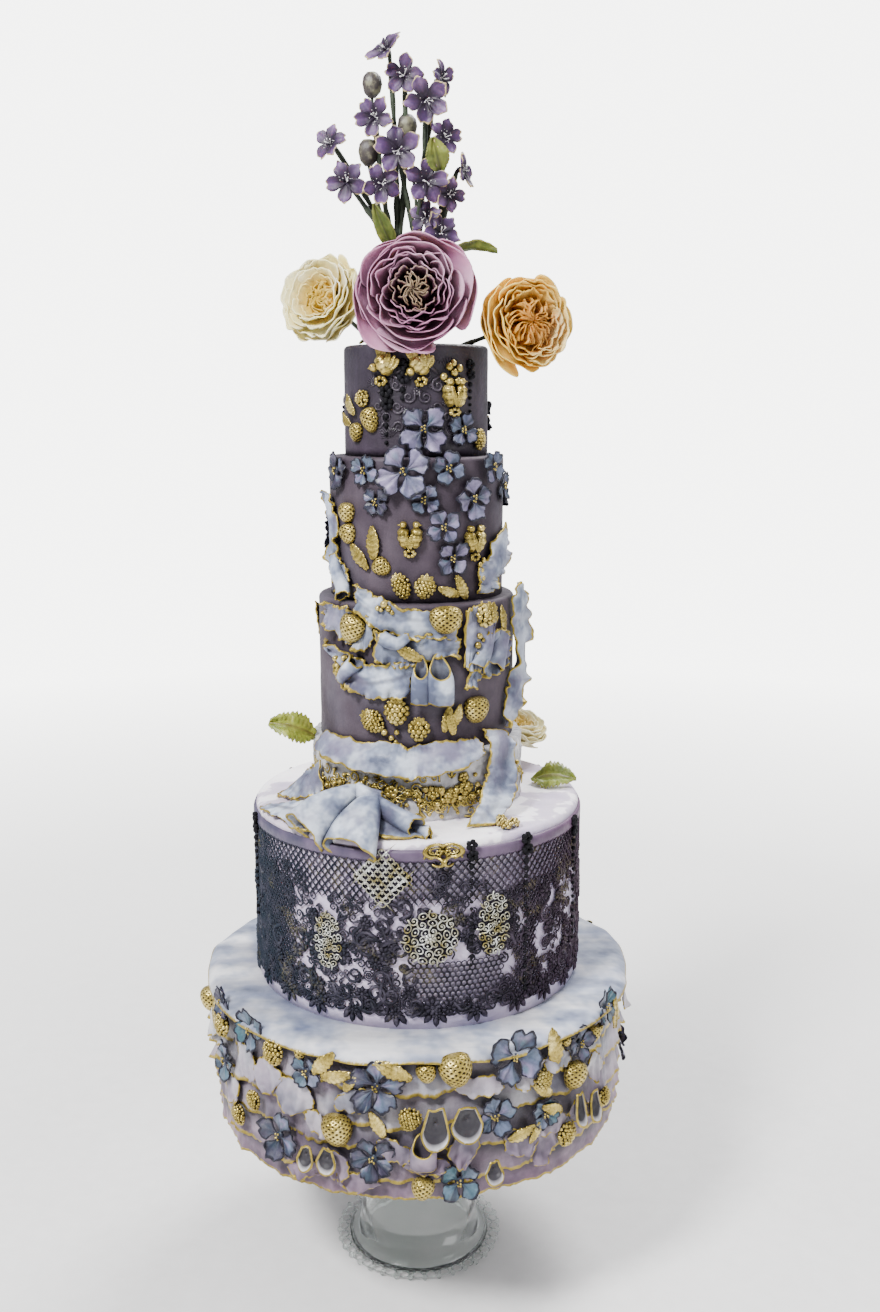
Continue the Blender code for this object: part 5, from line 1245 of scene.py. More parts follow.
lowFruit = (        # azimuth, height, size and kind of the fruit on the lowest tier
    (-37, 233, 18, "bramble"), (3, 235, 15, "strawberry"), (10, 236, 25, "strawberry"),
    (33, 216, 16, "bramble"), (44, 208, 21, "strawberry"), (52, 231, 13, "strawberry"),
    (-60, 229, 18, "bramble"), (-45, 187, 14, "bramble"), (-52, 167, 15, "bramble"),
    (-19, 187, 24, "strawberry"), (-1, 201, 16, "bramble"), (2, 147, 17, "strawberry"),
    (41, 165, 17, "bramble"), (58, 173, 14, "bramble"), (-29, 238, 9, "strawberry"),
    (41, 237, 8, "strawberry"), (55, 232, 8, "strawberry"))
goldParts = [onTier(strawberryPart(12, 14, 5.5, 1.5), -51, 665, 53.6, -6)]
addBalls(-43, 689, 53.6, 11, 11, 20, 1.3, 77)
addBalls(57, 660, 53.8, 11, 14, 0, 1.4, 78)
for azimuth, height, share in backPlaces(11, 5, 150, 245):
    lowFruit += ((azimuth + 20, height, 11 + 13 * share, "strawberry" if share > 0.5 else "bramble"),)
for number, (azimuth, height, size, kind) in enumerate(lowFruit):
    reach = 164.6
    if kind == "strawberry":
        goldParts.append(onTier(strawberryPart(size * 0.92, size, size * 0.46, 1.3 + 0.025 * size),
                                azimuth, height, reach, 12 * math.sin(number)))
    else:
        body = feathered(size * 0.7, size * 0.78, size * 0.34, 10, 14, 0.0)
        # the whole body under the drupelets is marked deep: painted shade between the balls
        body["deep"][:] = 1.0
        goldParts.append(onTier(body, azimuth, height, reach, 30 * math.sin(number)))
        addBalls(azimuth, height, reach, size * 0.92, size, 30 * math.sin(number),
                 max(1.25, size * 0.085), number + 40)

goldLeaves = (      # azimuth, height, length, turn, radius
    (-27, 588, 21, 5, 65.9), (-37, 577, 20, 38, 65.9), (21, 553, 15, 62, 65.9), (30, 556, 17, 20, 65.9),
    (57, 531, 17, 15, 74.9), (-3, 512, 18, 68, 80.5), (17, 462, 17, -8, 75.6), (22, 464, 16, -24, 76.2),
    (19, 458, 14, 10, 77.0), (-56, 685, 15, 30, 54.4), (-64, 675, 14, 60, 54.2),
    (-22, 236, 18, -35, 165.5), (-19, 229, 17, -70, 165.5), (-5, 236, 20, 65, 165.5),
    (36, 238, 22, 5, 165.5), (-66, 232, 20, -10, 165.5), (64, 236, 22, 8, 165.5),
    (33, 209, 14, 60, 165.5), (27, 180, 16, -70, 165.5), (-9, 196, 15, 30, 165.5),
    (36, 190, 15, 60, 165.5), (120, 235, 19, 40, 165.5), (165, 215, 18, -50, 165.5),
    (205, 236, 19, 70, 165.5), (250, 200, 17, 20, 165.5), (150, 600, 18, 30, 65.9),
    (215, 585, 18, -40, 65.9), (180, 530, 16, 60, 78.5), (140, 700, 15, 20, 54.0),
    (228, 695, 15, -30, 54.0))
for number, (azimuth, height, length, spin, reach) in enumerate(goldLeaves):
    grown = 1.4 if reach > 160 else 1.15
    goldParts.append(onTier(goldLeafPart(length * grown, length * grown * 0.42, number, 2.0), azimuth,
                            height, reach + 0.8, spin))
    if reach > 160 and number % 3 == 0:     # some lie in pairs
        goldParts.append(onTier(goldLeafPart(length, length * 0.42, number + 50, 2.0), azimuth + 3.6,
                                height - 3, reach + 0.8, spin + 48))
birds = (           # azimuth, height, size, turn, radius, a pair or one
    (-23, 713, 23, 0, 53.8, False), (3, 712, 22, 20, 53.8, False), (31, 691, 22, 0, 53.8, True),
    (-3, 592, 21, 0, 65.8, True), (-43, 494, 21, 10, 76.0, True), (40, 588, 21, 0, 65.8, True),
    (170, 690, 20, 0, 53.8, True), (185, 612, 20, 0, 65.8, True))
for azimuth, height, size, spin, reach, pair in birds:
    goldParts += [onTier(p, azimuth, height, reach, spin) for p in birdParts(size, pair)]
lowGold = [p for p in goldParts if p["points"][:, 2].max() < 300]
makePiece("lowGoldMouldings", lowGold, "gold", "gold_lustre")
makePiece("goldMouldings", [p for p in goldParts if p["points"][:, 2].max() >= 300], "gold",
          "gold_lustre")

looseBalls = (      # azimuth, height, radius from the axis, size
    (-19.5, 543, 78.5, 2.2), (-16, 546, 78.8, 2.9), (-13.5, 543, 79, 2.5), (-11.5, 540.5, 79, 2.1),
    (-17.5, 542, 79, 1.8), (45, 567, 68, 2.1), (46, 561, 68, 2.1), (34, 522, 83, 2.3), (36, 519, 83, 1.7),
    (33, 515.5, 83, 2.6), (33.5, 509, 82.5, 1.9), (-17, 452, 76.6, 2.6), (-10, 452.5, 76.6, 2.1),
    (-13, 448, 76.6, 2.2), (-10.5, 445.5, 77.2, 1.7), (-0.5, 478, 76.4, 1.9), (-43, 507, 77, 2.0),
    (22, 704, 55, 2.9), (26.5, 711, 55, 2.9), (30.5, 707, 55, 3.0), (35, 710, 55, 2.9),
    (33.5, 701, 55, 2.9), (28, 700, 55, 2.4), (30, 713.5, 54.6, 2.6), (47, 574, 67.4, 2.1),
    (44, 571, 67.6, 2.1), (-68, 570, 68, 2.0), (-65, 563, 68.5, 2.2))
for azimuth, height, reach, size in looseBalls:
    ballRows.append((*around(azimuth, height, reach), (0, 0, 0), size))
# the little cluster on the lace tier's top
for azimuth, reach in ((34, 111), (37.5, 117), (33.5, 118), (36, 106)):
    centre = around(azimuth, 390.5, reach)
    for k in range(14):
        a, b = 2.4 * k, math.acos(1 - 2 * (k + 0.5) / 16)
        out = np.array([math.sin(b) * math.cos(a), math.sin(b) * math.sin(a), math.cos(b) * 0.8])
        ballRows.append((*(centre + 3.2 * out), (0, 0, 0), 1.5))
scatter("goldDrupelets", "pearl", ballRows, "gold", "gold_lustre")
print("gold fruit, birds and leaves placed:", len(ballRows), "drupelets")

# Ribbon loops


def loopPart(width, drop, depth, seed, thick=1.5, tilt=0.6, narrow=0.5, giltWidth=1.3, throat=0.7):
    # A ribbon bent round into a hanging U that opens forward, so its inner side shows
    rows, half = 13, 0.5 * width
    low = np.linspace(0, math.pi, 17)
    outline = [(-half * narrow * (1 - k / 6), 0) for k in range(6, 0, -1)]
    outline += [(-half * (narrow + (1 - narrow) * k / 8), (half - drop) * k / 8) for k in range(8)]
    outline += [(-half * math.cos(a), half - drop - half * math.sin(a)) for a in low]
    outline += [(half * (1 - (1 - narrow) * k / 8), (half - drop) * (1 - k / 8)) for k in range(1, 9)]
    outline += [(half * narrow * (1 - k / 6), 0) for k in range(1, 6)]
    outline = np.array(outline[::-1])
    x, y = outline[None, :, 0], outline[None, :, 1]
    t = np.linspace(0, 1, rows)[:, None]
    a = (np.arange(len(outline)) * fullTurn / len(outline))[None, :]
    down = np.clip(-y / drop, 0, 1)
    opened = np.interp(t, [0, 0.1, 0.25, 0.5, 0.8, 1], [0.05, throat, 1.12 * throat, 0.88, 0.96, 1.0])
    x = x * opened + 0.5 * waves(a + t, seed + 1, (1, 2)) * t
    y = (-0.42 * drop + (y + 0.42 * drop) * np.maximum(opened, np.minimum(t * 6, 0.74))
         - tilt * depth * t ** 1.2 * down + 0.6 * waves(a, seed + 2, (2, 3, 5)) * t)
    out = (depth - 3.4) * np.maximum(t - 0.08, 0) ** 0.8
    z = 4.4 + out * (0.35 + 0.65 * down) * (1 + 0.1 * waves(a, seed + 3, (2, 5)))
    rim = np.clip(1.25 - (1 - t) * depth / giltWidth, 0, 1) + 0 * a
    # deep is painted shade inside the loop, darkest near the tier
    return sheetPart(np.stack([x, y, z], -1), thick, True, rim=rim,
                     deep=np.clip(1.7 - 1.55 * t, 0, 1) + 0 * a)


def bowLoopPart(width, drop, depth, seed, mouth=0.5, square=0.3, thick=1.0, side=0.0):
    # A ribbon doubled over and hanging: its front lip is lower than its back, so the mouth shows above
    # the front
    rows, columns = 14, 40
    a = (np.arange(columns) * fullTurn / columns)[None, :]
    t = np.linspace(0, 1, rows)[:, None]
    front = 0.5 - 0.5 * np.cos(a)
    topEdge = -drop * mouth * front ** 1.4
    bottom = -drop * (1 - (1 - square) * 0.32 * np.abs(np.sin(a)) ** 2.5) + 0.6 * waves(a, seed, (2, 5))
    y = topEdge + (bottom - topEdge) * t
    share = np.clip(-y / drop, 0, 1)
    wide = 0.5 * width * (0.3 + 0.7 * np.minimum(share * 2.2, 1) ** 0.7)
    deep = depth * (0.4 + 0.6 * np.sin(math.pi * np.clip(share * 0.9 + 0.05, 0, 1)) ** 0.8)
    x = wide * np.sin(a) * (1 + 0.06 * waves(a, seed + 2, (3,))) + side * share
    z = deep * front * (1 + 0.1 * waves(a, seed + 3, (2,))) + 0.6
    rim = np.clip(1.25 - np.minimum(t, 1 - t) * drop / 1.3, 0, 1) + 0 * a
    # deep is painted shade on the inside of the loop's back half
    return sheetPart(np.stack([x, y, z], -1), thick, True, rim=rim, deep=0.9 * (1 - front) + 0 * t)


lowLoops = ((5, 211, 19, 28), (12.3, 210, 21, 23), (-26.5, 172, 13, 15), (-20.8, 174, 14, 15),
            (44, 196, 11, 23), (50, 190, 13, 21), (19, 166, 13, 14))
loopParts = [onTier(loopPart(width, drop * 0.88, 9.0, number), azimuth, height, 165.8)
             for number, (azimuth, height, width, drop) in enumerate(lowLoops)]
makePiece("ribbonLoops", loopParts, "loop", "ruffled_fondant")
makePiece("tiedLoop", [onTier(bowLoopPart(17, 27, 10, 8, 0.5, 0.8, 1.3, 0), 2, 190, frillReach)],
          "ruffle", "ruffled_fondant")


def tornPatch(width, height, seed, curl=3.5, fold=2.5, thick=1.3):
    # A loose scrap of rolled paste with torn gilt edges, folded over itself and lifted at its rim
    t = np.linspace(-0.5, 0.5, 17)[:, None]
    s = np.linspace(-0.5, 0.5, 23)[None, :]
    draw = random.Random(seed)
    corner, slant = draw.choice((-1, 1)), draw.uniform(-0.5, 0.5)
    rounded = 1 - 0.5 * np.clip(np.abs(2 * t), 0, 1) ** 2.5 * draw.uniform(0.4, 1.0)
    x = (s * width * rounded + slant * t * height * 0.7
         + 0.9 * waves(t * 6, seed, (1, 3, 5)) * np.abs(2 * s))
    y = (-t * height * (1 - 0.35 * np.abs(2 * s) ** 2.5)
         + 1.0 * waves(s * 6, seed + 1, (1, 3, 5)) * np.abs(2 * t) - 0.2 * height * s * corner)
    lifted = np.clip(t + 0.15 + s * corner * 0.8, 0, 2) ** 1.6
    lifted = lifted * (1 + 0.6 * waves(s * 5, seed + 3, (1, 2)))
    folds = ((draw.uniform(-0.35, -0.1), 1.0), (draw.uniform(0.1, 0.35), 0.8))
    ridge = sum(np.exp(-((s - middle + 0.35 * slant * t) / 0.09) ** 2) * size for middle, size in folds)
    z = (0.8 + curl * np.maximum(lifted, 0) + fold * ridge * (0.4 + t + 0.5) * 0.7
         + 0.4 * waves(s * 7 + t * 3, seed + 2, (1, 2)))
    edge = np.minimum((0.5 - np.abs(t)) * height + 0 * s, (0.5 - np.abs(s)) * width + 0 * t)
    grid = np.stack([x + 0 * t, y + 0 * s, z], -1)
    return sheetPart(grid, thick,
                     rim=np.clip(1.3 - edge / 1.1, 0, 1)
                     * (0.6 + 0.4 * np.sign(waves(s * 9 + t * 7, seed + 9, (1, 2)) + 0.6)))


patches = (         # azimuth, height, width, drop and turn of loose scraps on the frills
    (-40, 212, 24, 22, 35), (-31, 205, 26, 24, -25), (-48, 214, 18, 24, 15), (-14, 212, 28, 16, 8),
    (-24, 188, 20, 15, -15), (16, 222, 30, 13, -5), (30, 222, 26, 14, 18), (38, 226, 22, 12, -20),
    (27, 172, 22, 20, 10), (34, 165, 24, 18, 60), (12, 176, 16, 24, 5), (-5, 176, 22, 14, -12),
    (-20, 160, 18, 20, 40), (36, 178, 26, 13, -8), (3, 165, 26, 12, 5), (-14, 150, 26, 12, -6),
    (-28, 150, 24, 11, 8), (46, 178, 16, 16, 30), (53, 205, 18, 18, -30), (-56, 183, 20, 20, 20),
    (85, 222, 28, 18, 10), (100, 185, 26, 20, -20), (118, 210, 26, 18, 15), (140, 170, 28, 18, -10),
    (160, 228, 26, 16, 12), (178, 190, 26, 20, 30), (196, 165, 24, 16, -12), (214, 215, 28, 18, 18),
    (233, 180, 24, 20, -25), (256, 222, 28, 16, 8), (272, 190, 26, 18, -14), (288, 215, 22, 18, 20))
makePiece("tornScraps", [onTier(tornPatch(w * 1.2, h * 1.1, 200 + n), azimuth, height, 164.4, spin * 0.6)
                    for n, (azimuth, height, w, h, spin) in enumerate(patches)], "ruffle",
                    "ruffled_fondant")

# Drapes


def alongCurve(points, share):
    # Smooth curve through (azimuth, height, radius) points at many shares at once
    points = np.asarray(points, float)
    spans = len(points) - 1
    position = np.clip(share * spans, 0, spans - 1e-6)
    k = position.astype(int)
    t = (position - k)[:, None]
    padded = np.concatenate([2 * points[:1] - points[1:2], points, 2 * points[-1:] - points[-2:-1]])
    p0, p1, p2, p3 = (padded[k + i] for i in range(4))
    return (p1 + 0.5 * (p2 - p0) * t + 0.5 * (2 * p0 - 5 * p1 + 4 * p2 - p3) * t ** 2
            + 0.5 * (3 * p1 - p0 - 3 * p2 + p3) * t ** 3)


def drapePart(upper, lower, seed, bulge=2.0, pleats=0.0, pleatCount=1.5, flare=1.2, tear=0.8, lean=2.5,
              columns=90, rows=26, thick=1.3):
    s = np.linspace(0, 1, columns)
    high, low = alongCurve(upper, s), alongCurve(lower, s)
    t = np.linspace(0, 1, rows)[:, None]
    tearTop, tearLow = (tear * waves(s * fullTurn, seed + k, (3, 7, 13, 22, 37), 0.68) for k in (1, 2))
    flareTop, flareLow = (flare * (0.7 + 0.9 * waves(s * fullTurn, seed + k, (2, 4, 7, 12), 0.72))
                          for k in (3, 4))
    grid = high[None] * (1 - t[..., None]) + low[None] * t[..., None]
    azimuth, height, reach = grid[..., 0], grid[..., 1], grid[..., 2]
    height = height + tearTop * (1 - t) ** 3 - tearLow * t ** 3
    ends = np.clip(np.minimum(s, 1 - s) * 14, 0, 1)
    azimuth = azimuth + 0.7 * waves(t * 5, seed + 5, (2, 5)) * (1 - ends)
    fold = fullTurn * pleatCount * t + lean * s + 0.6 * np.sin(3 * s + seed) + seed
    crest = (0.5 + 0.5 * np.sin(fold)) ** 1.6 * (0.5 + 0.5 * np.sin(math.pi * s) ** 0.5)
    crest = crest * (0.75 + 0.35 * waves(s * 5, seed + 8, (1, 2)))
    settle = np.sin(math.pi * np.clip(t, 0.02, 0.98)) ** 0.4
    reach = reach + 0.7 + bulge * np.sin(math.pi * t) + 2.2 * pleats * np.maximum(crest, 0) * settle
    turned = np.maximum(flareTop, -0.1) * (1 - t) ** 6 + np.maximum(flareLow, -0.1) * t ** 6
    reach = reach + 1.9 * turned + 0.45 * waves(s * 9 + 2 * t, seed + 6, (1, 2, 3))
    points = around(azimuth, height, reach)
    step = np.linalg.norm(points[0] - points[-1], axis=-1)
    fromEdge = np.minimum(t, 1 - t) * step[None]
    length = np.linalg.norm(np.diff(points[rows // 2], axis=0), axis=-1).sum()
    fromEdge = np.minimum(fromEdge, (np.minimum(s, 1 - s) * length)[None])
    giltWidth = 1.5 * (1 + 0.6 * waves(s * fullTurn, seed + 7, (3, 8, 15)))[None]
    rim = np.clip(1.2 - fromEdge / np.maximum(giltWidth, 0.5), 0, 1)
    # painted shade in the valleys between the pleats
    valleyShade = (0.5 - 0.5 * np.sin(fold)) ** 3 * settle * min(1.0, 0.9 * pleats)
    return sheetPart(points, thick, rim=rim, deep=valleyShade)


def mouthPart(path, widths, depths, seed, roll=0.0, thick=1.2, ends=(False, True), gilt=1.3, slant=0.0):
    # A soft flattened tube along (azimuth, height, radius) points, such as a bow's loop or a rolled edge
    rows, columns = 26, 44
    t = np.linspace(0, 1, rows)
    centre = alongCurve([around(*p) for p in path], t)
    spots = np.linspace(0, 1, len(widths))
    wide, deep = np.interp(t, spots, widths), np.interp(t, spots, depths)
    out = centre * (1, 1, 0)
    out /= np.linalg.norm(out, axis=1, keepdims=True)
    ahead = np.gradient(centre, axis=0)
    ahead /= np.linalg.norm(ahead, axis=1, keepdims=True)
    side = np.cross(ahead, out)
    side /= np.linalg.norm(side, axis=1, keepdims=True)
    out = np.cross(side, ahead)
    a = (np.arange(columns) * fullTurn / columns)[None, :]
    twist = math.radians(roll)
    u = 0.5 * wide[:, None] * np.cos(a) * (1 + 0.07 * waves(a + 2 * t[:, None], seed, (2, 3)))
    v = 0.5 * deep[:, None] * np.sin(a) * (1 + 0.12 * waves(a + t[:, None], seed + 1, (1, 3)))
    u, v = u * math.cos(twist) - v * math.sin(twist), u * math.sin(twist) + v * math.cos(twist)
    ragged = 0.9 * waves(a, seed + 2,
                         (2, 5, 9)) * (t[:, None] ** 4 * ends[1] - (1 - t[:, None]) ** 4 * ends[0])
    ragged = ragged - slant * (0.5 + 0.5 * np.sin(a)) ** 1.5 * t[:, None] ** 2
    grid = (centre[:, None] + side[:, None] * u[..., None] + out[:, None] * v[..., None]
            + ahead[:, None] * ragged[..., None])
    length = np.linalg.norm(np.diff(centre, axis=0), axis=1).sum()
    rim = np.maximum((1.2 - (1 - t) * length / gilt) * ends[1], (1.2 - t * length / gilt) * ends[0])
    # deep is painted shade on the inner side of slanted loops, towards their open end
    return sheetPart(grid, thick, True, rim=np.clip(rim, 0, 1)[:, None] + 0 * a,
                     deep=(0.9 if slant else 0.0) * np.clip(-np.sin(a), 0, 1) * t[:, None] ** 0.5)


drapes = {          # node: upper edge, lower edge as (azimuth, height, radius), then how it hangs
    "drape_fall_left": (((-84, 622, 67), (-78, 612, 66.3), (-72, 594, 66), (-70, 572, 66),
                         (-66, 560, 66), (-58, 549.5, 68)),
                        ((-64, 620, 66), (-60, 609, 66), (-56, 594, 66), (-56, 580, 66), (-50, 570, 66),
                         (-41, 560, 66.4)),
                        {"bulge": 0.8, "pleats": 1.0, "pleatCount": 1.2, "flare": 1.3}),
    "drape_fall_right": (((80, 598, 67), (56, 587, 66), (50, 576, 66), (42, 567, 66), (43, 557, 66),
                          (41, 549.5, 66.5)),
                         ((88, 589, 68), (86, 578, 68), (79, 569, 67), (68, 560, 67), (60, 555, 67),
                          (56, 549.5, 67.5)),
                         {"bulge": 0.8, "pleats": 0.6, "flare": 1.0}),
    "drape_swag_upper": (((-38, 557, 66.4), (-30, 554, 67), (-22, 550.5, 70), (-14, 548, 73.6),
                          (-4, 544, 76.6),
                          (6, 541, 77.2), (16, 539.5, 77.2), (25, 537, 77.2)),
                         ((-35, 546, 75), (-30, 538, 76.6), (-22, 530, 77.2), (-14, 526, 77.2),
                          (-6, 523, 77.2),
                          (4, 521, 77.2), (14, 521, 77.2), (22, 519, 77.2)),
                         {"bulge": 0.8, "pleats": 0.8, "pleatCount": 1.6, "flare": 1.4, "lean": 6.0}),
    "drape_flap_left": (((-62, 540, 75.2), (-55, 542, 75.2), (-46, 541.5, 75.2), (-37, 541, 75.2),
                         (-30, 539, 75.2), (-22, 533, 75.2)),
                        ((-62, 534, 75.2), (-56, 526, 75.2), (-47, 519, 75.2), (-38, 514, 75.2),
                         (-30, 511, 75.2), (-24, 515, 75.2)),
                        {"bulge": 0.6, "pleats": 0.7, "flare": 1.8, "pleatCount": 1.2, "lean": 5.0}),
    "drape_swag_lower": (((-21, 527, 75.6), (-13, 526, 75.6), (-4, 525, 75.6), (6, 525, 75.6),
                          (15, 524, 75.6), (25, 520, 75.6)),
                         ((-22, 505, 75.2), (-14, 501, 75.2), (-6, 501, 75.2), (2, 503, 75.2),
                          (12, 507, 75.2), (24, 507, 75.2)),
                         {"bulge": 1.6, "pleats": 0.9, "pleatCount": 1.2, "flare": 1.8, "lean": 4.0}),
    "drape_swag_third": (((-62, 515, 75.2), (-50, 512, 75.2), (-38, 508, 75.2), (-25, 502, 75.2),
                          (-12, 504, 75.2), (1, 505, 75.2)),
                         ((-60, 508, 75.2), (-47, 497, 75.2), (-38, 483, 75.2), (-29, 478, 75.2),
                          (-17, 476, 75.2), (-4, 481, 75.2)),
                         {"bulge": 1.2, "pleats": 1.2, "pleatCount": 1.8, "flare": 1.8, "lean": 7.0}),
    "drape_knot_right": (((26, 541, 79.6), (32, 544, 79.6), (40, 545, 79.6), (46, 541, 79.6),
                          (46, 534, 79.6)),
                         ((26, 500, 79.6), (29, 497, 79.6), (34, 496, 79.6), (38, 500, 79.6),
                          (42, 512, 79.6)),
                         {"bulge": 0.9, "pleats": 0.5, "flare": 1.0}),
    "drape_fold_right": (((35, 520, 75.2), (43, 524, 75.2), (53, 522, 75.2), (62, 516, 75.2),
                          (65, 508, 75.2)),
                         ((27, 482, 75.2), (34, 486, 75.2), (43, 490, 75.2), (53, 493, 75.2),
                          (61, 497, 75.2)),
                         {"bulge": 0.9, "pleats": 1.7, "pleatCount": 2.4, "flare": 1.6, "lean": 1.0}),
    "drape_ruffle_right": (((70, 556, 76), (68, 540, 75.3), (69, 518, 75.3), (66, 488, 75.3),
                            (60, 470, 75.3), (57, 448, 75.3)),
                           ((80, 552, 81), (84, 536, 82), (86, 510, 83), (84, 488, 82), (74, 466, 80),
                            (66, 447, 77)),
                           {"bulge": 0.8, "pleats": 0.5, "flare": 1.8}),
    "drape_collar": (((-62, 443, 75.4), (-44, 444, 75.4), (-25, 445, 75.4), (-11, 445, 75.4),
                      (-4, 442, 76), (3, 444, 75.4),
                      (16, 446, 75.4), (28, 446, 75.4), (36, 445, 75.4)),
                     ((-64, 429, 85), (-46, 428, 86), (-31, 426, 87), (-16, 423, 88), (-4, 421, 88.5),
                      (3, 424, 88),
                      (16, 424, 88), (27, 430, 87), (35, 436, 86)),
                     {"bulge": 3.0, "pleats": 0.5, "flare": 1.0, "columns": 130}),
    "drape_wrap_right": (((38, 452, 75.4), (40, 441, 83), (38, 425, 83.2), (34, 412, 87), (28, 401, 94),
                          (20, 389, 102)),
                         ((56, 446, 75.4), (60, 438, 82), (60, 424, 84), (54, 408, 89), (45, 397, 97),
                          (32, 388.4, 107)),
                         {"bulge": 1.3, "pleats": 0.8, "pleatCount": 0.8, "flare": 0.9}),
    "drape_wrap_left": (((-60, 422, 83), (-66, 416, 83.4), (-74, 410, 84), (-82, 402, 85)),
                        ((-52, 402, 84), (-58, 396, 92), (-68, 391, 101), (-80, 388.6, 107)),
                        {"bulge": 1.0, "pleats": 0.8, "flare": 0.8, "columns": 60}),
    "drape_lower_bow": (((-66, 390, 106), (-52, 397, 100), (-40, 404, 96), (-29, 411, 93),
                         (-20, 412, 92), (-12, 406, 94), (-4, 396, 99)),
                        ((-68, 388.8, 123), (-56, 389.2, 125), (-44, 388, 127), (-33, 388.8, 125),
                         (-22, 389, 123), (-12, 388.8, 120), (3, 388.6, 117)),
                        {"bulge": 3.0, "pleats": 1.6, "pleatCount": 1.3, "flare": 1.2, "columns": 110,
                         "lean": 5.0}),
    "drape_swag_back": (((98, 538, 75.4), (125, 522, 75.4), (160, 508, 75.4), (195, 506, 75.4),
                         (235, 518, 75.4), (270, 536, 75.4)),
                        ((99, 522, 75.6), (126, 500, 76), (160, 482, 76), (195, 480, 76), (234, 496, 76),
                         (269, 520, 75.6)),
                        {"bulge": 0.9, "pleats": 1.0, "pleatCount": 1.5, "flare": 1.2, "columns": 160}),
}
for seed, (node, (upper, lower, look)) in enumerate(drapes.items()):
    piece = node.replace("drape_", "drape").replace("_", "")
    makePiece(piece, [drapePart(upper, lower, 300 + 9 * seed, **look)], "drape", "drape_fondant", node)
bowParts = [onTier(bowLoopPart(11.5, 36, 8, 1, 0.42, 0.9, 1.1, -1.0), 3.2, 510, 78.3),
            onTier(bowLoopPart(16.5, 38, 10, 2, 0.46, 0.85, 1.1, 2.0), 11.8, 511, 78.3)]
makePiece("drapeBow", bowParts, "drape", "drape_fondant", "drape_bow")
rolls = [           # the big bow's two loops, then the curled ends and pleats of the swags
    mouthPart(((-23, 412, 94), (-28, 409, 108), (-32, 400, 122), (-37, 385, 134)), (9, 20, 30, 34),
              (8, 15, 19, 19), 61, 16, gilt=2.0, slant=8),
    mouthPart(((-25, 413, 97), (-20, 412, 102), (-15, 409, 98)), (10, 12, 9), (9, 12, 9), 71, 0,
              ends=(True, True)),
    mouthPart(((-18, 411, 94), (-18, 406, 110), (-19, 394, 124), (-20, 377, 134.5)), (9, 22, 35, 41),
              (8, 15, 20, 20), 63, -14, gilt=2.0, slant=9),
    mouthPart(((-19, 410, 98), (-9, 403, 110), (2, 394, 119)), (8, 15, 17), (6, 9, 9), 65, -20, gilt=1.6,
              slant=6),
    mouthPart(((-22, 409, 104), (-21, 403, 112), (-20, 395, 120)), (5, 8, 4), (7, 9, 4), 9, 40,
              ends=(True, True)),
    mouthPart(((-7, 395, 101), (0, 391, 110), (5, 390, 120)), (6, 11, 12), (3, 6, 4), 3),
    mouthPart(((-17, 523, 82), (-9, 519, 83.5), (-3, 524, 82)), (9, 8, 6), (11, 9, 6), 4, 20,
              ends=(True, True)),
    mouthPart(((-33, 503, 79), (-38, 495, 81), (-44, 487, 79)), (12, 9, 6), (12, 9, 5), 5, 30,
              ends=(True, True)),
    mouthPart(((-60, 577, 69), (-55, 566, 71), (-48, 556, 72), (-44, 549, 76)), (8, 9, 10, 12),
              (6, 7, 8, 8), 6, 15, ends=(True, True)),
    mouthPart(((43, 523, 80), (38, 508, 81), (33, 495, 80)), (9, 15, 19), (4, 6, 6), 7, 12,
              ends=(True, True), slant=5),
    mouthPart(((57, 521, 79), (50, 508, 80), (46, 494, 79)), (8, 14, 18), (4, 6, 6), 8, -10,
              ends=(True, True), slant=5),
]
makePiece("drapeRolls", rolls, "drape", "drape_fondant")
print("drapes hung")

# Sugar lace round the second tier, flat first and then wrapped

laceLook = {"radius": 127.3, "netLow": 266.0, "netTop": 346.0, "latticeTop": 374.0,
            "latticePitch": 5.6, "netPitch": 4.0}
girth = fullTurn * laceLook["radius"]
windows = [(-31, 318, 7, 9), (-22, 324, 5, 8), (-13, 320, 5, 7), (-4, 303, 7, 8), (-2, 322, 5, 8),
           (-39, 327, 5, 7), (21, 315, 4, 9),
           (37, 320, 5, 13), (-16, 300, 5, 5), (45, 300, 6, 16), (33, 290, 6, 12), (52, 330, 5, 12),
           (58, 295, 5, 14), (-58, 300, 4, 5),
           (-34, 291, 5, 4), (-8, 285, 5, 5), (66, 318, 5, 18), (50, 275, 5, 10), (72, 290, 5, 14),
           (-46, 335, 4, 5), (31, 338, 4, 5),
           (-20, 338, 5, 3), (14, 340, 5, 3), (-66, 320, 4, 12)]
windows += [(85 + 8.5 * k, 300 + 24 * math.sin(2.3 * k), 5, 8 + 3 * math.cos(k)) for k in range(23)]


def roundLace(azimuth):
    # The distance round the lace, in millimetres, that an azimuth comes to
    return math.radians(azimuth) * laceLook["radius"]


def openSpot(azimuth, height, grown=1.0):
    # Places where the pale tier shows through
    azimuth = (azimuth + 180) % 360 - 180
    if -1 < azimuth < 30 and 268 < height < 299:
        return True                         # the net with round holes
    return any((((azimuth - a + 180) % 360 - 180) * 2.22 / (w * grown)) ** 2
               + ((height - h) / (t * grown)) ** 2 < 1 for a, h, w, t in windows)


def hasNet(azimuth):
    # Fine net lies behind the motifs only in some stretches
    azimuth = (azimuth + 180) % 360 - 180
    return any(low < azimuth < high for low, high in ((-85, -44), (33, 46), (95, 135), (-160, -125)))


def hemOf(azimuth):
    # The lower edge of the lace: hanging points all round
    return 259.5 + 2.5 * math.cos(math.radians(azimuth * 16)) + 1.0 * math.sin(math.radians(azimuth * 5))


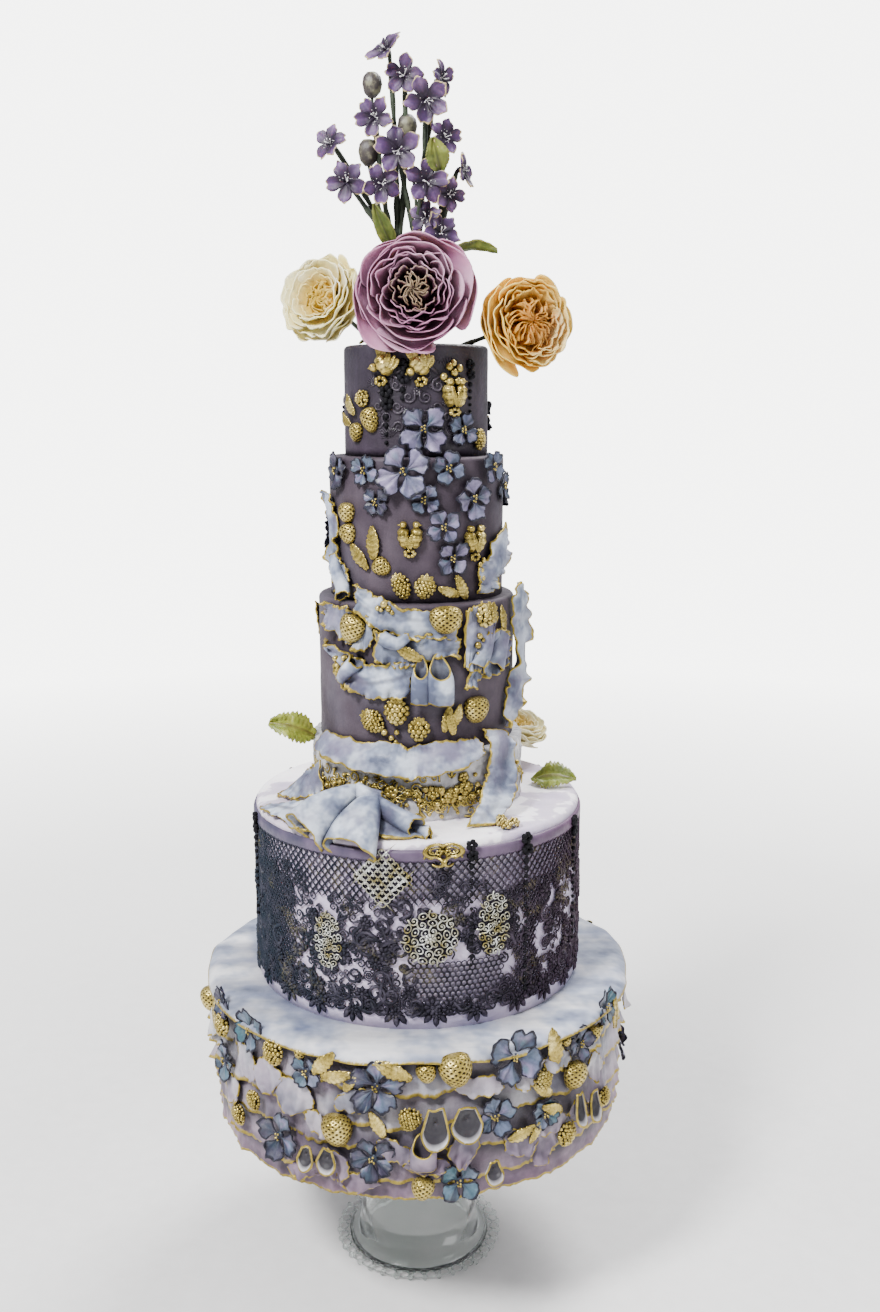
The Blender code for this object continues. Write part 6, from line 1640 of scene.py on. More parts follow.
def strandRows(low, high, pitch, lean, thick, step, opened):
    # Slanted strands both ways between two heights, all round, in short pieces
    rows, rise = [], high - low
    count = int(round(girth / pitch))
    pieces = max(1, round(rise / math.cos(math.radians(lean)) / step))
    for k in range(count):
        for way in (-1, 1):
            for piece in range(pieces):
                y = low + rise * (piece + 0.5) / pieces
                x = girth * k / count - way * (y - low) * math.tan(math.radians(lean))
                azimuth = math.degrees(x / laceLook["radius"])
                if opened and (not hasNet(azimuth) or openSpot(azimuth, y, 0.85) or y < hemOf(azimuth)):
                    continue
                length = rise / math.cos(math.radians(lean)) / pieces * 1.04
                rows.append((x, y, 0.0, (0, 0, way * lean), (thick, length, thick * 1.2)))
    return rows


scatter("laceLattice", "strand",
        strandRows(laceLook["netTop"] - 2, laceLook["latticeTop"] + 1, laceLook["latticePitch"], 40, 0.7,
                   10, False),
        "lace", "lace", laceLook["radius"], "lace_jacket")
scatter("laceNet", "strand", strandRows(laceLook["netLow"] - 6, laceLook["netTop"], laceLook["netPitch"],
                                        36, 0.72, 7.5, True),
        "lace", "lace", laceLook["radius"])
bandAngle = np.arange(240) * fullTurn / 240
bandGrid = np.stack([np.stack([r * np.sin(bandAngle), -r * np.cos(bandAngle),
                               z + 0.25 * waves(bandAngle, 8, (9, 23)) * edge], -1)
                     for r, z, edge in ((127.0, 372.6, 1), (127.7, 374.5, 0), (127.6, 379, 0),
                                        (126.6, 381.4, 0.6))])
makePiece("laceBorder", [sheetPart(bandGrid, 1.1, True)], "laceBand", "lace")

draw = random.Random(17)
motifRows = {"rosette": [], "scroll": [], "laceRose": [], "sprig": [], "fringe": [], "eyelet": [],
             "pearl": [], "blossomlet": []}
for row in range(8):                        # the large motifs
    for column in range(70):
        azimuth = 360 * (column + 0.5 * (row % 2)) / 70 + draw.uniform(-1.2, 1.2)
        x, y = roundLace(azimuth), 264 + 10.6 * row + draw.uniform(-2.4, 2.4)
        if openSpot(azimuth, y, 1.25) or (row == 7 and draw.random() < 0.6) or (hasNet(azimuth)
            and draw.random() < 0.6):
            continue
        kind = draw.choice(("rosette", "scroll", "scroll", "scroll", "sprig", "laceRose", "rosette"))
        size = {"rosette": 6.6, "scroll": 15.0, "sprig": 11.0,
                "laceRose": 6.4}[kind] * draw.uniform(0.85, 1.2)
        motifRows[kind].append((x, y, 0.6, (0, 0, draw.uniform(0, 360)),
                                (size, size, 4.0 if kind != "scroll" else 10.0)))
for row in range(16):                       # small tendrils and blossoms between them
    for column in range(120):
        azimuth = 3 * (column + 0.5 * (row % 2)) + draw.uniform(-1, 1)
        x, y = roundLace(azimuth), 262 + 5.2 * row + draw.uniform(-1.5, 1.5)
        if openSpot(azimuth, y, 1.1) or draw.random() < 0.3 or hasNet(azimuth):
            continue
        kind = draw.choice(("scroll", "scroll", "blossomlet", "sprig"))
        size = {"scroll": 7.0, "blossomlet": 2.8, "sprig": 5.5}[kind] * draw.uniform(0.8, 1.2)
        motifRows[kind].append((x, y, 0.1, (0, 0, draw.uniform(0, 360)),
                                (size, size, 2.6 if kind != "scroll" else 6.0)))
for azimuth, height, wide, tall in windows:  # scrolls frame each window
    for k in range(5):
        a = fullTurn * k / 5 + azimuth
        motifRows["scroll"].append((roundLace(azimuth) + 1.15 * wide * math.cos(a),
                                    height + 1.15 * tall * math.sin(a), 0.5,
                                    (0, 180 * (k % 2), math.degrees(a) + 90), (8.5, 8.5, 7.5)))
for azimuth, height, size in ((-2, 268, 9.5), (-25, 270, 9), (30, 272, 9), (8, 352, 8.5), (-55, 352, 8),
                              (-48, 356, 8), (-41, 352, 8),
                              (60, 275, 9), (-46, 274, 8), (90, 270, 9), (120, 275, 9), (150, 268, 9),
                              (180, 272, 9.5), (210, 270, 9),
                              (240, 272, 9), (270, 270, 9), (300, 272, 9), (110, 352, 8), (160, 354, 8),
                              (205, 352, 8), (250, 354, 8)):
    motifRows["laceRose"].append((roundLace(azimuth), height, 0.8, (0, 0, azimuth * 3),
                                  (size, size, size * 0.55)))
for azimuth, height, size, flip in ((-16, 312, 17, 1), (-5, 308, 18, -1), (-9, 300, 12, 1),
                                    (-20, 306, 12, -1), (22, 330, 10, 1), (31, 334, 10, -1),
                                    (-40, 340, 10, 1), (38, 306, 10, 1), (16, 352, 9, 1),
                                    (22, 351, 9, -1), (-52, 318, 10, 1)):
    motifRows["scroll"].append((roundLace(azimuth), height, 0.6, (0, 0 if flip > 0 else 180, 40 * flip),
                                (size, size, size * 0.8)))
for k in range(26):                         # the hanging leaves, in fans round the lower edge
    azimuth = 360 * (k + 0.5) / 26 + draw.uniform(-1, 1)
    motifRows["rosette"].append((roundLace(azimuth), 260, 0.8, (0, 0, 11 * k), (5.5, 5.5, 4)))
    for leaf in range(5):
        lean = 34 * (leaf - 2) + draw.uniform(-5, 5)
        size = 10.0 if leaf % 4 else 8.4
        motifRows["fringe"].append((roundLace(azimuth) + 0.07 * lean, 259 + 0.03 * abs(lean), 0.5,
                                    (0, 0, lean), (size, size, size * 0.9)))
    for way in (-1, 1):
        motifRows["scroll"].append((roundLace(azimuth + 5.6 * way), 260.5, 0.3,
                                    (0, 90 - 90 * way, 30 * way), (11, 11, 8)))
for row in range(8):                        # round holes
    for column in range(16):
        x = 0.3 + 4.15 * (column + 0.5 * (row % 2))
        motifRows["eyelet"].append((x, 270 + 3.7 * row, 0.1, (0, 0, 0), (2.4, 2.4, 2.4)))
for column in range(150):                   # small beads under the border
    motifRows["pearl"].append((girth * column / 150, 346 + 0.8 * math.sin(column * 1.7), 0.4, (0, 0, 0),
                               0.95))
motifRows["laceRose"].append((roundLace(9), 361, 1.0, (0, 0, 20), (9.5, 9.5, 5)))
for kind, kindRows in motifRows.items():
    scatter("lace" + kind[0].upper() + kind[1:], kind, kindRows, "lace", "lace", laceLook["radius"])

# Silver-gold filigree plaques on the lace
plaqueRings, plaqueScrolls, plaquePearls, plaqueStrands, plaqueRosettes = [], [], [], [], []
plaqueRadius = 128.7


def atPlaque(azimuth, height, x, y):
    return math.radians(azimuth) * plaqueRadius + x, height + y


# Dark lace backs each plaque, so that its gaps read dark
plaques = ((5, 317, 19, 19), (-29, 309, 10.5, 21), (26, 323, 11.5, 23), (100, 330, 17, 17),
           (140, 312, 11, 22), (180, 335, 18, 18),
           (222, 310, 11, 22), (262, 332, 17, 17))
backingParts = []
for azimuth, height, wide, tall in plaques + ((-10, 361, 15, 15),):
    r = np.linspace(0.03, 0.97, 7)[:, None]
    a = (np.arange(32) * fullTurn / 32)[None, :]
    square = 1 / (np.abs(np.cos(a)) + np.abs(np.sin(a))) if azimuth == -10 else 1
    x, z = wide * r * np.cos(a) * square * (1.35 if azimuth == -10
                                            else 1), tall * r * np.sin(a) * square * (1.35
                                                if azimuth == -10 else 1)
    backingParts.append(sheetPart(around(azimuth + np.degrees(x / 127.6), height + z, 127.6 + 0 * x),
                                  0.7, True))
makePiece("plaqueBacking", backingParts, "lace", "lace")

for i in range(-3, 4):                      # the diamond: scales of little rings
    for j in range(-3, 4):
        x, y = atPlaque(-10, 361, (i - j) * 3.05, (i + j) * 3.15)
        plaqueRings.append((x, y, 0.2, (0, 0, 0), (2.5, 2.5, 3.4)))
        plaquePearls.append((x, y + 1.6, 0.9, (0, 0, 0), 0.8))
for k in range(4):
    spin = 45 + 90 * k
    x, y = atPlaque(-10, 361, 11.2 * math.cos(math.radians(spin)), 11.6 * math.sin(math.radians(spin)))
    plaqueStrands.append((x, y, 0.4, (0, 0, spin), (0.75, 26, 0.8)))
for azimuth, height, wide, tall in plaques:
    for ring, count in ((0.3, 6), (0.62, 10), (0.92, 15)):
        for k in range(count):
            a = fullTurn * (k + 0.5 * ring) / count
            x, y = atPlaque(azimuth, height, wide * ring * math.cos(a), tall * ring * math.sin(a))
            size = 0.2 * (wide + tall)
            if k % 2:
                plaqueScrolls.append((x, y, 0.4, (0, 0, math.degrees(a) + 60), (size, size, size)))
            else:
                plaqueRings.append((x, y, 0.3, (0, 0, math.degrees(a)), (0.3 * size, 0.42 * size, 3.0)))
            plaquePearls.append((x, y, 0.9, (0, 0, 0), 0.75))
    plaqueRosettes.append((*atPlaque(azimuth, height, 0, 0), 0.5, (0, 0, 10),
                           (0.28 * wide, 0.28 * wide, 4)))
for name, kind, kindRows in (
        ("plaqueRings", "ring", plaqueRings), ("plaqueScrolls", "scroll", plaqueScrolls),
        ("plaqueBeads", "pearl", plaquePearls), ("plaqueEdges", "strand", plaqueStrands),
        ("plaqueRosettes", "rosette", plaqueRosettes)):
    scatter(name, kind, kindRows, "silverGold", "gold_lustre", plaqueRadius)
print("lace laid on")

# The filigree tier: gold over silver-white crumple

coreRadius, coreBase, coreTop = tierSizes["filigree"]
crumple = tierBody(coreRadius - 1.0, coreBase + 0.3, coreTop, 3, 0.2, 260)
p = crumple["points"]
angle = np.arctan2(p[:, 0], -p[:, 1])
crumpled = waves(angle, 71, (31, 47, 73), 0.8) * waves(p[:, 2] * 0.35, 72, (1, 2, 3), 0.8) * 0.45
reach = np.hypot(p[:, 0], p[:, 1])
scale = 1 + np.where(reach > coreRadius * 0.7, np.clip(crumpled, -1.0, 1.0) / coreRadius, 0)
p[:, 0] *= scale
p[:, 1] *= scale
makePiece("filigreeTier", [crumple], "crumple", "filigree", "tier_3_filigree")
draw = random.Random(23)
goldRows = {"blossomlet": [], "scroll": [], "pearl": [], "sprig": []}
for row in range(4):
    for column in range(50):
        azimuth = 360 * (column + 0.5 * (row % 2)) / 50 + draw.uniform(-1, 1)
        side = (azimuth + 180) % 360 - 180
        if 42 < side < 100 or side > 175 or side < -60:
            if draw.random() < 0.75:
                continue
        kind = draw.choice(("blossomlet", "scroll", "scroll", "pearl", "pearl", "sprig"))
        size = {"blossomlet": 4.4, "scroll": 9.0, "pearl": 1.9, "sprig": 6.5}[kind]
        size *= draw.uniform(0.8, 1.15)
        goldRows[kind].append((math.radians(azimuth) * coreRadius,
                               392 + 8.8 * row + draw.uniform(-1.5, 1.5), 0.4,
                               (0, 0, draw.uniform(0, 360)), (size, size, min(size, 4.5))))
for azimuth, size in ((-34, 6.0), (-12, 6.0), (9, 6.0), (18, 7.0), (26, 6.5)):
    goldRows["blossomlet"].append((math.radians(azimuth) * coreRadius, 408 + 3 * math.sin(azimuth), 1.0,
                                   (0, 0, azimuth * 5), (size, size, 6)))
    for way in (-1, 1):
        goldRows["scroll"].append((math.radians(azimuth) * coreRadius + way * 5,
                                   399 + 2 * math.cos(azimuth), 1.0,
                                   (0, 0 if way > 0 else 180, 60), (11, 11, 9)))
# open flowers with four long wings
for azimuth, height in ((-52, 406), (-41, 412), (-21, 410), (-3.5, 409), (11, 401), (30, 404)):
    for spin in (35, 145, 215, 325):
        a = math.radians(spin)
        goldRows["sprig"].append((math.radians(azimuth) * coreRadius + 4.2 * math.cos(a),
                                  height + 4.2 * math.sin(a), 1.6, (0, 0, spin - 90), (6.5, 6.5, 7)))
        goldRows["scroll"].append((math.radians(azimuth) * coreRadius + 6.5 * math.cos(a),
                                   height + 6.5 * math.sin(a), 1.0, (0, 0, spin), (8, 8, 9)))
    goldRows["pearl"].append((math.radians(azimuth) * coreRadius, height, 2.2, (0, 0, 0), 2.2))
for azimuth, height, size in ((5, 412, 2.6), (13, 411, 3.2), (17, 407, 2.6), (14, 403, 2.3),
                              (21, 410, 2.4), (9, 406, 2.4), (23, 404, 2.2), (2, 404, 2.2),
                              (-36, 410, 2.6), (-31, 412, 2.8), (-27, 408, 2.2), (-38, 404, 2.2),
                              (-32, 405, 2.4), (-46, 409, 2.4), (-48, 403, 2.2), (-57, 409, 2.2),
                              (-43, 404, 2.0), (-34, 399, 2.2), (-28, 414, 2.2), (27, 411, 2.4),
                              (33, 412, 2.2), (34, 406, 2.2)):
    goldRows["pearl"].append((math.radians(azimuth) * coreRadius, height, 1.2, (0, 0, 0), size))
for kind, kindRows in goldRows.items():
    scatter("filigree" + kind[0].upper() + kind[1:], kind, kindRows, "gold", "filigree", coreRadius)

# Embossed damask on the top tier

coreRadius = 53.4
damaskRows = {"scroll": [], "fan": [], "rosette": [], "pearl": [], "sprig": []}
for spin in (0, 180):                      # the same panel is pressed on the front and on the back
    for side in (-1, 1):
        flip = 0 if side > 0 else 180
        mid = math.radians(2 + spin) * coreRadius
        for x, y, size, roll in ((7, 706, 12, 30), (15, 698, 11, 100), (6, 690, 10, 160),
                                 (23, 692, 10, 40), (14, 683, 10, 220),
                                 (29, 684, 9, 130), (5, 676, 10, 60), (22, 676, 9, 300),
                                 (13, 669, 9, 20), (29, 672, 8, 200), (5, 664, 8, 100)):
            damaskRows["scroll"].append((mid + side * x, y, 0.15, (0, flip, roll * side),
                                         (size, size, size * 1.1)))
        for x, y, size in ((24, 708, 10), (31, 698, 8), (19, 662, 8)):
            damaskRows["fan"].append((mid + side * x, y, 0.2, (0, 0, -25 * side),
                                      (size, size, size * 1.4)))
        for x, y, size in ((10, 698, 3.0), (20, 686, 2.6), (28, 678, 2.4), (10, 676, 2.6),
                           (26, 666, 2.4)):
            damaskRows["rosette"].append((mid + side * x, y, -0.1, (0, 0, 20), (size, size, 2.6)))
        for k in range(14):
            damaskRows["pearl"].append((mid + side * (2 + 2.1 * k), 715 - 0.055 * (k - 3) ** 2, -0.2,
                                        (0, 0, 0), 0.8))
        for x, y, size in ((17, 704, 6), (9, 684, 6), (24, 699, 5)):
            damaskRows["sprig"].append((mid + side * x, y, -0.1, (0, 0, 35 * side), (size, size, 4)))
    damaskRows["fan"].append((mid, 708, -0.1, (0, 0, 0), (9, 9, 9)))
    damaskRows["rosette"].append((mid, 694, -0.1, (0, 0, 0), (4, 4, 3)))
for kind, kindRows in damaskRows.items():
    scatter("damask" + kind[0].upper() + kind[1:], kind, kindRows, "relief", "plum_fondant", coreRadius)

# Jet drops

jetRows = []


def jetString(azimuth, high, low, reach, size):
    # Two clusters of blobs, then dots that grow smaller
    height, number = high, 0
    for cluster in range(2):
        for k in range(5):
            a = 1.26 * k + 0.6 * cluster
            turned = azimuth + math.degrees((2.5 * math.cos(a) + 0.8 * cluster) * size / reach)
            spot = around(turned, height + 2.3 * size * math.sin(a), reach + 0.7)
            jetRows.append((*spot, (0, 0, 0), (1.9 * size,) * 3))
        height -= 7.4 * size
    while height > low:
        s = (1.9, 1.6, 1.4, 1.25)[min(number, 3)] * size
        jetRows.append((*around(azimuth, height, reach + 0.5), (0, 0, 0), (s, s, s)))
        height -= 5.0 * size
        number += 1


for azimuth, high, low, reach, size in ((-9, 712, 684, 53.6, 1.15), (-22, 694, 656, 53.6, 1.2),
                                        (47, 713, 672, 53.6, 0.95), (150, 716, 680, 53.6, 1.1),
                                        (200, 716, 684, 53.6, 1.1), (18, 384, 290, 129, 1.05),
                                        (38, 382, 262, 129, 1.15), (67, 378, 280, 128.6, 1.1),
                                        (-71, 378, 300, 128.6, 1.1), (128, 380, 320, 128.6, 1.1),
                                        (236, 380, 320, 128.6, 1.1)):
    jetString(azimuth, high, low, reach, size)
scatter("jetDrops", "jet", jetRows, "jet", "lace")

# The little gold bow on the lace tier's edge
butterfly = [onTier(shifted(moved(ringPart(1.0, 0.26, 5, 16), lambda p, w=w,
                                  t=t: p * (1.15 * w, 1.25 * t, 5)), x, y, 0.8, 0, 0, spin), 9, 378,
                                  128.4)
             for x, y, w, t, spin in ((-6, 3.5, 6.4, 3.6, 20), (6, 3.5, 6.4, 3.6, -20),
                                      (-6, 3.5, 3.6, 1.8, 20), (6, 3.5, 3.6, 1.8, -20),
                                      (-4.6, -4.5, 5, 2.6, -42), (4.6, -4.5, 5, 2.6, 42),
                                      (0, 0, 2.2, 2.6, 0))]
butterfly += [onTier(shifted(moved(scrollPart(8, 1.9, 12, 0.1), lambda p, f=f: p * (f, 1, 1)), 9 * f, 0,
                             1.0), 9, 378, 128.4) for f in (-1, 1)]
for side in (-1, 1):
    for k in range(6):
        butterfly.append(onTier(shifted(pearlPart(1.0), side * (3.5 + 1.5 * math.cos(k)),
                                        2 + 1.6 * math.sin(2 * k), 1.2), 9, 378, 128.4))
makePiece("goldButterfly", butterfly, "gold", "gold_lustre")
print("filigree, damask and jet done")

# Roses


def rosePetal(middle, half, inner, outer, rise, seed, ruffle=0.06, counts=(1, 2.3, 4.1), rimShare=0.0,
              deepLow=0.2, deepHigh=1.0, thick=0.75,
              rowCount=11, columnCount=21):
    # A cupped petal about the rose's own axis: from its base ring out to its ruffled lip
    t = np.linspace(0, 1, rowCount)[:, None]
    s = np.linspace(-1, 1, columnCount)[None, :]
    r0, z0 = inner
    r1, z1 = outer
    spread = half * (0.5 + 0.5 * np.sin(0.5 * math.pi * t) ** 0.6) * (1 - 0.1 * t ** 6)
    a = middle + spread * s
    u = t * (1 - 0.16 * np.abs(s) ** 4)
    r = r0 + (r1 - r0) * np.sin(0.5 * math.pi * u) ** 0.9
    z = z0 + (z1 - z0) * (1 - np.cos(0.5 * math.pi * u)) ** 0.85 + rise * np.sin(math.pi * u)
    size = max(r1, 8)
    r = r + ruffle * size * waves(s * 2.2, seed, counts) * u ** 2 + 0.03 * size * s * u
    z = (z + ruffle * size * 0.7 * waves(s * 2.2, seed + 1, counts) * u ** 2
         - 0.1 * size * np.clip(u - 0.85, 0, 1) * (1 if rimShare < 0.1 else 0))
    r = np.maximum(r, 0.3)
    grid = np.stack([r * np.cos(a), r * np.sin(a), z + 0 * a], -1)
    rim = rimShare * np.clip(1.15 - (1 - t) * 12, 0, 1) + 0 * s
    return sheetPart(grid, thick, rim=rim, deep=deepLow + (deepHigh - deepLow) * t ** 1.3 + 0 * s)


def roseParts(radius, seed, rings, centre=0.3, centreFolds=7, heartHigh=0.5, wavy=0.12, swirl=0.5,
              cupHigh=0.05):
    parts = []
    for number, (count, rIn, rOut, zIn, zOut, rise, ruffle, counts, rimShare, deepLow,
                 deepHigh) in enumerate(rings):
        for k in range(count):
            middle = fullTurn * (k + 0.37 * number) / count + 0.25 * math.sin(seed + 3 * k)
            far = rOut * (1 + (0.075 if rimShare == 0 else 0.04) * math.sin(2.1 * k + seed + number))
            parts.append(rosePetal(middle, math.pi / count * 1.5, (rIn * radius, zIn * radius),
                                   (far * radius, (zOut + 0.02 * math.sin(k * 5 + number)) * radius),
                                   rise * radius, 1000 * seed + 40 * number + k, ruffle, counts,
                                   rimShare, deepLow, deepHigh))
    draw = random.Random(seed)
    for k in range(centreFolds):            # the quartered heart: thin folds standing on edge
        a0 = fullTurn * k / centreFolds
        for m in range(3):
            lengths = np.linspace(0.03, centre * draw.uniform(0.8, 1.08), 14)
            bearing = (a0 + 0.8 * m / centreFolds * 2.2 + swirl * lengths / centre
                       + wavy * waves(lengths * 18, seed * 7 + 3 * k + m, (1, 2, 3)))
            levels = np.linspace(-0.05, 1, 6)[:, None]
            top = (heartHigh - 0.12 * (lengths / centre) ** 2 - 0.1 * np.exp(-(lengths / 0.08) ** 2)
                   + 0.03 * waves(lengths * 16, seed + k + 9 * m, (1, 2)))
            z = levels * top[None] + 0.05
            bend = 0.03 * np.sin(3 * levels + m)
            swing = bearing + 0.25 * levels * np.sin(9 * lengths + k)
            reach = lengths + bend
            grid = np.stack([reach * np.cos(swing), reach * np.sin(swing), z], -1) * radius
            inward = np.clip(lengths / centre, 0, 1)[None]
            parts.append(sheetPart(grid, 0.55,
                                   rim=np.clip((levels - 0.8) * 6, 0, 1) * (0.45 + 0.4 * inward),
                                   deep=0.1 + 0.5 * levels * inward))
    cup = [(0, -0.3), (0.12, -0.3), (0.3, -0.2), (0.5, -0.04), (0.42, cupHigh), (0, 0.1)]
    parts.append(lathePart([(r * radius, h * radius) for r, h in cup], 20, deep=0.3))
    return parts


# each ring of petals: count, base and lip radius, base and lip height, rise, ruffle, its waves, gilt and
# shade (base, lip)
smooth, curly, tight = (0.8, 1.7, 3.1), (1.6, 3.1, 5.3), (2.2, 4.1, 7)
fullRings = ((5, 0.2, 1.0, -0.26, 0.26, 0.05, 0.06, smooth, 0, 0.9, 1.0),
             (4, 0.2, 0.95, -0.2, 0.37, 0.08, 0.07, smooth, 0, 0.7, 1.0),
             (4, 0.18, 0.82, -0.15, 0.47, 0.12, 0.075, smooth, 0, 0.3, 1.0),
             (5, 0.16, 0.68, -0.1, 0.53, 0.12, 0.085, curly, 0.05, 0.1, 1.0),
             (6, 0.12, 0.58, -0.05, 0.56, 0.06, 0.075, curly, 0.1, 0.0, 0.9),
             (6, 0.1, 0.47, 0.0, 0.57, 0.03, 0.085, curly, 0.2, 0.0, 0.75),
             (6, 0.08, 0.37, 0.0, 0.56, 0.02, 0.08, tight, 0.45, 0.0, 0.55))
looseRings = ((6, 0.2, 1.0, -0.3, 0.12, 0.04, 0.06, curly, 0, 1.0, 1.0),
              (6, 0.2, 0.94, -0.2, 0.3, 0.1, 0.06, curly, 0, 0.9, 1.0),
              (6, 0.18, 0.82, -0.12, 0.44, 0.12, 0.05, curly, 0, 0.55, 1.0),
              (6, 0.15, 0.62, -0.1, 0.46, 0.14, 0.05, curly, 0, 0.2, 0.9),
              (6, 0.12, 0.5, -0.06, 0.36, 0.08, 0.05, tight, 0, 0.1, 0.6))
openRings = ((5, 0.2, 1.0, -0.28, 0.22, 0.06, 0.05, smooth, 0, 1.0, 1.0),
             (5, 0.2, 0.95, -0.2, 0.36, 0.1, 0.05, curly, 0, 0.85, 1.0),
             (6, 0.18, 0.86, -0.14, 0.48, 0.14, 0.05, curly, 0.1, 0.5, 0.95),
             (7, 0.15, 0.74, -0.08, 0.5, 0.12, 0.05, curly, 0.2, 0.3, 0.8),
             (8, 0.12, 0.64, 0.0, 0.5, 0.06, 0.055, tight, 0.3, 0.2, 0.7))
# node: centre, facing, radius, finish, slot, rings, size of the heart, foot of its wire
roses = {
    "rose_mauve": ((0, -50, 760.5), (0, -1, 0.08), 40, "mauve", "mauve_petal", fullRings,
                   (0.31, 8, 0.54, 0.2, 0.7), (0, -16, 727.3)),
    "rose_cream": ((-67, 6, 760), (-0.5, -0.8, 0.3), 33, "cream", "cream_petal", looseRings,
                   (0.4, 6, 0.3, 0.16, 0.6), (-28, 14, 727.3)),
    "rose_peach": ((76, -30, 741), (0.45, -0.88, 0.08), 34, "peach", "peach_petal", openRings,
                   (0.56, 9, 0.5, 0.06, 0.15), (34, 2, 727.3)),
    "rose_rear": ((82, 88, 413), (0.3, -0.2, 0.9), 27, "cream", "peach_petal", looseRings,
                  (0.4, 6, 0.3, 0.16, 0.6), (80, 84, 387.3)),
}
stemParts = []
for seed, (node, (roseCentre, facing, bloomRadius, finishName, slotName, petalRings, heart,
                  foot)) in enumerate(roses.items()):
    parts = [aimed(p, roseCentre, facing, 37 * seed)
             for p in roseParts(bloomRadius, seed + 2, petalRings, *heart)]
    makePiece(node.replace("_", ""), parts, finishName, slotName, node)
    away = np.array(facing, float) / np.linalg.norm(facing)
    begin, foot = np.array(roseCentre, float) - away * bloomRadius * 0.26, np.array(foot, float)
    bend = (begin + foot) / 2 - away * bloomRadius * 0.25
    share = np.linspace(0, 1, 14)[:, None]
    path = (1 - share) ** 2 * begin + 2 * share * (1 - share) * bend + share ** 2 * (foot + (0, 0, 0.2))
    stemParts.append(tubePart(path, 1.9 + 0.25 * waves(share[:, 0] * 9, seed, (1, 2)), 8))
    sepals = [aimed(shifted(goldLeafPart(bloomRadius * 0.7, bloomRadius * 0.2, seed + k, 2.5, 0.8), 0,
                            bloomRadius * 0.36, 0, 0, -12),
                            np.array(roseCentre) - away * bloomRadius * 0.3,
                    facing, 72 * k) for k in range(5)]
    stemParts += sepals
makePiece("roseStems", stemParts, "stem", "green_leaf")
print("roses opened")

# The violet spray

sprayRoot = np.array([2, 14, 727.3])
forks = (np.array([-14, 12, 790.0]), np.array([2, 12, 800.0]), np.array([16, 14, 790.0]))
sprayFlowers = (    # place, facing, radius, fork
    ((-21, 4, 934), (-0.5, -0.6, 0.5), 15, 0), ((-8, 0, 915), (-0.1, -1, 0.2), 14, 0),
    ((8, -2, 898), (0.1, -1, -0.1), 16, 1), ((20, 6, 914), (0.9, -0.4, 0.1), 13, 1),
    ((-29, 0, 887), (-0.2, -1, 0.0), 14, 0), ((-12, -4, 864), (-0.1, -1, 0.1), 17, 1),
    ((22, 2, 874), (0.5, -0.8, 0.2), 13, 2), ((-62, 8, 871), (-0.5, -0.8, 0.3), 13, 0),
    ((-50, 2, 843), (-0.2, -1, 0.0), 15, 0), ((-24, -2, 841), (0, -1, -0.1), 14, 0),
    ((8, -4, 843), (0.1, -1, 0.1), 16, 1), ((35, 4, 852), (0.9, -0.3, 0.1), 13, 2),
    ((25, 2, 834), (0.4, -0.9, -0.1), 12, 2), ((7, 2, 819), (-0.3, -0.9, 0.1), 12, 2),
    ((19, 0, 808), (0.2, -0.9, 0.3), 14, 2))
sprayBuds = (((-31, 8, 910), 9, 0), ((-34, 8, 864), 9.5, 0), ((-6, 10, 882), 9, 1))


def sprayPetal(middle, radius, seed, thick=0.8):
    t = np.linspace(0.05, 1, 12)[:, None]
    s = np.linspace(-1, 1, 9)[None, :]
    draw = random.Random(seed)
    half = radius * (0.1 + 0.27 * np.sin(math.pi * np.clip(t * 0.72, 0, 1)) ** 1.5)
    half = half * (1 - 0.35 * np.clip(t - 0.85, 0, 1) / 0.15)
    notch = draw.choice((0.05, 0.1, -0.06))
    alongPetal = radius * t * (1 + notch * np.cos(math.pi * s) * t ** 4 - 0.05 * np.abs(s) ** 2)
    curl = draw.uniform(-0.12, 0.3)
    z = (0.36 * radius * t ** 0.7 - curl * radius * t ** 3 * 1.5
         + 0.1 * radius * np.abs(s) ** 2 * (1 - 0.5 * t)
         + 0.04 * radius * waves(s * 3 + t, seed, (1, 2)) * t)
    acrossPetal = half * s + draw.uniform(-0.08, 0.08) * radius * t ** 2
    grid = np.stack([alongPetal * np.cos(middle) - acrossPetal * np.sin(middle),
                     alongPetal * np.sin(middle) + acrossPetal * np.cos(middle), z + 0 * acrossPetal], -1)
    rim = (np.clip(1.1 - (1 - t) * radius / 0.9 + 0 * s, 0, 1)
           + 0.55 * np.clip((np.abs(s) - 0.75) * 4, 0, 1) * np.clip((t - 0.45) * 3, 0, 1))
    return sheetPart(grid, thick, rim=np.clip(rim, 0, 1), deep=t * (1 - 0.35 * np.abs(s)))


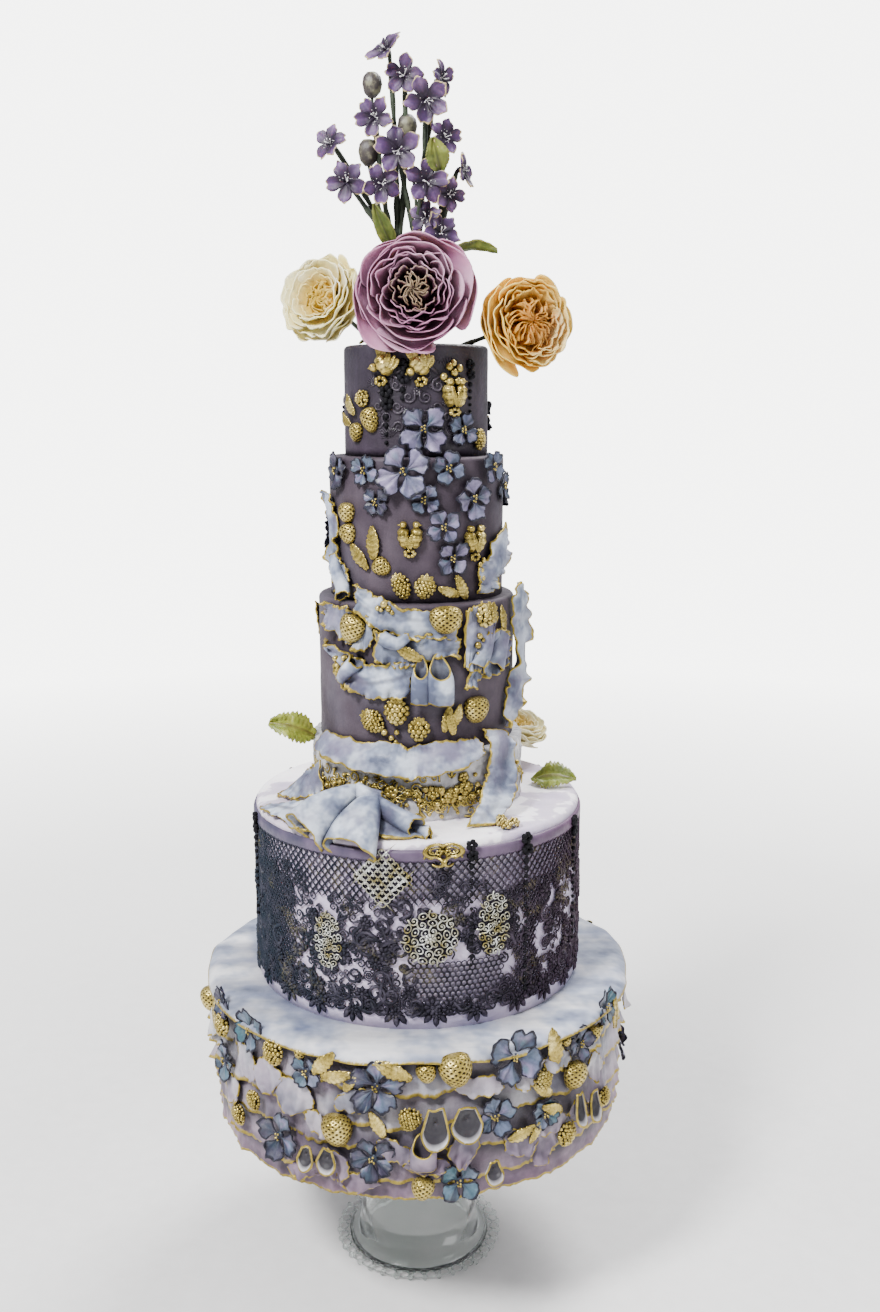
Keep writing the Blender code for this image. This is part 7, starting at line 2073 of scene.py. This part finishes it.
def greenLeafPart(base, tip, width, up, seed, serrated=0.0, cup=0.16, waviness=0.05, thick=0.9,
                  twist=0.0):
    base, tip, up = (np.array(v, float) for v in (base, tip, up))
    length = np.linalg.norm(tip - base)
    ahead = (tip - base) / length
    normal = up - ahead * (ahead @ up)
    normal /= np.linalg.norm(normal)
    side = np.cross(ahead, normal)
    t = np.linspace(0, 1, 41)[:, None]
    s = np.linspace(-1, 1, 15)[None, :]
    outline = np.sin(math.pi * np.clip(0.04 + 0.93 * t ** 0.9, 0, 1)) ** 0.8
    teeth = 1 + serrated * (np.abs(((t * 11) % 1) - 0.25) * -1.2 + 0.35)
    half = 0.5 * width * outline * teeth
    vein = 0.02 * length * np.abs(np.sin(math.pi * 7 * (t - 0.3 * np.abs(s)))) * np.abs(s) ** 0.6 * 0.5
    z = (length * 0.12 * np.sin(math.pi * t) + width * cup * np.abs(s) - vein
         + width * waviness * waves(t * 6, seed, (1, 2, 4)) * s + 0.04 * width * np.cos(10 * s))
    spin = twist * t
    x, y = half * s * np.cos(spin) - z * np.sin(spin) * 0.5, half * s * np.sin(spin) + z
    grid = base + ahead * (length * t)[..., None] + side * x[..., None] + normal * y[..., None]
    edge = (1 - np.abs(s)) * np.maximum(half, 0.3)
    return sheetPart(grid, thick, rim=np.clip(1.1 - edge / 1.0, 0, 1),
                     deep=np.clip(np.abs(s) * 1.2, 0, 1) + 0 * t)


flowerParts, budParts, sprayStems, stamenRows, whiteRows = [], [], [], [], []


def knobblyStem(first, last, thick, seed, sag=3.0):
    first, last = np.asarray(first, float), np.asarray(last, float)
    count = max(6, int(np.linalg.norm(last - first) / 4))
    share = np.linspace(0, 1, count)[:, None]
    bow = np.array([math.sin(seed) * sag, math.cos(1.7 * seed) * sag * 0.5, 0]) * np.sin(math.pi * share)
    return tubePart(first + (last - first) * share + bow,
                    thick * (1.15 - 0.3 * share[:, 0])
                    * (1 + 0.14 * waves(share[:, 0] * 22, seed, (1, 2.3))), 7)


for number, fork in enumerate(forks):
    sprayStems.append(knobblyStem(sprayRoot + (4.5 * (number - 1), 0, 0.3), fork, 3.6, number))
for number, (spot, facing, bloomRadius, fork) in enumerate(sprayFlowers):
    away = np.array(facing, float) / np.linalg.norm(facing)
    spot = np.array(spot, float)
    sprayStems.append(knobblyStem(forks[fork], spot - away * 5, 2.1, 7 + number))
    for k in range(5):
        flowerParts.append(aimed(sprayPetal(fullTurn * k / 5 + 0.1 * math.sin(number + k), bloomRadius,
                                            500 + 9 * number + k), spot - away * 2.5, facing,
                                            10 * bloomRadius + 14 * number))
    throat = lathePart([(0, -3.5), (1.7, -2.5), (2.4, 0.2), (1.5, 1.2), (0, 1.4)], 10, deep=0.0)
    flowerParts.append(aimed(throat, spot - away * 2.5, facing))
    draw = random.Random(number)
    for k in range(4):
        a, slope = draw.uniform(0, fullTurn), draw.uniform(0.15, 0.4)
        tip = aimed(part([[bloomRadius * 0.34 * math.cos(a) * slope * 2,
                           bloomRadius * 0.34 * math.sin(a) * slope * 2, bloomRadius * 0.42]]),
                           spot - away * 2.5, facing)["points"][0]
        stamenRows.append((spot - away * 1.5, tip))
        whiteRows.append((*tip, (0, 0, 0), 0.55))
    for k in range(9):
        a, far = draw.uniform(0, fullTurn), draw.uniform(0.2, 0.42) * bloomRadius
        dot = aimed(part([[far * math.cos(a), far * math.sin(a),
                           0.32 * bloomRadius * (far / bloomRadius) ** 0.7 + 0.9]]), spot - away * 2.5,
                           facing)["points"][0]
        whiteRows.append((*dot, (0, 0, 0), 0.32))
for number, (spot, bloomRadius, fork) in enumerate(sprayBuds):
    spot = np.array(spot, float)
    sprayStems.append(knobblyStem(forks[fork], spot - (0, 0, bloomRadius * 0.9), 1.2, 30 + number))
    profile = [(0, -1), (0.3, -0.95), (0.66, -0.55), (0.8, 0.05), (0.7, 0.6), (0.42, 0.92), (0.2, 0.9),
               (0, 0.8)]
    bud = lathePart([(r * bloomRadius, h * bloomRadius) for r, h in profile], 20)
    b = bud["points"]
    swell = 1 + 0.05 * np.cos(5 * np.arctan2(b[:, 1], b[:, 0]))
    b[:, 0] *= swell
    b[:, 1] *= swell
    budParts.append(moved(bud, lambda p, spot=spot: p + spot))
makePiece("spray", flowerParts, "violet", "violet_petal", "blossom_spray")
makePiece("sprayBuds", budParts, "bud", "violet_petal")
sprayFoot = lathePart([(0, 0), (8, 0), (7, 3), (3, 4.5), (0, 5)], 14)
sprayStems.append(moved(sprayFoot, lambda p: p + sprayRoot))
makePiece("sprayStems", sprayStems, "stem", "green_leaf")
makePiece("sprayLeaf", [greenLeafPart((18, 0, 849), (12, -6, 872), 17, (0.1, -1, 0.2), 77, 0.1, 0.18)],
          "topLeaf", "green_leaf")
makePiece("sprayStamens", [tubePart([a, 0.5 * (a + b), b], 0.22, 4) for a, b in stamenRows], "white",
          "violet_petal")
scatter("sprayDots", "pearl", whiteRows, "white", "violet_petal")

# Green leaves

greenLeaves = {     # node: base, tip, width, up, teeth, cup, twist
    "leaf_spray": ((-16.5, 10, 796), (-30, 0, 828), 13, (0, -1, 0.2), 0.0, 0.2, 0.4),
    "leaf_top_right": ((21.4, 12.4, 790), (60, 2, 793), 12, (0, -0.4, 1), 0.0, 0.3, 1.8),
    "leaf_under_cream": ((-22, -2, 728), (-40, -20, 728.4), 12, (0, 0, 1), 0.0, 0.1, 0.0),
    "leaf_side_left": ((-78, -22, 436), (-112, -30, 448), 26, (-0.1, -0.8, 0.8), 0.3, 0.12, 0.0),
    "leaf_side_right": ((92, 18, 388.9), (126, 8, 392), 28, (0.1, -0.5, 1), 0.3, 0.12, 0.0),
}
for seed, (node, (base, tip, width, up, teeth, cup, twist)) in enumerate(greenLeaves.items()):
    makePiece(node.replace("_", ""), [greenLeafPart(base, tip, width, up, seed, teeth, cup, twist=twist)],
         "leaf" if teeth else "topLeaf", "green_leaf", node)
print("spray and leaves placed")

for leftover in motifObjects.values():
    bpy.data.objects.remove(leftover)
